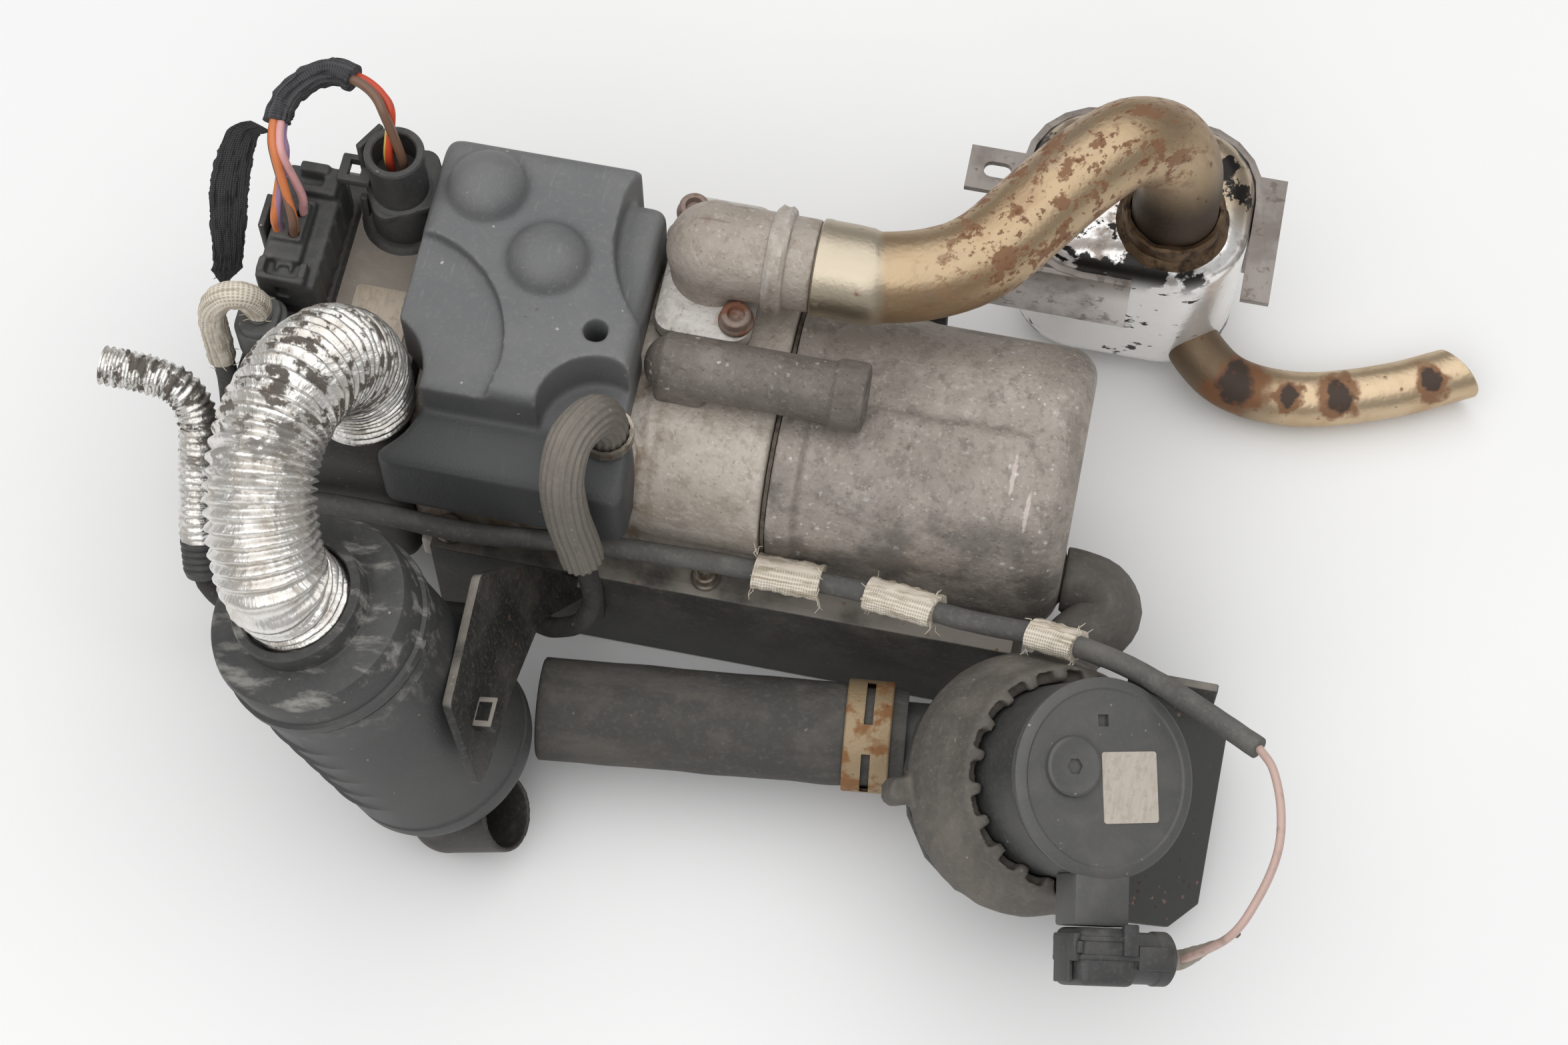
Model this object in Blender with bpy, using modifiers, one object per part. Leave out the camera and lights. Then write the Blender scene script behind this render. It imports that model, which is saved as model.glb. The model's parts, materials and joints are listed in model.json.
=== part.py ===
"""A vehicle's parking heater: water heater, exhaust, air intake, coolant pump, wiring and frame.

Metres, +Z up. The heater lies along X, the frame's foot rests on z = 0, and the heater's own
axis is the line y = 0, z = AXIS_Z.
"""

import math

import bmesh
import bpy
from mathutils import Matrix, Vector

# Clearance between pieces that touch, and how far a cutter runs past what it cuts
GAP = 0.0003
OVERRUN = 0.002

# Heater body, along X
AXIS_Z = 0.052
JACKET_LEFT = -0.004
JACKET_LENGTH = 0.0795
JACKET_HALF_Y = 0.035
JACKET_HALF_Z = 0.034
JACKET_CORNER = 0.024
JACKET_WALL = 0.0032
JACKET_END_ROUND = 0.008
COLLAR_WIDTH = 0.007
COLLAR_PROUD = 0.0016
SEAL_THICKNESS = 0.001
BURNER_LENGTH = 0.0954
BURNER_HALF_Y = 0.037
BURNER_HALF_Z = 0.036
BURNER_CORNER = 0.024
CHAMBER_RADIUS = 0.020
CHAMBER_DEPTH = 0.054
AIR_PASSAGE_RADIUS = 0.012
BLOWER_LENGTH = 0.0477
BLOWER_HALF_Y = 0.0435
BLOWER_HALF_Z = 0.0365
BLOWER_CORNER = 0.012
BLOWER_WALL = 0.0024
BLOWER_END_ROUND = 0.005

# Ends of the three housings along the axis
JACKET_RIGHT = JACKET_LEFT + JACKET_LENGTH
BURNER_RIGHT = JACKET_LEFT - SEAL_THICKNESS - 2 * GAP
BURNER_LEFT = BURNER_RIGHT - BURNER_LENGTH
BLOWER_RIGHT = BURNER_LEFT - GAP
BLOWER_LEFT = BLOWER_RIGHT - BLOWER_LENGTH
FRAME_NEAR = -BURNER_HALF_Y - 0.0095

# Spigot and feet
SPIGOT_X = BLOWER_LEFT + 0.036
SPIGOT_Y = -0.028
SPIGOT_HEIGHT = 0.010
SPIGOT_WALL = 0.0015
FOOT_LENGTH = 0.026
FOOT_WIDTH = 0.036
BURNER_FOOT_X = -0.064
JACKET_FOOT_X = 0.040

# Inside the heater
CORE_RADIUS = 0.028
CORE_WALL = 0.003
CORE_FINS = 12
CORE_FIN_TIP = 0.0205
CORE_FLANGE = 0.0025
CORE_END_SPACE = 0.005
FLAME_RADIUS = 0.0175
FLAME_WALL = 0.0012
FLAME_LENGTH = 0.054
FLAME_FLANGE_RADIUS = 0.0235
FLAME_FLANGE = 0.002
INSERT_TUBE_RADIUS = 0.013
INSERT_WALL = 0.0016
INSERT_LENGTH = 0.030
GLOW_PIN_RADIUS = 0.0022
GLOW_PIN_LENGTH = 0.024
MOTOR_RADIUS = 0.016
MOTOR_LENGTH = 0.024
SHAFT_RADIUS = 0.0016
SHAFT_CLEARANCE = 0.0001
IMPELLER_RADIUS = 0.027
IMPELLER_DISC = 0.0016
VANE_COUNT = 9
VANE_HEIGHT = 0.008
VANE_THICKNESS = 0.0014
BOARD_THICKNESS = 0.0016
BOARD_LENGTH = 0.034
BOARD_WIDTH = 0.046
CHIP_HEIGHT = 0.0022

# Coolant outlet pipe on top of the heater
OUTLET_Y = -0.006
OUTLET_RADIUS = 0.0083
OUTLET_LEFT = -0.0385
OUTLET_RIGHT = 0.0175
OUTLET_BORE = 0.0052
OUTLET_BOSS_RADIUS = 0.0094
OUTLET_BOSS_LENGTH = 0.0085
OUTLET_FOOT_LENGTH = 0.014
OUTLET_FOOT_WIDTH = 0.015

# Main cover over the burner housing
COVER_LEFT = BURNER_LEFT - 0.0042
COVER_RIGHT = -0.0430
COVER_FAR = 0.0425
COVER_NEAR = -0.0312
COVER_TOP = 0.112
COVER_WALL = 0.0024
COVER_ROUND = 0.004
SKIRT_NEAR = -0.0465
SKIRT_RIGHT = -0.0392
SKIRT_TOP = 0.0965
SKIRT_BOTTOM = 0.066
STEP_TOP = 0.1035
STEP_RIGHT = -0.0442
STEP_LEFT = -0.0600
STEP_FAR = 0.0365
STEP_NEAR = -0.006
EXHAUST_RECESS_X = -0.0132
EXHAUST_RECESS_Y = 0.0263
EXHAUST_RECESS_RADIUS = 0.042
ARC_CENTRE_X = COVER_LEFT - 0.0039
ARC_CENTRE_Y = -0.0201
ARC_RADIUS = 0.033
ARC_DEPTH = 0.004
DOME_RADIUS = 0.0108
DOME_HEIGHT = 0.0085
REAR_DOME_X = COVER_LEFT + 0.0145
REAR_DOME_Y = 0.0277
FRONT_DOME_X = -0.0703
FRONT_DOME_Y = 0.0096
SENSOR_RADIUS = 0.005
SENSOR_HEIGHT = 0.017
SENSOR_SEAT_RADIUS = 0.0075
COVER_SCREW_X = -0.0536
COVER_SCREW_Y = -0.0079
SCREW_HOLE_RADIUS = 0.0032
SCREW_TUBE_RADIUS = 0.0056
SCREW_SHANK_RADIUS = 0.0018
SCREW_HEAD_HEIGHT = 0.0026
SCREW_LENGTH = 0.010
FUEL_RECESS_RADIUS = 0.0150
HOSE_NOTCH_CLEARANCE = 0.0035

# Exhaust
PORT_X = -0.0296
PORT_Y = 0.026
PORT_BORE = 0.0085
FLANGE_LENGTH_X = 0.026
FLANGE_LENGTH_Y = 0.042
FLANGE_CORNER = 0.005
FLANGE_THICKNESS = 0.005
GASKET_THICKNESS = 0.001
BOSS_DEPTH = 0.034
BOLT_OFFSET_X = 0.0088
BOLT_OFFSET_Y = 0.0150
BOLT_HEAD_RADIUS = 0.0043
BOLT_HEAD_HEIGHT = 0.0042
BOLT_SHANK_RADIUS = 0.0024
BOLT_LENGTH = 0.016
BOLT_CLEARANCE = 0.0003
ELBOW_RISE = 0.0095
ELBOW_RADIUS = 0.0128
ELBOW_END_X = -0.0023
ELBOW_SPIGOT_RADIUS = 0.0105
ELBOW_SPIGOT_LENGTH = 0.010
ELBOW_BORE = 0.0088
BEAD_RADIUS = 0.0146
BEAD_WIDTH = 0.005
PIPE_RADIUS = 0.0120
PIPE_WALL = 0.0011
SLEEVE_LENGTH = 0.016
SLEEVE_PROUD = 0.0008
PIPE_KNOTS = (
    (0.0280, 0.0300, 0.104),
    (0.0400, 0.0375, 0.105),
    (0.0515, 0.0515, 0.108),
    (0.0620, 0.0645, 0.111),
    (0.0720, 0.0750, 0.111),
    (0.0815, 0.0815, 0.103),
    (0.0868, 0.0830, 0.090),
)
MUFFLER_X = 0.078
MUFFLER_Y = 0.092
MUFFLER_HALF_X = 0.032
MUFFLER_HALF_Y = 0.026
MUFFLER_CORNER = 0.020
MUFFLER_BOTTOM = 0.005
MUFFLER_HEIGHT = 0.057
MUFFLER_ROUND = 0.008
MUFFLER_WALL = 0.0016
NECK_X = 0.088
NECK_Y = 0.083
NECK_HEIGHT = 0.007
NECK_WALL = 0.0016
BAFFLE_HEIGHT = 0.030
BAFFLE_THICKNESS = 0.0015
BAFFLE_HOLE_RADIUS = 0.005
BAND_LOW = 0.032
BAND_HEIGHT = 0.024
BAND_THICKNESS = 0.002
BAND_OPENING = 0.004
RAIL_WIDTH = 0.008
RAIL_LENGTH = 0.040
HANGER_LENGTH = 0.017
HANGER_WIDTH = 0.014
HANGER_Y = 0.0935
HANGER_SLOT_LENGTH = 0.008
HANGER_SLOT_WIDTH = 0.005
TAIL_RADIUS = 0.008
TAIL_WALL = 0.001
TAIL_CUT_ANGLE = 25.0
TAIL_KNOTS = (
    (0.0945, 0.0820, 0.0170),
    (0.0985, 0.0745, 0.0165),
    (0.1030, 0.0690, 0.0150),
    (0.1105, 0.0644, 0.0118),
    (0.1205, 0.0626, 0.0096),
    (0.1340, 0.0630, 0.0092),
    (0.1480, 0.0668, 0.0092),
    (0.1630, 0.0728, 0.0092),
    (0.1810, 0.0824, 0.0092),
)

# Air intake
HOSE_RADIUS = 0.0140
HOSE_RIB_DEPTH = 0.0016
HOSE_BORE = 0.0109
HOSE_RIBS = 44
HOSE_KNOTS = (
    (SPIGOT_X, -0.0280, 0.1020),
    (SPIGOT_X - 0.0006, -0.0318, 0.1170),
    (SPIGOT_X - 0.0025, -0.0410, 0.1320),
    (-0.1185, -0.0560, 0.1415),
    (-0.1200, -0.0720, 0.1425),
    (-0.1182, -0.0860, 0.1365),
)
SILENCER_BASE = (-0.080, -0.097, 0.026)
SILENCER_TILT = 18.7
SILENCER_RADIUS = 0.027
SILENCER_HEIGHT = 0.072
SILENCER_WALL = 0.002
LID_HEIGHT = 0.014
LID_COLLAR_RADIUS = 0.0176
LID_COLLAR_HEIGHT = 0.007
LID_SEAT_DEPTH = 0.005
NOZZLE_X = -0.0016
NOZZLE_Y = -0.0130
NOZZLE_DROP = 0.0152
NOZZLE_RADIUS = 0.0107
NOZZLE_BORE = 0.0092
NOZZLE_LENGTH = 0.020
NOZZLE_RISE = 12.0
STUB_RADIUS = 0.0095
STUB_BORE = 0.0078
STRAP_THICKNESS = 0.0025
STRAP_NEAR = -0.0187
STRAP_FOOT_LENGTH = 0.012
STRAP_LIP = 0.006
STRAP_LIP_LEAN = -18.0
STRAP_FOOT_X = -0.0585

# Fuel lines
FUEL_PORT_X = -0.0465
FUEL_PORT_Y = -0.0300
FUEL_SEAT_RADIUS = 0.0060
FUEL_HEX_RADIUS = 0.0050
FUEL_HEX_HEIGHT = 0.0035
FUEL_NIPPLE_HEIGHT = 0.012
FUEL_HOSE_RADIUS = 0.0058
FUEL_HOSE_WALL = 0.0025
FUEL_KNOTS = (
    (-0.0465, -0.0300, 0.1050),
    (-0.0486, -0.0338, 0.1140),
    (-0.0522, -0.0420, 0.1160),
    (-0.0532, -0.0495, 0.1085),
    (-0.0515, -0.0540, 0.0970),
    (-0.0492, -0.0560, 0.0870),
)
FUEL_HOSE_END = (-0.0475, -0.0575, 0.0785)
FUEL_PIPE_RADIUS = 0.0028
FUEL_PIPE_KNOTS = (
    (-0.0458, -0.0592, 0.0680),
    (-0.0452, -0.0610, 0.0600),
    (-0.0480, -0.0640, 0.0520),
    (-0.0565, -0.0625, 0.0410),
    (-0.0660, -0.0590, 0.0345),
    (-0.0850, -0.0600, 0.0325),
    (BLOWER_LEFT + 0.0390, -0.0615, 0.0325),
    (BLOWER_LEFT + 0.0120, -0.0655, 0.0300),
    (BLOWER_LEFT + 0.0010, -0.0680, 0.0295),
)
CLIP_WIDTH = 0.0035
CLIP_THICKNESS = 0.0009
FITTING_TOP = (BLOWER_LEFT - 0.0070, -0.0575, 0.0460)
FITTING_BOTTOM = (BLOWER_LEFT - 0.0055, -0.0640, 0.0370)
FITTING_RADIUS = 0.0056
FOIL_RADIUS = 0.0055
FOIL_RIB_DEPTH = 0.0009
FOIL_BORE = 0.0038
FOIL_RIBS = 20
FOIL_KNOTS = (
    (BLOWER_LEFT - 0.0085, -0.0480, 0.0560),
    (BLOWER_LEFT - 0.0095, -0.0395, 0.0645),
    (BLOWER_LEFT - 0.0110, -0.0325, 0.0720),
    (BLOWER_LEFT - 0.0160, -0.0290, 0.0775),
    (BLOWER_LEFT - 0.0240, -0.0280, 0.0795),
)
FOIL_END = (BLOWER_LEFT - 0.0365, -0.0278, 0.0800)
FUEL_LINE_RADIUS = 0.0027
FUEL_LINE_WALL = 0.0013

# Coolant pump, in its own frame: z runs along its axis, from the cap's face at 0
PUMP_AHEAD = 0.0200
PUMP_OUT = 0.0462
PUMP_TOP = (JACKET_RIGHT + PUMP_AHEAD, FRAME_NEAR - PUMP_OUT, 0.0840)
PUMP_AXIS = (0.46, -0.20, 0.865)
CAP_RADIUS = 0.0255
CAP_THICKNESS = 0.0026
CAP_BOSS_RADIUS = 0.0075
CAP_BOSS_X = -0.0105
CAP_BOSS_Y = 0.0050
CAP_BOSS_HEIGHT = 0.0012
CAP_HEX_RADIUS = 0.0026
PUMP_MOTOR_RADIUS = 0.0250
PUMP_MOTOR_LENGTH = 0.0475
PUMP_MOTOR_WALL = 0.002
MOUNT_TOP = 0.018
MOUNT_LIP_RADIUS = 0.0300
MOUNT_LIP_HEIGHT = 0.008
MOUNT_RADIUS = 0.0345
MOUNT_NECK = 0.0285
MOUNT_PLATE_DEPTH = 0.046
MOUNT_LOWER_RADIUS = 0.0310
MOUNT_LOWER = 0.003
VOLUTE_RADIUS = 0.0220
VOLUTE_LENGTH = 0.0165
VOLUTE_WALL = 0.0025
VOLUTE_NOZZLE_WALL = 0.002
OUTLET_NOZZLE_U = 0.0140
OUTLET_NOZZLE_REACH = 0.040
ROTOR_RADIUS = 0.0120
ROTOR_SHAFT_RADIUS = 0.0026
ROTOR_PIN_RADIUS = 0.0015
ROTOR_PIN_HEIGHT = 0.009
ROTOR_IMPELLER_RADIUS = 0.0165
ROTOR_BLADES = 6
SOCKET_WIDTH = 0.014
SOCKET_REACH = 0.0115
SOCKET_HEIGHT = 0.011
PLUG_TURN = 10.0
PLUG_WIDTH = 0.016
PLUG_DEPTH = 0.0145
PLUG_HEIGHT = 0.015
PLUG_ARM_LENGTH = 0.012
PUMP_LATCH_LENGTH = 0.011
PUMP_LATCH_THICKNESS = 0.0016
PUMP_PLATE_THICKNESS = 0.0025
PUMP_SLOPE = 0.25
PUMP_PLATE_ROUND = 0.033
PUMP_PLATE_RIGHT = 0.060
PUMP_PLATE_NEAR = -0.027
PUMP_PLATE_FAR = 0.030

# Coolant hoses
COOLANT_RIGHT = (JACKET_RIGHT - 0.0335, FRAME_NEAR - 0.0231, 0.0255)
COOLANT_LEFT = (-0.0570, FRAME_NEAR - 0.0333, 0.0245)
COOLANT_RADIUS = 0.0140
COOLANT_WALL = 0.0030
CLAMP_PLACE = 0.0102
CLAMP_WIDTH = 0.0125
CLAMP_THICKNESS = 0.0010
ELBOW_HOSE_RADIUS = 0.0090
ELBOW_HOSE_START = 0.0305
ELBOW_HOSE_WALL = 0.0027
JACKET_NOZZLE_Y = -0.020
JACKET_NOZZLE_Z = 0.038
JACKET_NOZZLE_LENGTH = 0.0035
ELBOW_HOSE_KNOTS = (
    (JACKET_RIGHT + 0.0093, -0.0348, 0.0367),
    (JACKET_RIGHT + 0.0135, -0.0305, 0.0373),
    (JACKET_RIGHT + 0.0143, -0.0260, 0.0378),
    (JACKET_RIGHT + 0.0107, -0.0216, 0.0380),
    (JACKET_RIGHT + 0.0045, -0.0200, 0.0380),
)

# Frame
SHEET = 0.0025
FRAME_LEFT = BURNER_LEFT + 0.006
FRAME_RIGHT = JACKET_RIGHT + 0.0465
BASE_RIGHT = JACKET_RIGHT - 0.0075
FRAME_FAR = 0.030
FRAME_HEIGHT = 0.0425
FRAME_FLANGE = 0.0066
FRAME_BOLT_HEAD = 0.0036
FRAME_BOLT_SHANK = 0.0018
NOTCH_LEFT = JACKET_RIGHT - 0.0095
NOTCH_RIGHT = JACKET_RIGHT + 0.0225
NOTCH_BOTTOM = 0.016
UPSTAND_LEFT = 0.000
UPSTAND_RIGHT = 0.030
UPSTAND_TOP = 0.054
LUG_LENGTH = 0.016
LUG_DEPTH = 0.010
RIGHT_LUG_X = -0.0192
LEFT_LUG_X = BURNER_LEFT + 0.0105

# Wiring
MAIN_PLUG_X = BLOWER_LEFT + 0.0115
MAIN_PLUG_Y = 0.0105
MAIN_PLUG_WIDTH = 0.0160
MAIN_PLUG_LENGTH = 0.0360
MAIN_PLUG_HEIGHT = 0.0220
MAIN_LATCH_LENGTH = 0.014
MAIN_LATCH_WIDTH = 0.010
LATCH_THICKNESS = 0.0018
LATCH_SPACE = 0.0022
ROUND_PLUG_X = BLOWER_LEFT + 0.034
ROUND_PLUG_Y = 0.0275
ROUND_PLUG_RADIUS = 0.0090
ROUND_PLUG_HEIGHT = 0.034
ROUND_COLLAR_HEIGHT = 0.016
ROUND_LATCH_LENGTH = 0.016
ROUND_LATCH_WIDTH = 0.009
SENSOR_PLUG_X = BLOWER_LEFT + 0.0065
SENSOR_PLUG_Y = -0.0158
SENSOR_PLUG_RADIUS = 0.0068
SENSOR_PLUG_HEIGHT = 0.015
LOOM_RADIUS = 0.0034
LOOM_KNOTS = (
    (BLOWER_LEFT + 0.0335, 0.0300, 0.1310),
    (BLOWER_LEFT + 0.0305, 0.0345, 0.1350),
    (BLOWER_LEFT + 0.0250, 0.0385, 0.1360),
    (BLOWER_LEFT + 0.0145, 0.0405, 0.1350),
    (BLOWER_LEFT + 0.0060, 0.0335, 0.1330),
    (BLOWER_LEFT + 0.0045, 0.0240, 0.1310),
    (BLOWER_LEFT + 0.0075, 0.0150, 0.1265),
)
SHEATH_RADIUS = 0.0030
SHEATH_KNOTS = (
    (BLOWER_LEFT + 0.0040, -0.0167, 0.1130),
    (BLOWER_LEFT - 0.0010, -0.0180, 0.1130),
    (BLOWER_LEFT - 0.0047, -0.0195, 0.1060),
    (BLOWER_LEFT - 0.0047, -0.0210, 0.0920),
    (BLOWER_LEFT - 0.0042, -0.0230, 0.0740),
    (BLOWER_LEFT - 0.0040, -0.0290, 0.0580),
    (BLOWER_LEFT - 0.0037, -0.0400, 0.0495),
    (BLOWER_LEFT + 0.0015, -BLOWER_HALF_Y - 0.0050, 0.0500),
    (BLOWER_LEFT + 0.0130, -BLOWER_HALF_Y - 0.0045, 0.0550),
    (BLOWER_LEFT + 0.0240, -BLOWER_HALF_Y - 0.0040, 0.0605),
    (-0.1070, FRAME_NEAR - 0.0015, 0.0625),
    (-0.0810, FRAME_NEAR - 0.0013, 0.0600),
    (-0.0520, FRAME_NEAR + 0.0025, 0.0580),
    (-0.0200, FRAME_NEAR + 0.0045, 0.0565),
    (-0.0050, FRAME_NEAR + 0.0045, 0.0565),
    (0.0246, FRAME_NEAR + 0.0035, 0.0580),
    (JACKET_RIGHT - 0.0235, FRAME_NEAR - 0.0020, 0.0645),
    (JACKET_RIGHT - 0.0020, -0.0522, 0.0715),
    (JACKET_RIGHT + 0.0165, -0.0586, 0.0797),
    (JACKET_RIGHT + 0.0335, -0.0682, 0.0880),
)
SHEATH_END = (JACKET_RIGHT + 0.0555, -0.0820, 0.0960)
WIRE_RADIUS = 0.0011
WIRE_KNOTS = (
    (JACKET_RIGHT + 0.0597, -0.0880, 0.0985),
    (JACKET_RIGHT + 0.0630, -0.0980, 0.0985),
    (JACKET_RIGHT + 0.0640, -0.1080, 0.0950),
    (JACKET_RIGHT + 0.0615, -0.1180, 0.0880),
    (JACKET_RIGHT + 0.0565, -0.1265, 0.0800),
)
TAPE_TOP = (BLOWER_LEFT + 0.0004, 0.0235, 0.1310)
TAPE_BOTTOM = (BLOWER_LEFT - 0.0135, 0.0060, 0.0740)
TAPE_WIDTH = 0.009
TAPE_THICKNESS = 0.0007

# Sides of round pieces
FINE = 24
COARSE = 16
SMALL = 10

TURN_X = Matrix(((0, 0, 1, 0), (1, 0, 0, 0), (0, 1, 0, 0), (0, 0, 0, 1)))
TURN_Y = Matrix(((0, 1, 0, 0), (0, 0, 1, 0), (1, 0, 0, 0), (0, 0, 0, 1)))


def clear_scene():
    """Empties the scene of the objects that a new file starts with."""
    for obj in list(bpy.data.objects):
        bpy.data.objects.remove(obj, do_unlink=True)


def new_collection(name):
    """A collection linked to the scene."""
    collection = bpy.data.collections.new(name)
    bpy.context.scene.collection.children.link(collection)
    return collection


clear_scene()
PARTS = new_collection("parking_heater")
CUTTERS = new_collection("cutters")


def finish(name, colour, roughness, metallic):
    """A plain material with one colour."""
    material = bpy.data.materials.new(name)
    material.use_nodes = True
    shader = material.node_tree.nodes["Principled BSDF"]
    shader.inputs["Base Color"].default_value = (*colour, 1.0)
    shader.inputs["Roughness"].default_value = roughness
    shader.inputs["Metallic"].default_value = metallic
    material.diffuse_color = (*colour, 1.0)
    return material


CAST = finish("cast_aluminium", (0.30, 0.28, 0.25), 0.6, 0.8)
BLACK_PLASTIC = finish("black_plastic", (0.030, 0.031, 0.033), 0.55, 0.0)
GREY_PLASTIC = finish("grey_plastic", (0.10, 0.10, 0.10), 0.6, 0.0)
RUBBER = finish("black_rubber", (0.035, 0.033, 0.031), 0.75, 0.0)
GREY_RUBBER = finish("grey_rubber", (0.18, 0.17, 0.16), 0.8, 0.0)
GOLD_STEEL = finish("heat_tinted_steel", (0.46, 0.36, 0.24), 0.35, 1.0)
BRIGHT_STEEL = finish("bright_steel", (0.62, 0.60, 0.58), 0.2, 1.0)
GREY_STEEL = finish("grey_steel", (0.34, 0.31, 0.30), 0.45, 0.9)
DARK_STEEL = finish("black_coated_steel", (0.035, 0.034, 0.033), 0.5, 0.3)
RUSTY_STEEL = finish("rusty_steel", (0.26, 0.12, 0.07), 0.8, 0.4)
FOIL = finish("aluminium_foil", (0.72, 0.71, 0.69), 0.35, 1.0)
GASKET = finish("gasket_fibre", (0.20, 0.19, 0.17), 0.8, 0.0)
BRASS = finish("brass", (0.55, 0.42, 0.22), 0.4, 1.0)
BOARD = finish("circuit_board", (0.04, 0.16, 0.08), 0.5, 0.0)
COPPER_WIRE = finish("wire_skin", (0.62, 0.30, 0.20), 0.5, 0.0)
CLOTH_TAPE = finish("black_cloth_tape", (0.03, 0.03, 0.032), 0.9, 0.0)


def mesh_from(bm, name="shape"):
    """The mesh of a bmesh, which is then freed."""
    mesh = bpy.data.meshes.new(name)
    bm.to_mesh(mesh)
    bm.free()
    return mesh


def place(obj, collection, matrix, parent):
    """Links an object, under its parent if it has one."""
    collection.objects.link(obj)
    obj.parent = parent
    obj.matrix_basis = matrix
    return obj


def add(name, mesh, material, matrix=Matrix(), parent=None):
    """A sub-part as a named object."""
    mesh.name = name
    mesh.materials.clear()
    mesh.materials.append(material)
    mesh.shade_smooth()
    mesh.set_sharp_from_angle(angle=math.radians(35))
    return place(bpy.data.objects.new(name, mesh), PARTS, matrix, parent)


def tool(mesh, matrix=Matrix(), parent=None):
    """A helper solid that cuts a sub-part or is joined to it."""
    obj = place(bpy.data.objects.new("tool", mesh), CUTTERS, matrix, parent)
    obj.hide_render = True
    obj.display_type = "WIRE"
    return obj


def combine(obj, operation, others):
    """One exact Boolean for each of the others."""
    for other in others:
        modifier = obj.modifiers.new("shape", "BOOLEAN")
        modifier.operation = operation
        modifier.solver = "EXACT"
        modifier.object = other


def cut(obj, *others):
    combine(obj, "DIFFERENCE", others)


def join(obj, *others):
    combine(obj, "UNION", others)


def at(x, y, z):
    return Matrix.Translation((x, y, z))


def box(low, high):
    """A block between two corners."""
    size = [b - a for a, b in zip(low, high)]
    middle = [(a + b) / 2 for a, b in zip(low, high)]
    bm = bmesh.new()
    bmesh.ops.create_cube(bm, size=1.0, matrix=at(*middle) @ Matrix.Diagonal((*size, 1.0)))
    return mesh_from(bm)


def rod(radius, low, high, sides=COARSE):
    """A cylinder along Z."""
    bm = bmesh.new()
    bmesh.ops.create_cone(
        bm,
        cap_ends=True,
        segments=sides,
        radius1=radius,
        radius2=radius,
        depth=high - low,
        matrix=at(0, 0, (low + high) / 2),
    )
    return mesh_from(bm)


def ball(radius, sides=COARSE):
    """A sphere about the origin."""
    bm = bmesh.new()
    bmesh.ops.create_uvsphere(bm, u_segments=sides, v_segments=sides // 2, radius=radius)
    return mesh_from(bm)


def rounded_box(half_a, half_b, corner, steps=5):
    """The outline of a rectangle with round corners, about the origin."""
    points = []
    for turn, (side_a, side_b) in enumerate(((1, 1), (-1, 1), (-1, -1), (1, -1))):
        for step in range(steps + 1):
            angle = math.pi / 2 * (turn + step / steps)
            a = side_a * (half_a - corner) + corner * math.cos(angle)
            b = side_b * (half_b - corner) + corner * math.sin(angle)
            points.append((a, b))
    return points


def circle(radius, sides=COARSE, centre=(0.0, 0.0)):
    """A round outline."""
    turn = 2 * math.pi / sides
    return [
        (centre[0] + radius * math.cos(turn * i), centre[1] + radius * math.sin(turn * i))
        for i in range(sides)
    ]


def evaluated_mesh(data):
    """The mesh that Blender makes from curve data, with its caps welded on."""
    helper = bpy.data.objects.new("helper", data)
    CUTTERS.objects.link(helper)
    bpy.context.view_layer.update()
    graph = bpy.context.evaluated_depsgraph_get()
    mesh = bpy.data.meshes.new_from_object(helper.evaluated_get(graph))
    bpy.data.objects.remove(helper)
    bm = bmesh.new()
    bm.from_mesh(mesh)
    bmesh.ops.remove_doubles(bm, verts=bm.verts, dist=1e-6)
    bmesh.ops.recalc_face_normals(bm, faces=bm.faces)
    bm.to_mesh(mesh)
    bm.free()
    return mesh


def slab(outlines, low, high):
    """A flat plate along Z from one or more outlines, the inner ones being holes."""
    curve = bpy.data.curves.new("outline", "CURVE")
    curve.dimensions = "2D"
    curve.fill_mode = "BOTH"
    curve.extrude = (high - low) / 2
    for outline in outlines:
        spline = curve.splines.new("POLY")
        spline.points.add(len(outline) - 1)
        spline.use_cyclic_u = True
        for point, (a, b) in zip(spline.points, outline):
            point.co = (a, b, 0.0, 1.0)
    mesh = evaluated_mesh(curve)
    mesh.transform(at(0, 0, (low + high) / 2))
    return mesh


def round_end(mesh, radius, height, steps=2):
    """Rounds the edges of a slab that lie at one height."""
    bm = bmesh.new()
    bm.from_mesh(mesh)
    bmesh.ops.dissolve_limit(bm, angle_limit=0.01, verts=bm.verts, edges=bm.edges)
    edges = [
        edge
        for edge in bm.edges
        if all(abs(vert.co.z - height) < 1e-6 for vert in edge.verts)
    ]
    bmesh.ops.bevel(
        bm, geom=edges, offset=radius, segments=steps, profile=0.5, affect="EDGES", material=-1
    )
    bm.to_mesh(mesh)
    bm.free()
    return mesh


def turned(name, profile, material, matrix=Matrix(), parent=None, sides=FINE, closed=False):
    """A turned piece: its profile (radius, height) runs down its outer side."""
    bm = bmesh.new()
    points = [bm.verts.new((radius, 0, height)) for radius, height in profile]
    for first, second in zip(points, points[1:] + points[:1] if closed else points[1:]):
        bm.edges.new((first, second))
    obj = add(name, mesh_from(bm), material, matrix, parent)
    screw = obj.modifiers.new("turn", "SCREW")
    screw.steps = screw.render_steps = sides
    screw.use_merge_vertices = True
    screw.merge_threshold = 1e-6
    return obj


CURVE_STEPS = 16


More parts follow.
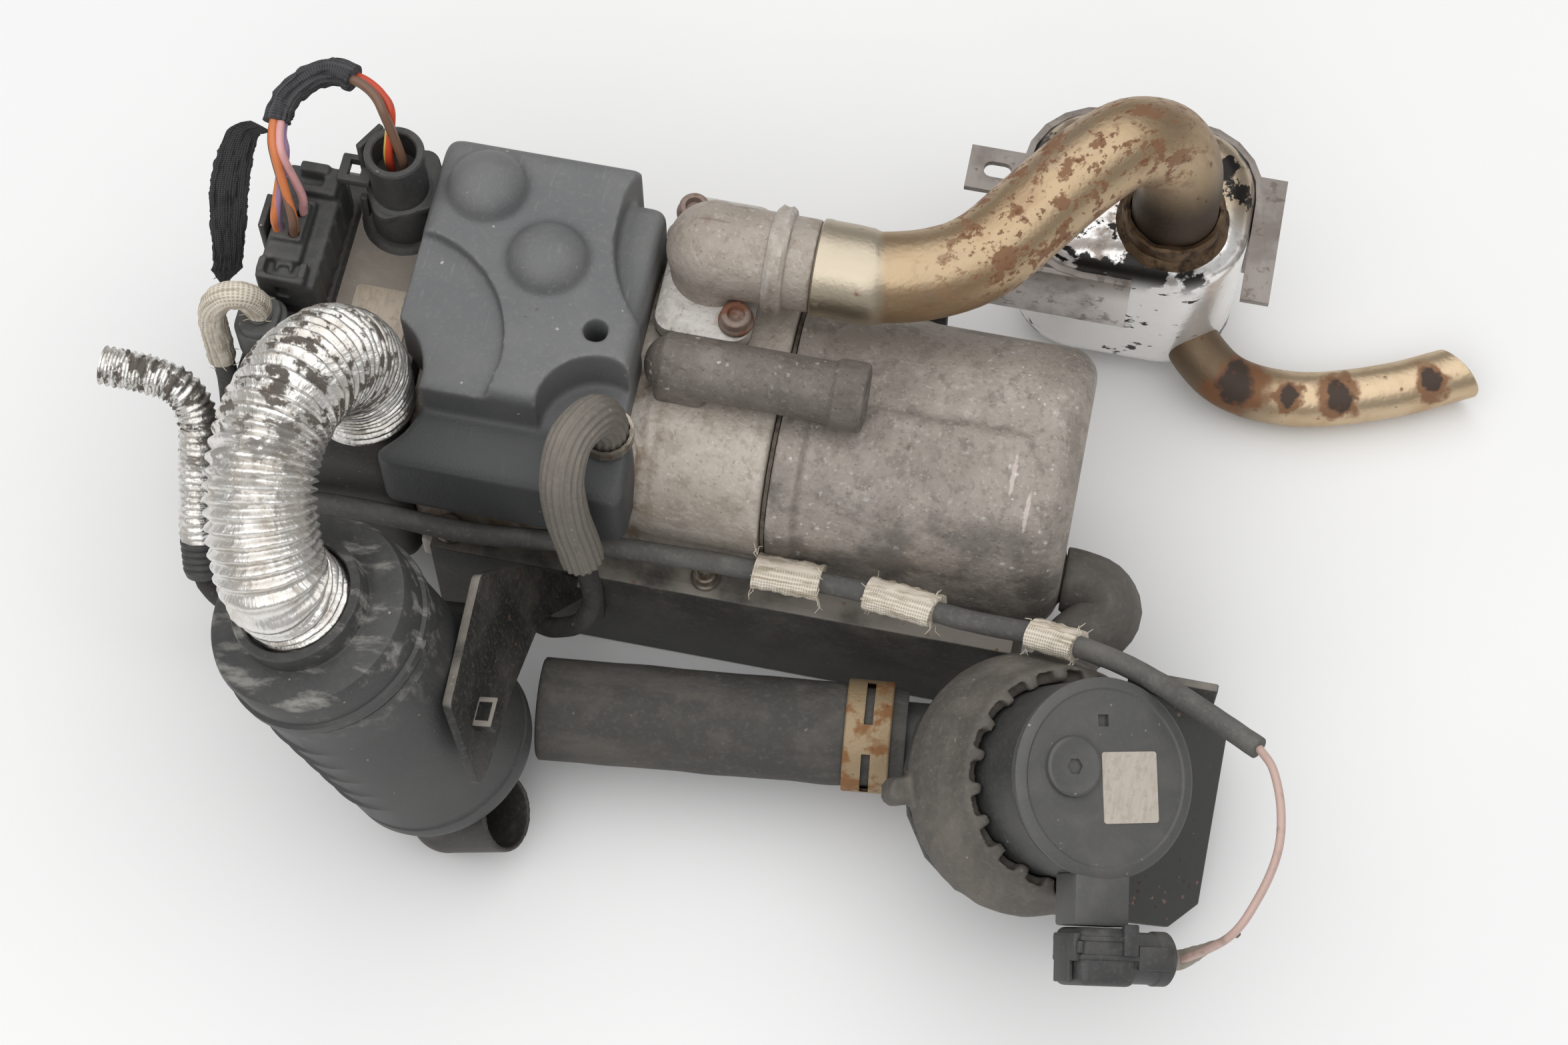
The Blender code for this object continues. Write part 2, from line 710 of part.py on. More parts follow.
def smooth_curve(knots):
    """Closely spaced points on a Catmull-Rom curve through the knots."""
    knots = [Vector(knot) for knot in knots]
    padded = [2 * knots[0] - knots[1], *knots, 2 * knots[-1] - knots[-2]]
    fine = []
    for a, b, c, d in zip(padded, padded[1:], padded[2:], padded[3:]):
        for step in range(CURVE_STEPS):
            t = step / CURVE_STEPS
            fine.append(
                0.5 * (2 * b + (c - a) * t + (2 * a - 5 * b + 4 * c - d) * t**2)
                + 0.5 * (3 * b - a - 3 * c + d) * t**3
            )
    fine.append(knots[-1])
    return fine


def even_steps(fine, spacing):
    """Points at even steps along a chain of closely spaced ones."""
    lengths = [0.0]
    for first, second in zip(fine, fine[1:]):
        lengths.append(lengths[-1] + (second - first).length)
    count = max(2, round(lengths[-1] / spacing))
    route = []
    index = 0
    for step in range(count + 1):
        wanted = lengths[-1] * step / count
        while index < len(fine) - 2 and lengths[index + 1] < wanted:
            index += 1
        share = (wanted - lengths[index]) / (lengths[index + 1] - lengths[index])
        route.append(fine[index].lerp(fine[index + 1], share))
    return route


def smooth_route(knots, spacing):
    """Evenly spaced points on a smooth curve through the knots."""
    return even_steps(smooth_curve(knots), spacing)


def led_route(knots, spacing):
    """The same, with the first and the last stretch kept straight between their knots."""
    fine = smooth_curve(knots)
    middle = even_steps(fine[CURVE_STEPS:-CURVE_STEPS], spacing)
    return [fine[0], *middle, fine[-1]]


def tube_curve(points, radius, sides=8, capped=True, radii=None):
    """Curve data for a round tube along the points; radii scale it point by point."""
    curve = bpy.data.curves.new("tube", "CURVE")
    curve.dimensions = "3D"
    curve.bevel_depth = radius
    curve.bevel_resolution = (sides - 4) // 2
    curve.use_fill_caps = capped
    spline = curve.splines.new("POLY")
    spline.points.add(len(points) - 1)
    for index, point in enumerate(points):
        spline.points[index].co = (*point, 1.0)
        spline.points[index].radius = radii[index] if radii else 1.0
    return curve


def tube(name, knots, radius, material, sides=8, spacing=None):
    """A solid wire, sheath or rod along a smooth route with straight ends."""
    points = led_route(knots, spacing or 2.5 * radius)
    curve = tube_curve(points, radius, sides)
    curve.name = name
    curve.materials.append(material)
    return place(bpy.data.objects.new(name, curve), PARTS, Matrix(), None)


def pipe(name, points, radius, wall, material, sides=8, radii=None):
    """An open-ended pipe: the tube's skin, given its wall inwards."""
    mesh = evaluated_mesh(tube_curve(points, radius, sides, False, radii))
    obj = add(name, mesh, material)
    shell = obj.modifiers.new("wall", "SOLIDIFY")
    shell.thickness = wall
    shell.offset = -1
    return obj


def bore_fit(radius, wall, sides):
    """The radius of what fits into a many-sided pipe."""
    return (radius - wall) * math.cos(math.pi / sides) - GAP


def longer(points, extra):
    """The same points with both ends carried on in line."""
    start = points[0] + (points[0] - points[1]).normalized() * extra
    end = points[-1] + (points[-1] - points[-2]).normalized() * extra
    return [start, *points, end]


def ribbed_hose(name, knots, radius, rib_depth, bore, ribs, material):
    """A hose whose skin rises and falls once a rib, with a plain bore cut through it."""
    length = sum((Vector(b) - Vector(a)).length for a, b in zip(knots, knots[1:]))
    points = smooth_route(knots, length / (2 * ribs))
    valley = 1 - rib_depth / radius
    radii = [valley if index % 2 == 0 else 1.0 for index in range(len(points))]
    mesh = evaluated_mesh(tube_curve(points, radius, 8, True, radii))
    obj = add(name, mesh, material)
    inner = longer(points[:-2:4] + points[-1:], OVERRUN)
    cut(obj, tool(evaluated_mesh(tube_curve(inner, bore, 8))))
    return obj


def frame_along(origin, direction, across=(1, 0, 0)):
    """A frame at origin whose z runs along direction and whose x leans towards across."""
    z = Vector(direction).normalized()
    x = (Vector(across) - z * z.dot(Vector(across))).normalized()
    y = z.cross(x)
    turn = Matrix((x, y, z)).transposed().to_4x4()
    return Matrix.Translation(Vector(origin)) @ turn


def empty(name, matrix):
    """A frame that pieces are parented to."""
    return place(bpy.data.objects.new(name, None), PARTS, matrix, None)


def on_axis(x=0.0):
    """The heater's axis: z runs along world X, x along world Y and y along world Z."""
    return at(x, 0, AXIS_Z) @ TURN_X


BURNER_TOP = AXIS_Z + BURNER_HALF_Z
BLOWER_TOP = AXIS_Z + BLOWER_HALF_Z
CHAMBER_LEFT = BURNER_RIGHT - CHAMBER_DEPTH
FOOT_BOTTOM = SHEET + GAP


def heat_exchanger_jacket():
    """The cast can round the water space, with a collar at its open end."""
    skin = rounded_box(JACKET_HALF_Y, JACKET_HALF_Z, JACKET_CORNER)
    body = round_end(slab([skin], 0, JACKET_LENGTH), JACKET_END_ROUND, JACKET_LENGTH)
    jacket = add("heat_exchanger_jacket", body, CAST, on_axis(JACKET_LEFT))
    collar = rounded_box(
        JACKET_HALF_Y + COLLAR_PROUD, JACKET_HALF_Z + COLLAR_PROUD, JACKET_CORNER
    )
    fit = bore_fit(ELBOW_HOSE_RADIUS, ELBOW_HOSE_WALL, 12)
    nozzle = rod(fit, -JACKET_WALL, JACKET_NOZZLE_LENGTH)
    nozzle_place = at(JACKET_RIGHT, JACKET_NOZZLE_Y, JACKET_NOZZLE_Z) @ TURN_X
    join(
        jacket,
        tool(slab([collar], 0, COLLAR_WIDTH), on_axis(JACKET_LEFT)),
        tool(foot_block(AXIS_Z), at(JACKET_FOOT_X, 0, 0)),
        tool(nozzle, nozzle_place),
    )
    hollow = rounded_box(
        JACKET_HALF_Y - JACKET_WALL, JACKET_HALF_Z - JACKET_WALL, JACKET_CORNER - JACKET_WALL
    )
    depth = JACKET_LENGTH - JACKET_WALL
    nozzle_bore = fit - VOLUTE_NOZZLE_WALL
    cut(
        jacket,
        tool(slab([hollow], -OVERRUN, depth), on_axis(JACKET_LEFT)),
        tool(rod(nozzle_bore, -3 * JACKET_WALL, 2 * JACKET_NOZZLE_LENGTH, SMALL), nozzle_place),
    )


def foot_block(top):
    """A cast foot from the frame's sheet up into the body."""
    return box(
        (-FOOT_LENGTH / 2, -FOOT_WIDTH / 2, FOOT_BOTTOM), (FOOT_LENGTH / 2, FOOT_WIDTH / 2, top / 2)
    )


def jacket_seal():
    """The flat seal between jacket and burner housing."""
    outer = rounded_box(JACKET_HALF_Y, JACKET_HALF_Z, JACKET_CORNER)
    inner = rounded_box(
        JACKET_HALF_Y - JACKET_WALL, JACKET_HALF_Z - JACKET_WALL, JACKET_CORNER - JACKET_WALL
    )
    low = BURNER_RIGHT + GAP
    add("jacket_seal", slab([outer, inner], 0, SEAL_THICKNESS), GASKET, on_axis(low))


def heat_exchanger_core():
    """The finned inner can that the flame heats."""
    flange = JACKET_HALF_Z - JACKET_WALL - GAP
    length = JACKET_LENGTH - JACKET_WALL - CORE_END_SPACE
    profile = (
        (0, length),
        (CORE_RADIUS, length),
        (CORE_RADIUS, CORE_FLANGE),
        (flange, CORE_FLANGE),
        (flange, 0),
        (0, 0),
    )
    core = turned("heat_exchanger_core", profile, CAST, on_axis(JACKET_LEFT), sides=COARSE)
    star = []
    turn = 2 * math.pi / CORE_FINS
    for fin in range(CORE_FINS):
        for share, radius in (
            (-0.36, CORE_RADIUS - CORE_WALL),
            (0.10, CORE_RADIUS - CORE_WALL),
            (0.22, CORE_FIN_TIP),
            (0.52, CORE_FIN_TIP),
        ):
            angle = turn * (fin + share)
            star.append((radius * math.cos(angle), radius * math.sin(angle)))
    cut(core, tool(slab([star], -OVERRUN, length - CORE_WALL), on_axis(JACKET_LEFT)))


def flame_tube():
    """The burner's steel tube, held by its flange between housing and core."""
    left = -FLAME_FLANGE
    profile = (
        (FLAME_RADIUS, FLAME_LENGTH),
        (FLAME_RADIUS, 0),
        (FLAME_FLANGE_RADIUS, 0),
        (FLAME_FLANGE_RADIUS, left),
        (FLAME_RADIUS - FLAME_WALL, left),
        (FLAME_RADIUS - FLAME_WALL, FLAME_LENGTH),
    )
    x = JACKET_LEFT - GAP
    turned("flame_tube", profile, BRIGHT_STEEL, on_axis(x), sides=COARSE, closed=True)


def burner_insert():
    """The evaporator tube in the housing's bore, carried by its rim."""
    rim = CHAMBER_RADIUS - GAP
    bore = INSERT_TUBE_RADIUS - INSERT_WALL
    profile = (
        (0, INSERT_LENGTH),
        (INSERT_TUBE_RADIUS, INSERT_LENGTH),
        (INSERT_TUBE_RADIUS, 2 * INSERT_WALL),
        (rim, 2 * INSERT_WALL),
        (rim, 0),
        (0, 0),
    )
    place_at = on_axis(BURNER_RIGHT - INSERT_LENGTH - 4 * INSERT_WALL)
    insert = turned("burner_insert", profile, BRIGHT_STEEL, place_at, sides=COARSE)
    pin_hole = rod(GLOW_PIN_RADIUS + GAP, -OVERRUN, INSERT_LENGTH, SMALL)
    cut(
        insert,
        tool(rod(bore, INSERT_WALL, INSERT_LENGTH + OVERRUN), place_at),
        tool(pin_hole, place_at @ at(0, bore / 2, 0)),
    )
    pin = add(
        "glow_pin",
        rod(GLOW_PIN_RADIUS, -GLOW_PIN_LENGTH / 2, GLOW_PIN_LENGTH / 2, SMALL),
        GREY_PLASTIC,
        place_at @ at(0, bore / 2, 0),
    )
    head = rod(2 * GLOW_PIN_RADIUS, -GLOW_PIN_LENGTH / 2, -GAP, SMALL)
    join(pin, tool(head, place_at @ at(0, bore / 2, 0)))


def flange_outline():
    return rounded_box(FLANGE_LENGTH_X / 2, FLANGE_LENGTH_Y / 2, FLANGE_CORNER, 3)


def bolt_places():
    """The two flange bolts sit across the flange's diagonal."""
    return ((-BOLT_OFFSET_X, BOLT_OFFSET_Y), (BOLT_OFFSET_X, -BOLT_OFFSET_Y))


def burner_housing():
    """The casting between blower and jacket: exhaust boss, feet, lugs and seats in one."""
    skin = rounded_box(BURNER_HALF_Y, BURNER_HALF_Z, BURNER_CORNER)
    housing = add("burner_housing", slab([skin], 0, BURNER_LENGTH), CAST, on_axis(BURNER_LEFT))
    lug_low = (-LUG_LENGTH / 2, FRAME_NEAR + SHEET + GAP, FRAME_HEIGHT - SHEET - GAP - LUG_DEPTH)
    lug_high = (LUG_LENGTH / 2, -BURNER_HALF_Y / 2, FRAME_HEIGHT - SHEET - GAP)
    seats = [
        tool(slab([flange_outline()], BURNER_TOP - BOSS_DEPTH, BURNER_TOP), at(PORT_X, PORT_Y, 0)),
        tool(foot_block(AXIS_Z), at(BURNER_FOOT_X, 0, 0)),
        tool(
            rod(FUEL_SEAT_RADIUS, AXIS_Z, BURNER_TOP, SMALL), at(FUEL_PORT_X, FUEL_PORT_Y, 0)
        ),
        tool(
            rod(SENSOR_SEAT_RADIUS, AXIS_Z, BURNER_TOP, SMALL), at(REAR_DOME_X, REAR_DOME_Y, 0)
        ),
    ]
    seats += [tool(box(lug_low, lug_high), at(x, 0, 0)) for x in (LEFT_LUG_X, RIGHT_LUG_X)]
    join(housing, *seats)
    counterbore = FLAME_FLANGE_RADIUS + GAP
    depth = FLAME_FLANGE + GAP - (JACKET_LEFT - GAP - BURNER_RIGHT)
    bores = [
        tool(rod(CHAMBER_RADIUS, -CHAMBER_DEPTH, OVERRUN, FINE), on_axis(BURNER_RIGHT)),
        tool(rod(counterbore, -depth, OVERRUN, FINE), on_axis(BURNER_RIGHT)),
        tool(
            rod(AIR_PASSAGE_RADIUS, -OVERRUN, CHAMBER_LEFT - BURNER_LEFT + OVERRUN),
            on_axis(BURNER_LEFT),
        ),
        tool(rod(PORT_BORE, AXIS_Z, BURNER_TOP + OVERRUN), at(PORT_X, PORT_Y, 0)),
        screw_bore(COVER_SCREW_X, COVER_SCREW_Y),
    ]
    bores += [
        blind_hole(BOLT_SHANK_RADIUS, PORT_X + x, PORT_Y + y, BURNER_TOP) for x, y in bolt_places()
    ]
    bores += [
        blind_hole(FRAME_BOLT_SHANK, x, frame_bolt_y(), FRAME_HEIGHT)
        for x in (LEFT_LUG_X, RIGHT_LUG_X)
    ]
    cut(housing, *bores)


def frame_bolt_y():
    """The frame's bolts stand just clear of the burner housing's side."""
    return -BURNER_HALF_Y - GAP - FRAME_BOLT_HEAD


def blind_hole(shank, x, y, top):
    """A bolt's hole, as deep as the bolt is long and as wide as its clearance asks."""
    return tool(
        rod(shank + BOLT_CLEARANCE, top - BOLT_LENGTH - GAP, top + OVERRUN, SMALL), at(x, y, 0)
    )


def screw_bore(x, y):
    return tool(
        rod(SCREW_SHANK_RADIUS + BOLT_CLEARANCE, BURNER_TOP - SCREW_LENGTH, COVER_TOP, SMALL),
        at(x, y, 0),
    )


def coolant_outlet_pipe():
    """The cast water outlet that runs along the top, on its own foot."""
    z = BURNER_TOP + 2 * GAP + OUTLET_RADIUS
    length = OUTLET_RIGHT - OUTLET_LEFT
    where = at(OUTLET_LEFT, OUTLET_Y, z) @ TURN_X
    outlet = add("coolant_outlet_pipe", rod(OUTLET_RADIUS, 0, length), CAST, where)
    foot = box(
        (0, -OUTLET_FOOT_WIDTH / 2, -OUTLET_RADIUS - GAP),
        (OUTLET_FOOT_LENGTH, OUTLET_FOOT_WIDTH / 2, 0),
    )
    join(
        outlet,
        tool(rod(OUTLET_BOSS_RADIUS, length - OUTLET_BOSS_LENGTH, length), where),
        tool(foot, at(OUTLET_LEFT, OUTLET_Y, z)),
    )
    bore_start = OUTLET_FOOT_LENGTH / 2
    cut(
        outlet,
        tool(rod(OUTLET_BORE, bore_start, length + OVERRUN, SMALL), where),
        tool(
            rod(OUTLET_BORE - 2 * GAP, -OUTLET_RADIUS - OVERRUN, 0, SMALL),
            at(OUTLET_LEFT + bore_start + OUTLET_BORE, OUTLET_Y, z),
        ),
    )


def blower_housing():
    """The plastic housing of fan and control board, with the air spigot on top."""
    skin = rounded_box(BLOWER_HALF_Y, BLOWER_HALF_Z, BLOWER_CORNER)
    body = round_end(slab([skin], 0, BLOWER_LENGTH), BLOWER_END_ROUND, 0)
    housing = add("blower_housing", body, GREY_PLASTIC, on_axis(BLOWER_LEFT))
    spigot = spigot_radius()
    join(
        housing,
        tool(
            rod(spigot, BLOWER_TOP - 2 * BLOWER_WALL, BLOWER_TOP + SPIGOT_HEIGHT),
            at(SPIGOT_X, SPIGOT_Y, 0),
        ),
    )
    hollow = rounded_box(
        BLOWER_HALF_Y - BLOWER_WALL, BLOWER_HALF_Z - BLOWER_WALL, BLOWER_CORNER - BLOWER_WALL
    )
    cut(
        housing,
        tool(slab([hollow], BLOWER_WALL, BLOWER_LENGTH + OVERRUN), on_axis(BLOWER_LEFT)),
        tool(
            rod(
                spigot - SPIGOT_WALL,
                BLOWER_TOP - 3 * BLOWER_WALL,
                BLOWER_TOP + SPIGOT_HEIGHT + OVERRUN,
            ),
            at(SPIGOT_X, SPIGOT_Y, 0),
        ),
    )


def spigot_radius():
    return bore_fit(HOSE_BORE, 2 * GAP, 8)


def blower():
    """Fan motor on the housing's end wall, and the impeller with its shaft."""
    motor_x = BLOWER_LEFT + BLOWER_WALL + GAP
    motor = turned(
        "blower_motor",
        ((0, MOTOR_LENGTH), (MOTOR_RADIUS, MOTOR_LENGTH), (MOTOR_RADIUS, 0), (0, 0)),
        BRIGHT_STEEL,
        on_axis(motor_x),
    )
    hole = SHAFT_RADIUS + SHAFT_CLEARANCE
    cut(motor, tool(rod(hole, MOTOR_LENGTH / 3, MOTOR_LENGTH + OVERRUN), on_axis(motor_x)))
    fan_x = motor_x + MOTOR_LENGTH
    shaft_end = -MOTOR_LENGTH / 2
    hub = 3 * SHAFT_RADIUS
    profile = (
        (0, VANE_HEIGHT),
        (hub, VANE_HEIGHT),
        (hub, 2 * IMPELLER_DISC),
        (IMPELLER_RADIUS, 2 * IMPELLER_DISC),
        (IMPELLER_RADIUS, IMPELLER_DISC),
        (SHAFT_RADIUS, IMPELLER_DISC),
        (SHAFT_RADIUS, shaft_end),
        (0, shaft_end),
    )
    fan = turned("blower_impeller", profile, GREY_PLASTIC, on_axis(fan_x), sides=COARSE)
    for index in range(VANE_COUNT):
        turn = Matrix.Rotation(2 * math.pi * index / VANE_COUNT, 4, "Z")
        lean = Matrix.Rotation(math.radians(35), 4, "Z")
        vane = box(
            (-VANE_HEIGHT, -VANE_THICKNESS / 2, 1.5 * IMPELLER_DISC),
            (VANE_HEIGHT / 2, VANE_THICKNESS / 2, VANE_HEIGHT),
        )
        middle = at((IMPELLER_RADIUS + hub) / 2 + VANE_HEIGHT / 3, 0, 0)
        join(fan, tool(vane, on_axis(fan_x) @ turn @ middle @ lean))


def control_board():
    """The circuit board under the housing's roof, with its two larger chips."""
    top = BLOWER_TOP - BLOWER_WALL - GAP
    low = top - BOARD_THICKNESS
    left = BLOWER_LEFT + BLOWER_WALL + 4 * GAP
    near = SPIGOT_Y + spigot_radius() + GAP
    far = near + BOARD_WIDTH
    board = add(
        "control_board", box((left, near, low), (left + BOARD_LENGTH, far, top)), BOARD
    )
    for share in (0.3, 0.7):
        y = near + share * BOARD_WIDTH
        middle = left + BOARD_LENGTH / 2
        half = BOARD_WIDTH / 8
        chip = box(
            (middle - half, y - half, low - CHIP_HEIGHT), (middle + half, y + half, top - GAP)
        )
        join(board, tool(chip))


def cover_blocks(inset, bottom):
    """Plateau, step and skirt of the cover, or with an inset the rooms inside them."""
    plateau = box(
        (COVER_LEFT + inset, COVER_NEAR + inset, bottom),
        (COVER_RIGHT - inset, COVER_FAR - inset, COVER_TOP - inset),
    )
    step = box(
        (STEP_LEFT, STEP_NEAR + inset, bottom),
        (STEP_RIGHT - inset, STEP_FAR - inset, STEP_TOP - inset),
    )
    skirt = box(
        (COVER_LEFT + inset, SKIRT_NEAR + inset, bottom),
        (SKIRT_RIGHT - inset, COVER_NEAR + inset + OVERRUN, SKIRT_TOP - inset),
    )
    return plateau, step, skirt


def exhaust_recess(wall):
    """The hollow flank that keeps the cover off the exhaust elbow."""
    over = COVER_TOP + OVERRUN
    return tool(
        rod(EXHAUST_RECESS_RADIUS + wall, 0, over, 2 * FINE),
        at(EXHAUST_RECESS_X, EXHAUST_RECESS_Y, 0),
    )


def cover_recesses(wall):
    """The arc, the round fuel recess and the hose notch, each thicker by a wall's width."""
    over = COVER_TOP + DOME_HEIGHT + OVERRUN
    notch = HOSE_RADIUS + HOSE_NOTCH_CLEARANCE + wall
    arc = rod(ARC_RADIUS + wall, COVER_TOP - ARC_DEPTH - wall, over, FINE)
    fuel_x = FUEL_PORT_X - FUEL_HOSE_RADIUS / 2
    fuel = rod(FUEL_RECESS_RADIUS + wall, SKIRT_TOP - GAP - wall, over, FINE)
    return (
        tool(arc, at(ARC_CENTRE_X, ARC_CENTRE_Y, 0)),
        tool(fuel, at(fuel_x, FUEL_PORT_Y, 0)),
        tool(rod(notch, 0, over, FINE), at(SPIGOT_X, SPIGOT_Y, 0)),
    )


def bevelled(obj, width, segments=2):
    """Rounds an object's sharp edges."""
    bevel = obj.modifiers.new("round", "BEVEL")
    bevel.width = width
    bevel.segments = segments
    bevel.limit_method = "ANGLE"
    bevel.angle_limit = math.radians(40)
    return obj


def main_cover():
    """The moulded cover: plateau, step and skirt, two domes, arc recess and fuel recess."""
    plateau, step, skirt = cover_blocks(0, SKIRT_BOTTOM)
    cover = bevelled(add("main_cover", plateau, BLACK_PLASTIC), COVER_ROUND)
    cut(cover, exhaust_recess(0))
    join(cover, bevelled(tool(step), COVER_ROUND), bevelled(tool(skirt), COVER_ROUND))
    for x, y in ((REAR_DOME_X, REAR_DOME_Y), (FRONT_DOME_X, FRONT_DOME_Y)):
        dome = ball(DOME_RADIUS)
        dome.transform(Matrix.Diagonal((1, 1, DOME_HEIGHT / DOME_RADIUS, 1)))
        join(cover, tool(dome, at(x, y, COVER_TOP - GAP)))
    cut(cover, *cover_recesses(0), cover_room())
    screw_tube(cover)
    cut(cover, body_space(), blower_space(), fuel_hole(), *dome_rooms())


def cover_room():
    """The room inside the cover, kept clear of its recesses and notch by a wall."""
    plateau, step, skirt = cover_blocks(COVER_WALL, AXIS_Z)
    room = tool(plateau)
    cut(room, exhaust_recess(COVER_WALL))
    join(room, tool(step), tool(skirt))
    cut(room, *cover_recesses(COVER_WALL))
    return room


def dome_rooms():
    """The hollows under the domes, over the sensors."""
    rooms = []
    for x, y in ((REAR_DOME_X, REAR_DOME_Y), (FRONT_DOME_X, FRONT_DOME_Y)):
        inner = ball(DOME_RADIUS - COVER_WALL, SMALL)
        inner.transform(Matrix.Diagonal((1, 1, DOME_HEIGHT / DOME_RADIUS, 1)))
        rooms.append(tool(inner, at(x, y, COVER_TOP - COVER_WALL)))
    return rooms


def screw_tube(cover):
    """The tube under the cover's round hole, with the floor that the screw pulls down."""
    low = BURNER_TOP + GAP
    join(
        cover,
        tool(
            rod(SCREW_TUBE_RADIUS, low, COVER_TOP - COVER_WALL / 2),
            at(COVER_SCREW_X, COVER_SCREW_Y, 0),
        ),
    )
    cut(
        cover,
        tool(
            rod(SCREW_HOLE_RADIUS, low + COVER_WALL, COVER_TOP + OVERRUN),
            at(COVER_SCREW_X, COVER_SCREW_Y, 0),
        ),
        tool(
            rod(SCREW_SHANK_RADIUS + BOLT_CLEARANCE, low - OVERRUN, COVER_TOP, SMALL),
            at(COVER_SCREW_X, COVER_SCREW_Y, 0),
        ),
    )


def body_space():
    """The burner housing's outline with its clearance, which the cover sits over."""
    skin = rounded_box(BURNER_HALF_Y + GAP, BURNER_HALF_Z + GAP, BURNER_CORNER + GAP)
    return tool(slab([skin], 0, BURNER_LENGTH), on_axis(BURNER_LEFT))


def blower_space():
    """Where the cover's left wall would meet the blower housing."""
    return tool(
        box(
            (COVER_LEFT - OVERRUN, -2 * BLOWER_HALF_Y, 0),
            (BLOWER_RIGHT + GAP, 2 * BLOWER_HALF_Y, BLOWER_TOP + GAP),
        )
    )


def fuel_hole():
    return tool(
        rod(FUEL_SEAT_RADIUS + GAP, AXIS_Z, COVER_TOP), at(FUEL_PORT_X, FUEL_PORT_Y, 0)
    )


def cover_screw():
    floor = BURNER_TOP + GAP + COVER_WALL + GAP
    top = floor + SCREW_HEAD_HEIGHT
    head = SCREW_HOLE_RADIUS - GAP
    bottom = BURNER_TOP - SCREW_LENGTH + GAP
    profile = (
        (0, top),
        (head, top),
        (head, floor),
        (SCREW_SHANK_RADIUS, floor),
        (SCREW_SHANK_RADIUS, bottom),
        (0, bottom),
    )
    where = at(COVER_SCREW_X, COVER_SCREW_Y, 0)
    turned("cover_screw", profile, BRIGHT_STEEL, where, sides=SMALL)


def sensors():
    """The two sensors that stand under the domes, each on its seat."""
    for name, x, y in (
        ("temperature_sensor", REAR_DOME_X, REAR_DOME_Y),
        ("overheat_sensor", FRONT_DOME_X, FRONT_DOME_Y),
    ):
        low = BURNER_TOP + GAP
        collar = low + SENSOR_HEIGHT / 4
        profile = (
            (0, low + SENSOR_HEIGHT),
            (SENSOR_RADIUS * 0.7, low + SENSOR_HEIGHT),
            (SENSOR_RADIUS * 0.7, collar),
            (SENSOR_RADIUS, collar),
            (SENSOR_RADIUS, low),
            (0, low),
        )
        turned(name, profile, BRASS, at(x, y, 0), sides=SMALL)


def exhaust_outlet():
    """Gasket, cast elbow and its two bolts, on the housing's exhaust boss."""
    gasket_low = BURNER_TOP + GAP
    plate_low = gasket_low + GASKET_THICKNESS + GAP
    plate_top = plate_low + FLANGE_THICKNESS
    where = at(PORT_X, PORT_Y, 0)
    holes = [circle(BOLT_SHANK_RADIUS + BOLT_CLEARANCE, SMALL, spot) for spot in bolt_places()]
    gasket = slab(
        [flange_outline(), circle(PORT_BORE), *holes], gasket_low, gasket_low + GASKET_THICKNESS
    )
    add("exhaust_gasket", gasket, GASKET, where)
    plate = slab([flange_outline(), *holes], plate_low, plate_top)
    elbow = add("exhaust_elbow", plate, CAST, where)
    z = elbow_height()
    run = ELBOW_END_X - PORT_X
    barrel = at(PORT_X, PORT_Y, z) @ TURN_X
    join(
        elbow,
        tool(ball(ELBOW_RADIUS), at(PORT_X, PORT_Y, z)),
        tool(rod(ELBOW_RADIUS * 0.96, 0, run), barrel),
        tool(rod(ELBOW_SPIGOT_RADIUS, run - OVERRUN, run + ELBOW_SPIGOT_LENGTH), barrel),
        tool(
            rod(BEAD_RADIUS, run - 2.5 * BEAD_WIDTH, run - 1.5 * BEAD_WIDTH), barrel
        ),
    )
    cut(
        elbow,
        tool(rod(ELBOW_BORE, 0, run + ELBOW_SPIGOT_LENGTH + OVERRUN), barrel),
        tool(rod(PORT_BORE, plate_low - OVERRUN, z), where),
    )
    for name, (x, y) in zip(("exhaust_bolt_rear", "exhaust_bolt_front"), bolt_places()):
        seat = at(PORT_X + x, PORT_Y + y, plate_top + GAP)
        bolt(name, seat, BOLT_HEAD_RADIUS, BOLT_SHANK_RADIUS, RUSTY_STEEL)


def elbow_height():
    """The elbow's barrel stands this high, above the flange plate."""
    return BURNER_TOP + 2 * GAP + GASKET_THICKNESS + FLANGE_THICKNESS + ELBOW_RISE


def bolt(name, where, head_radius, shank, material):
    """A flanged bolt with a hexagonal head, its seat at the given place."""
    washer = 0.3 * BOLT_HEAD_HEIGHT
    profile = (
        (0, washer),
        (head_radius, washer),
        (head_radius, 0),
        (shank, 0),
        (shank, -BOLT_LENGTH),
        (0, -BOLT_LENGTH),
    )
    obj = turned(name, profile, material, where, sides=SMALL)
    head = rod(0.78 * head_radius, washer / 2, BOLT_HEAD_HEIGHT, 6)
    join(obj, tool(head, where))


def exhaust_pipe():
    """The tinted pipe from the elbow's sleeve up and over into the silencer's neck."""
    z = elbow_height()
    start = Vector((ELBOW_END_X + GAP, PORT_Y, z))
    sleeve_end = start + Vector((SLEEVE_LENGTH, 0, 0))
    neck = Vector((NECK_X, NECK_Y, MUFFLER_BOTTOM + MUFFLER_HEIGHT + GAP))
    above_neck = neck + Vector((0, 0, NECK_HEIGHT + OVERRUN))
    knots = [start, start.lerp(sleeve_end, 0.5), sleeve_end, *PIPE_KNOTS, above_neck, neck]
    points = led_route(knots, PIPE_RADIUS / 1.7)
    swell = 1 + SLEEVE_PROUD / PIPE_RADIUS
    radii = [swell if (point - start).length < SLEEVE_LENGTH else 1.0 for point in points]
    pipe("exhaust_pipe", points, PIPE_RADIUS, PIPE_WALL, GOLD_STEEL, 12, radii)


def muffler_outline(inset):
    return rounded_box(
        MUFFLER_HALF_X - inset, MUFFLER_HALF_Y - inset, MUFFLER_CORNER - inset, 5
    )


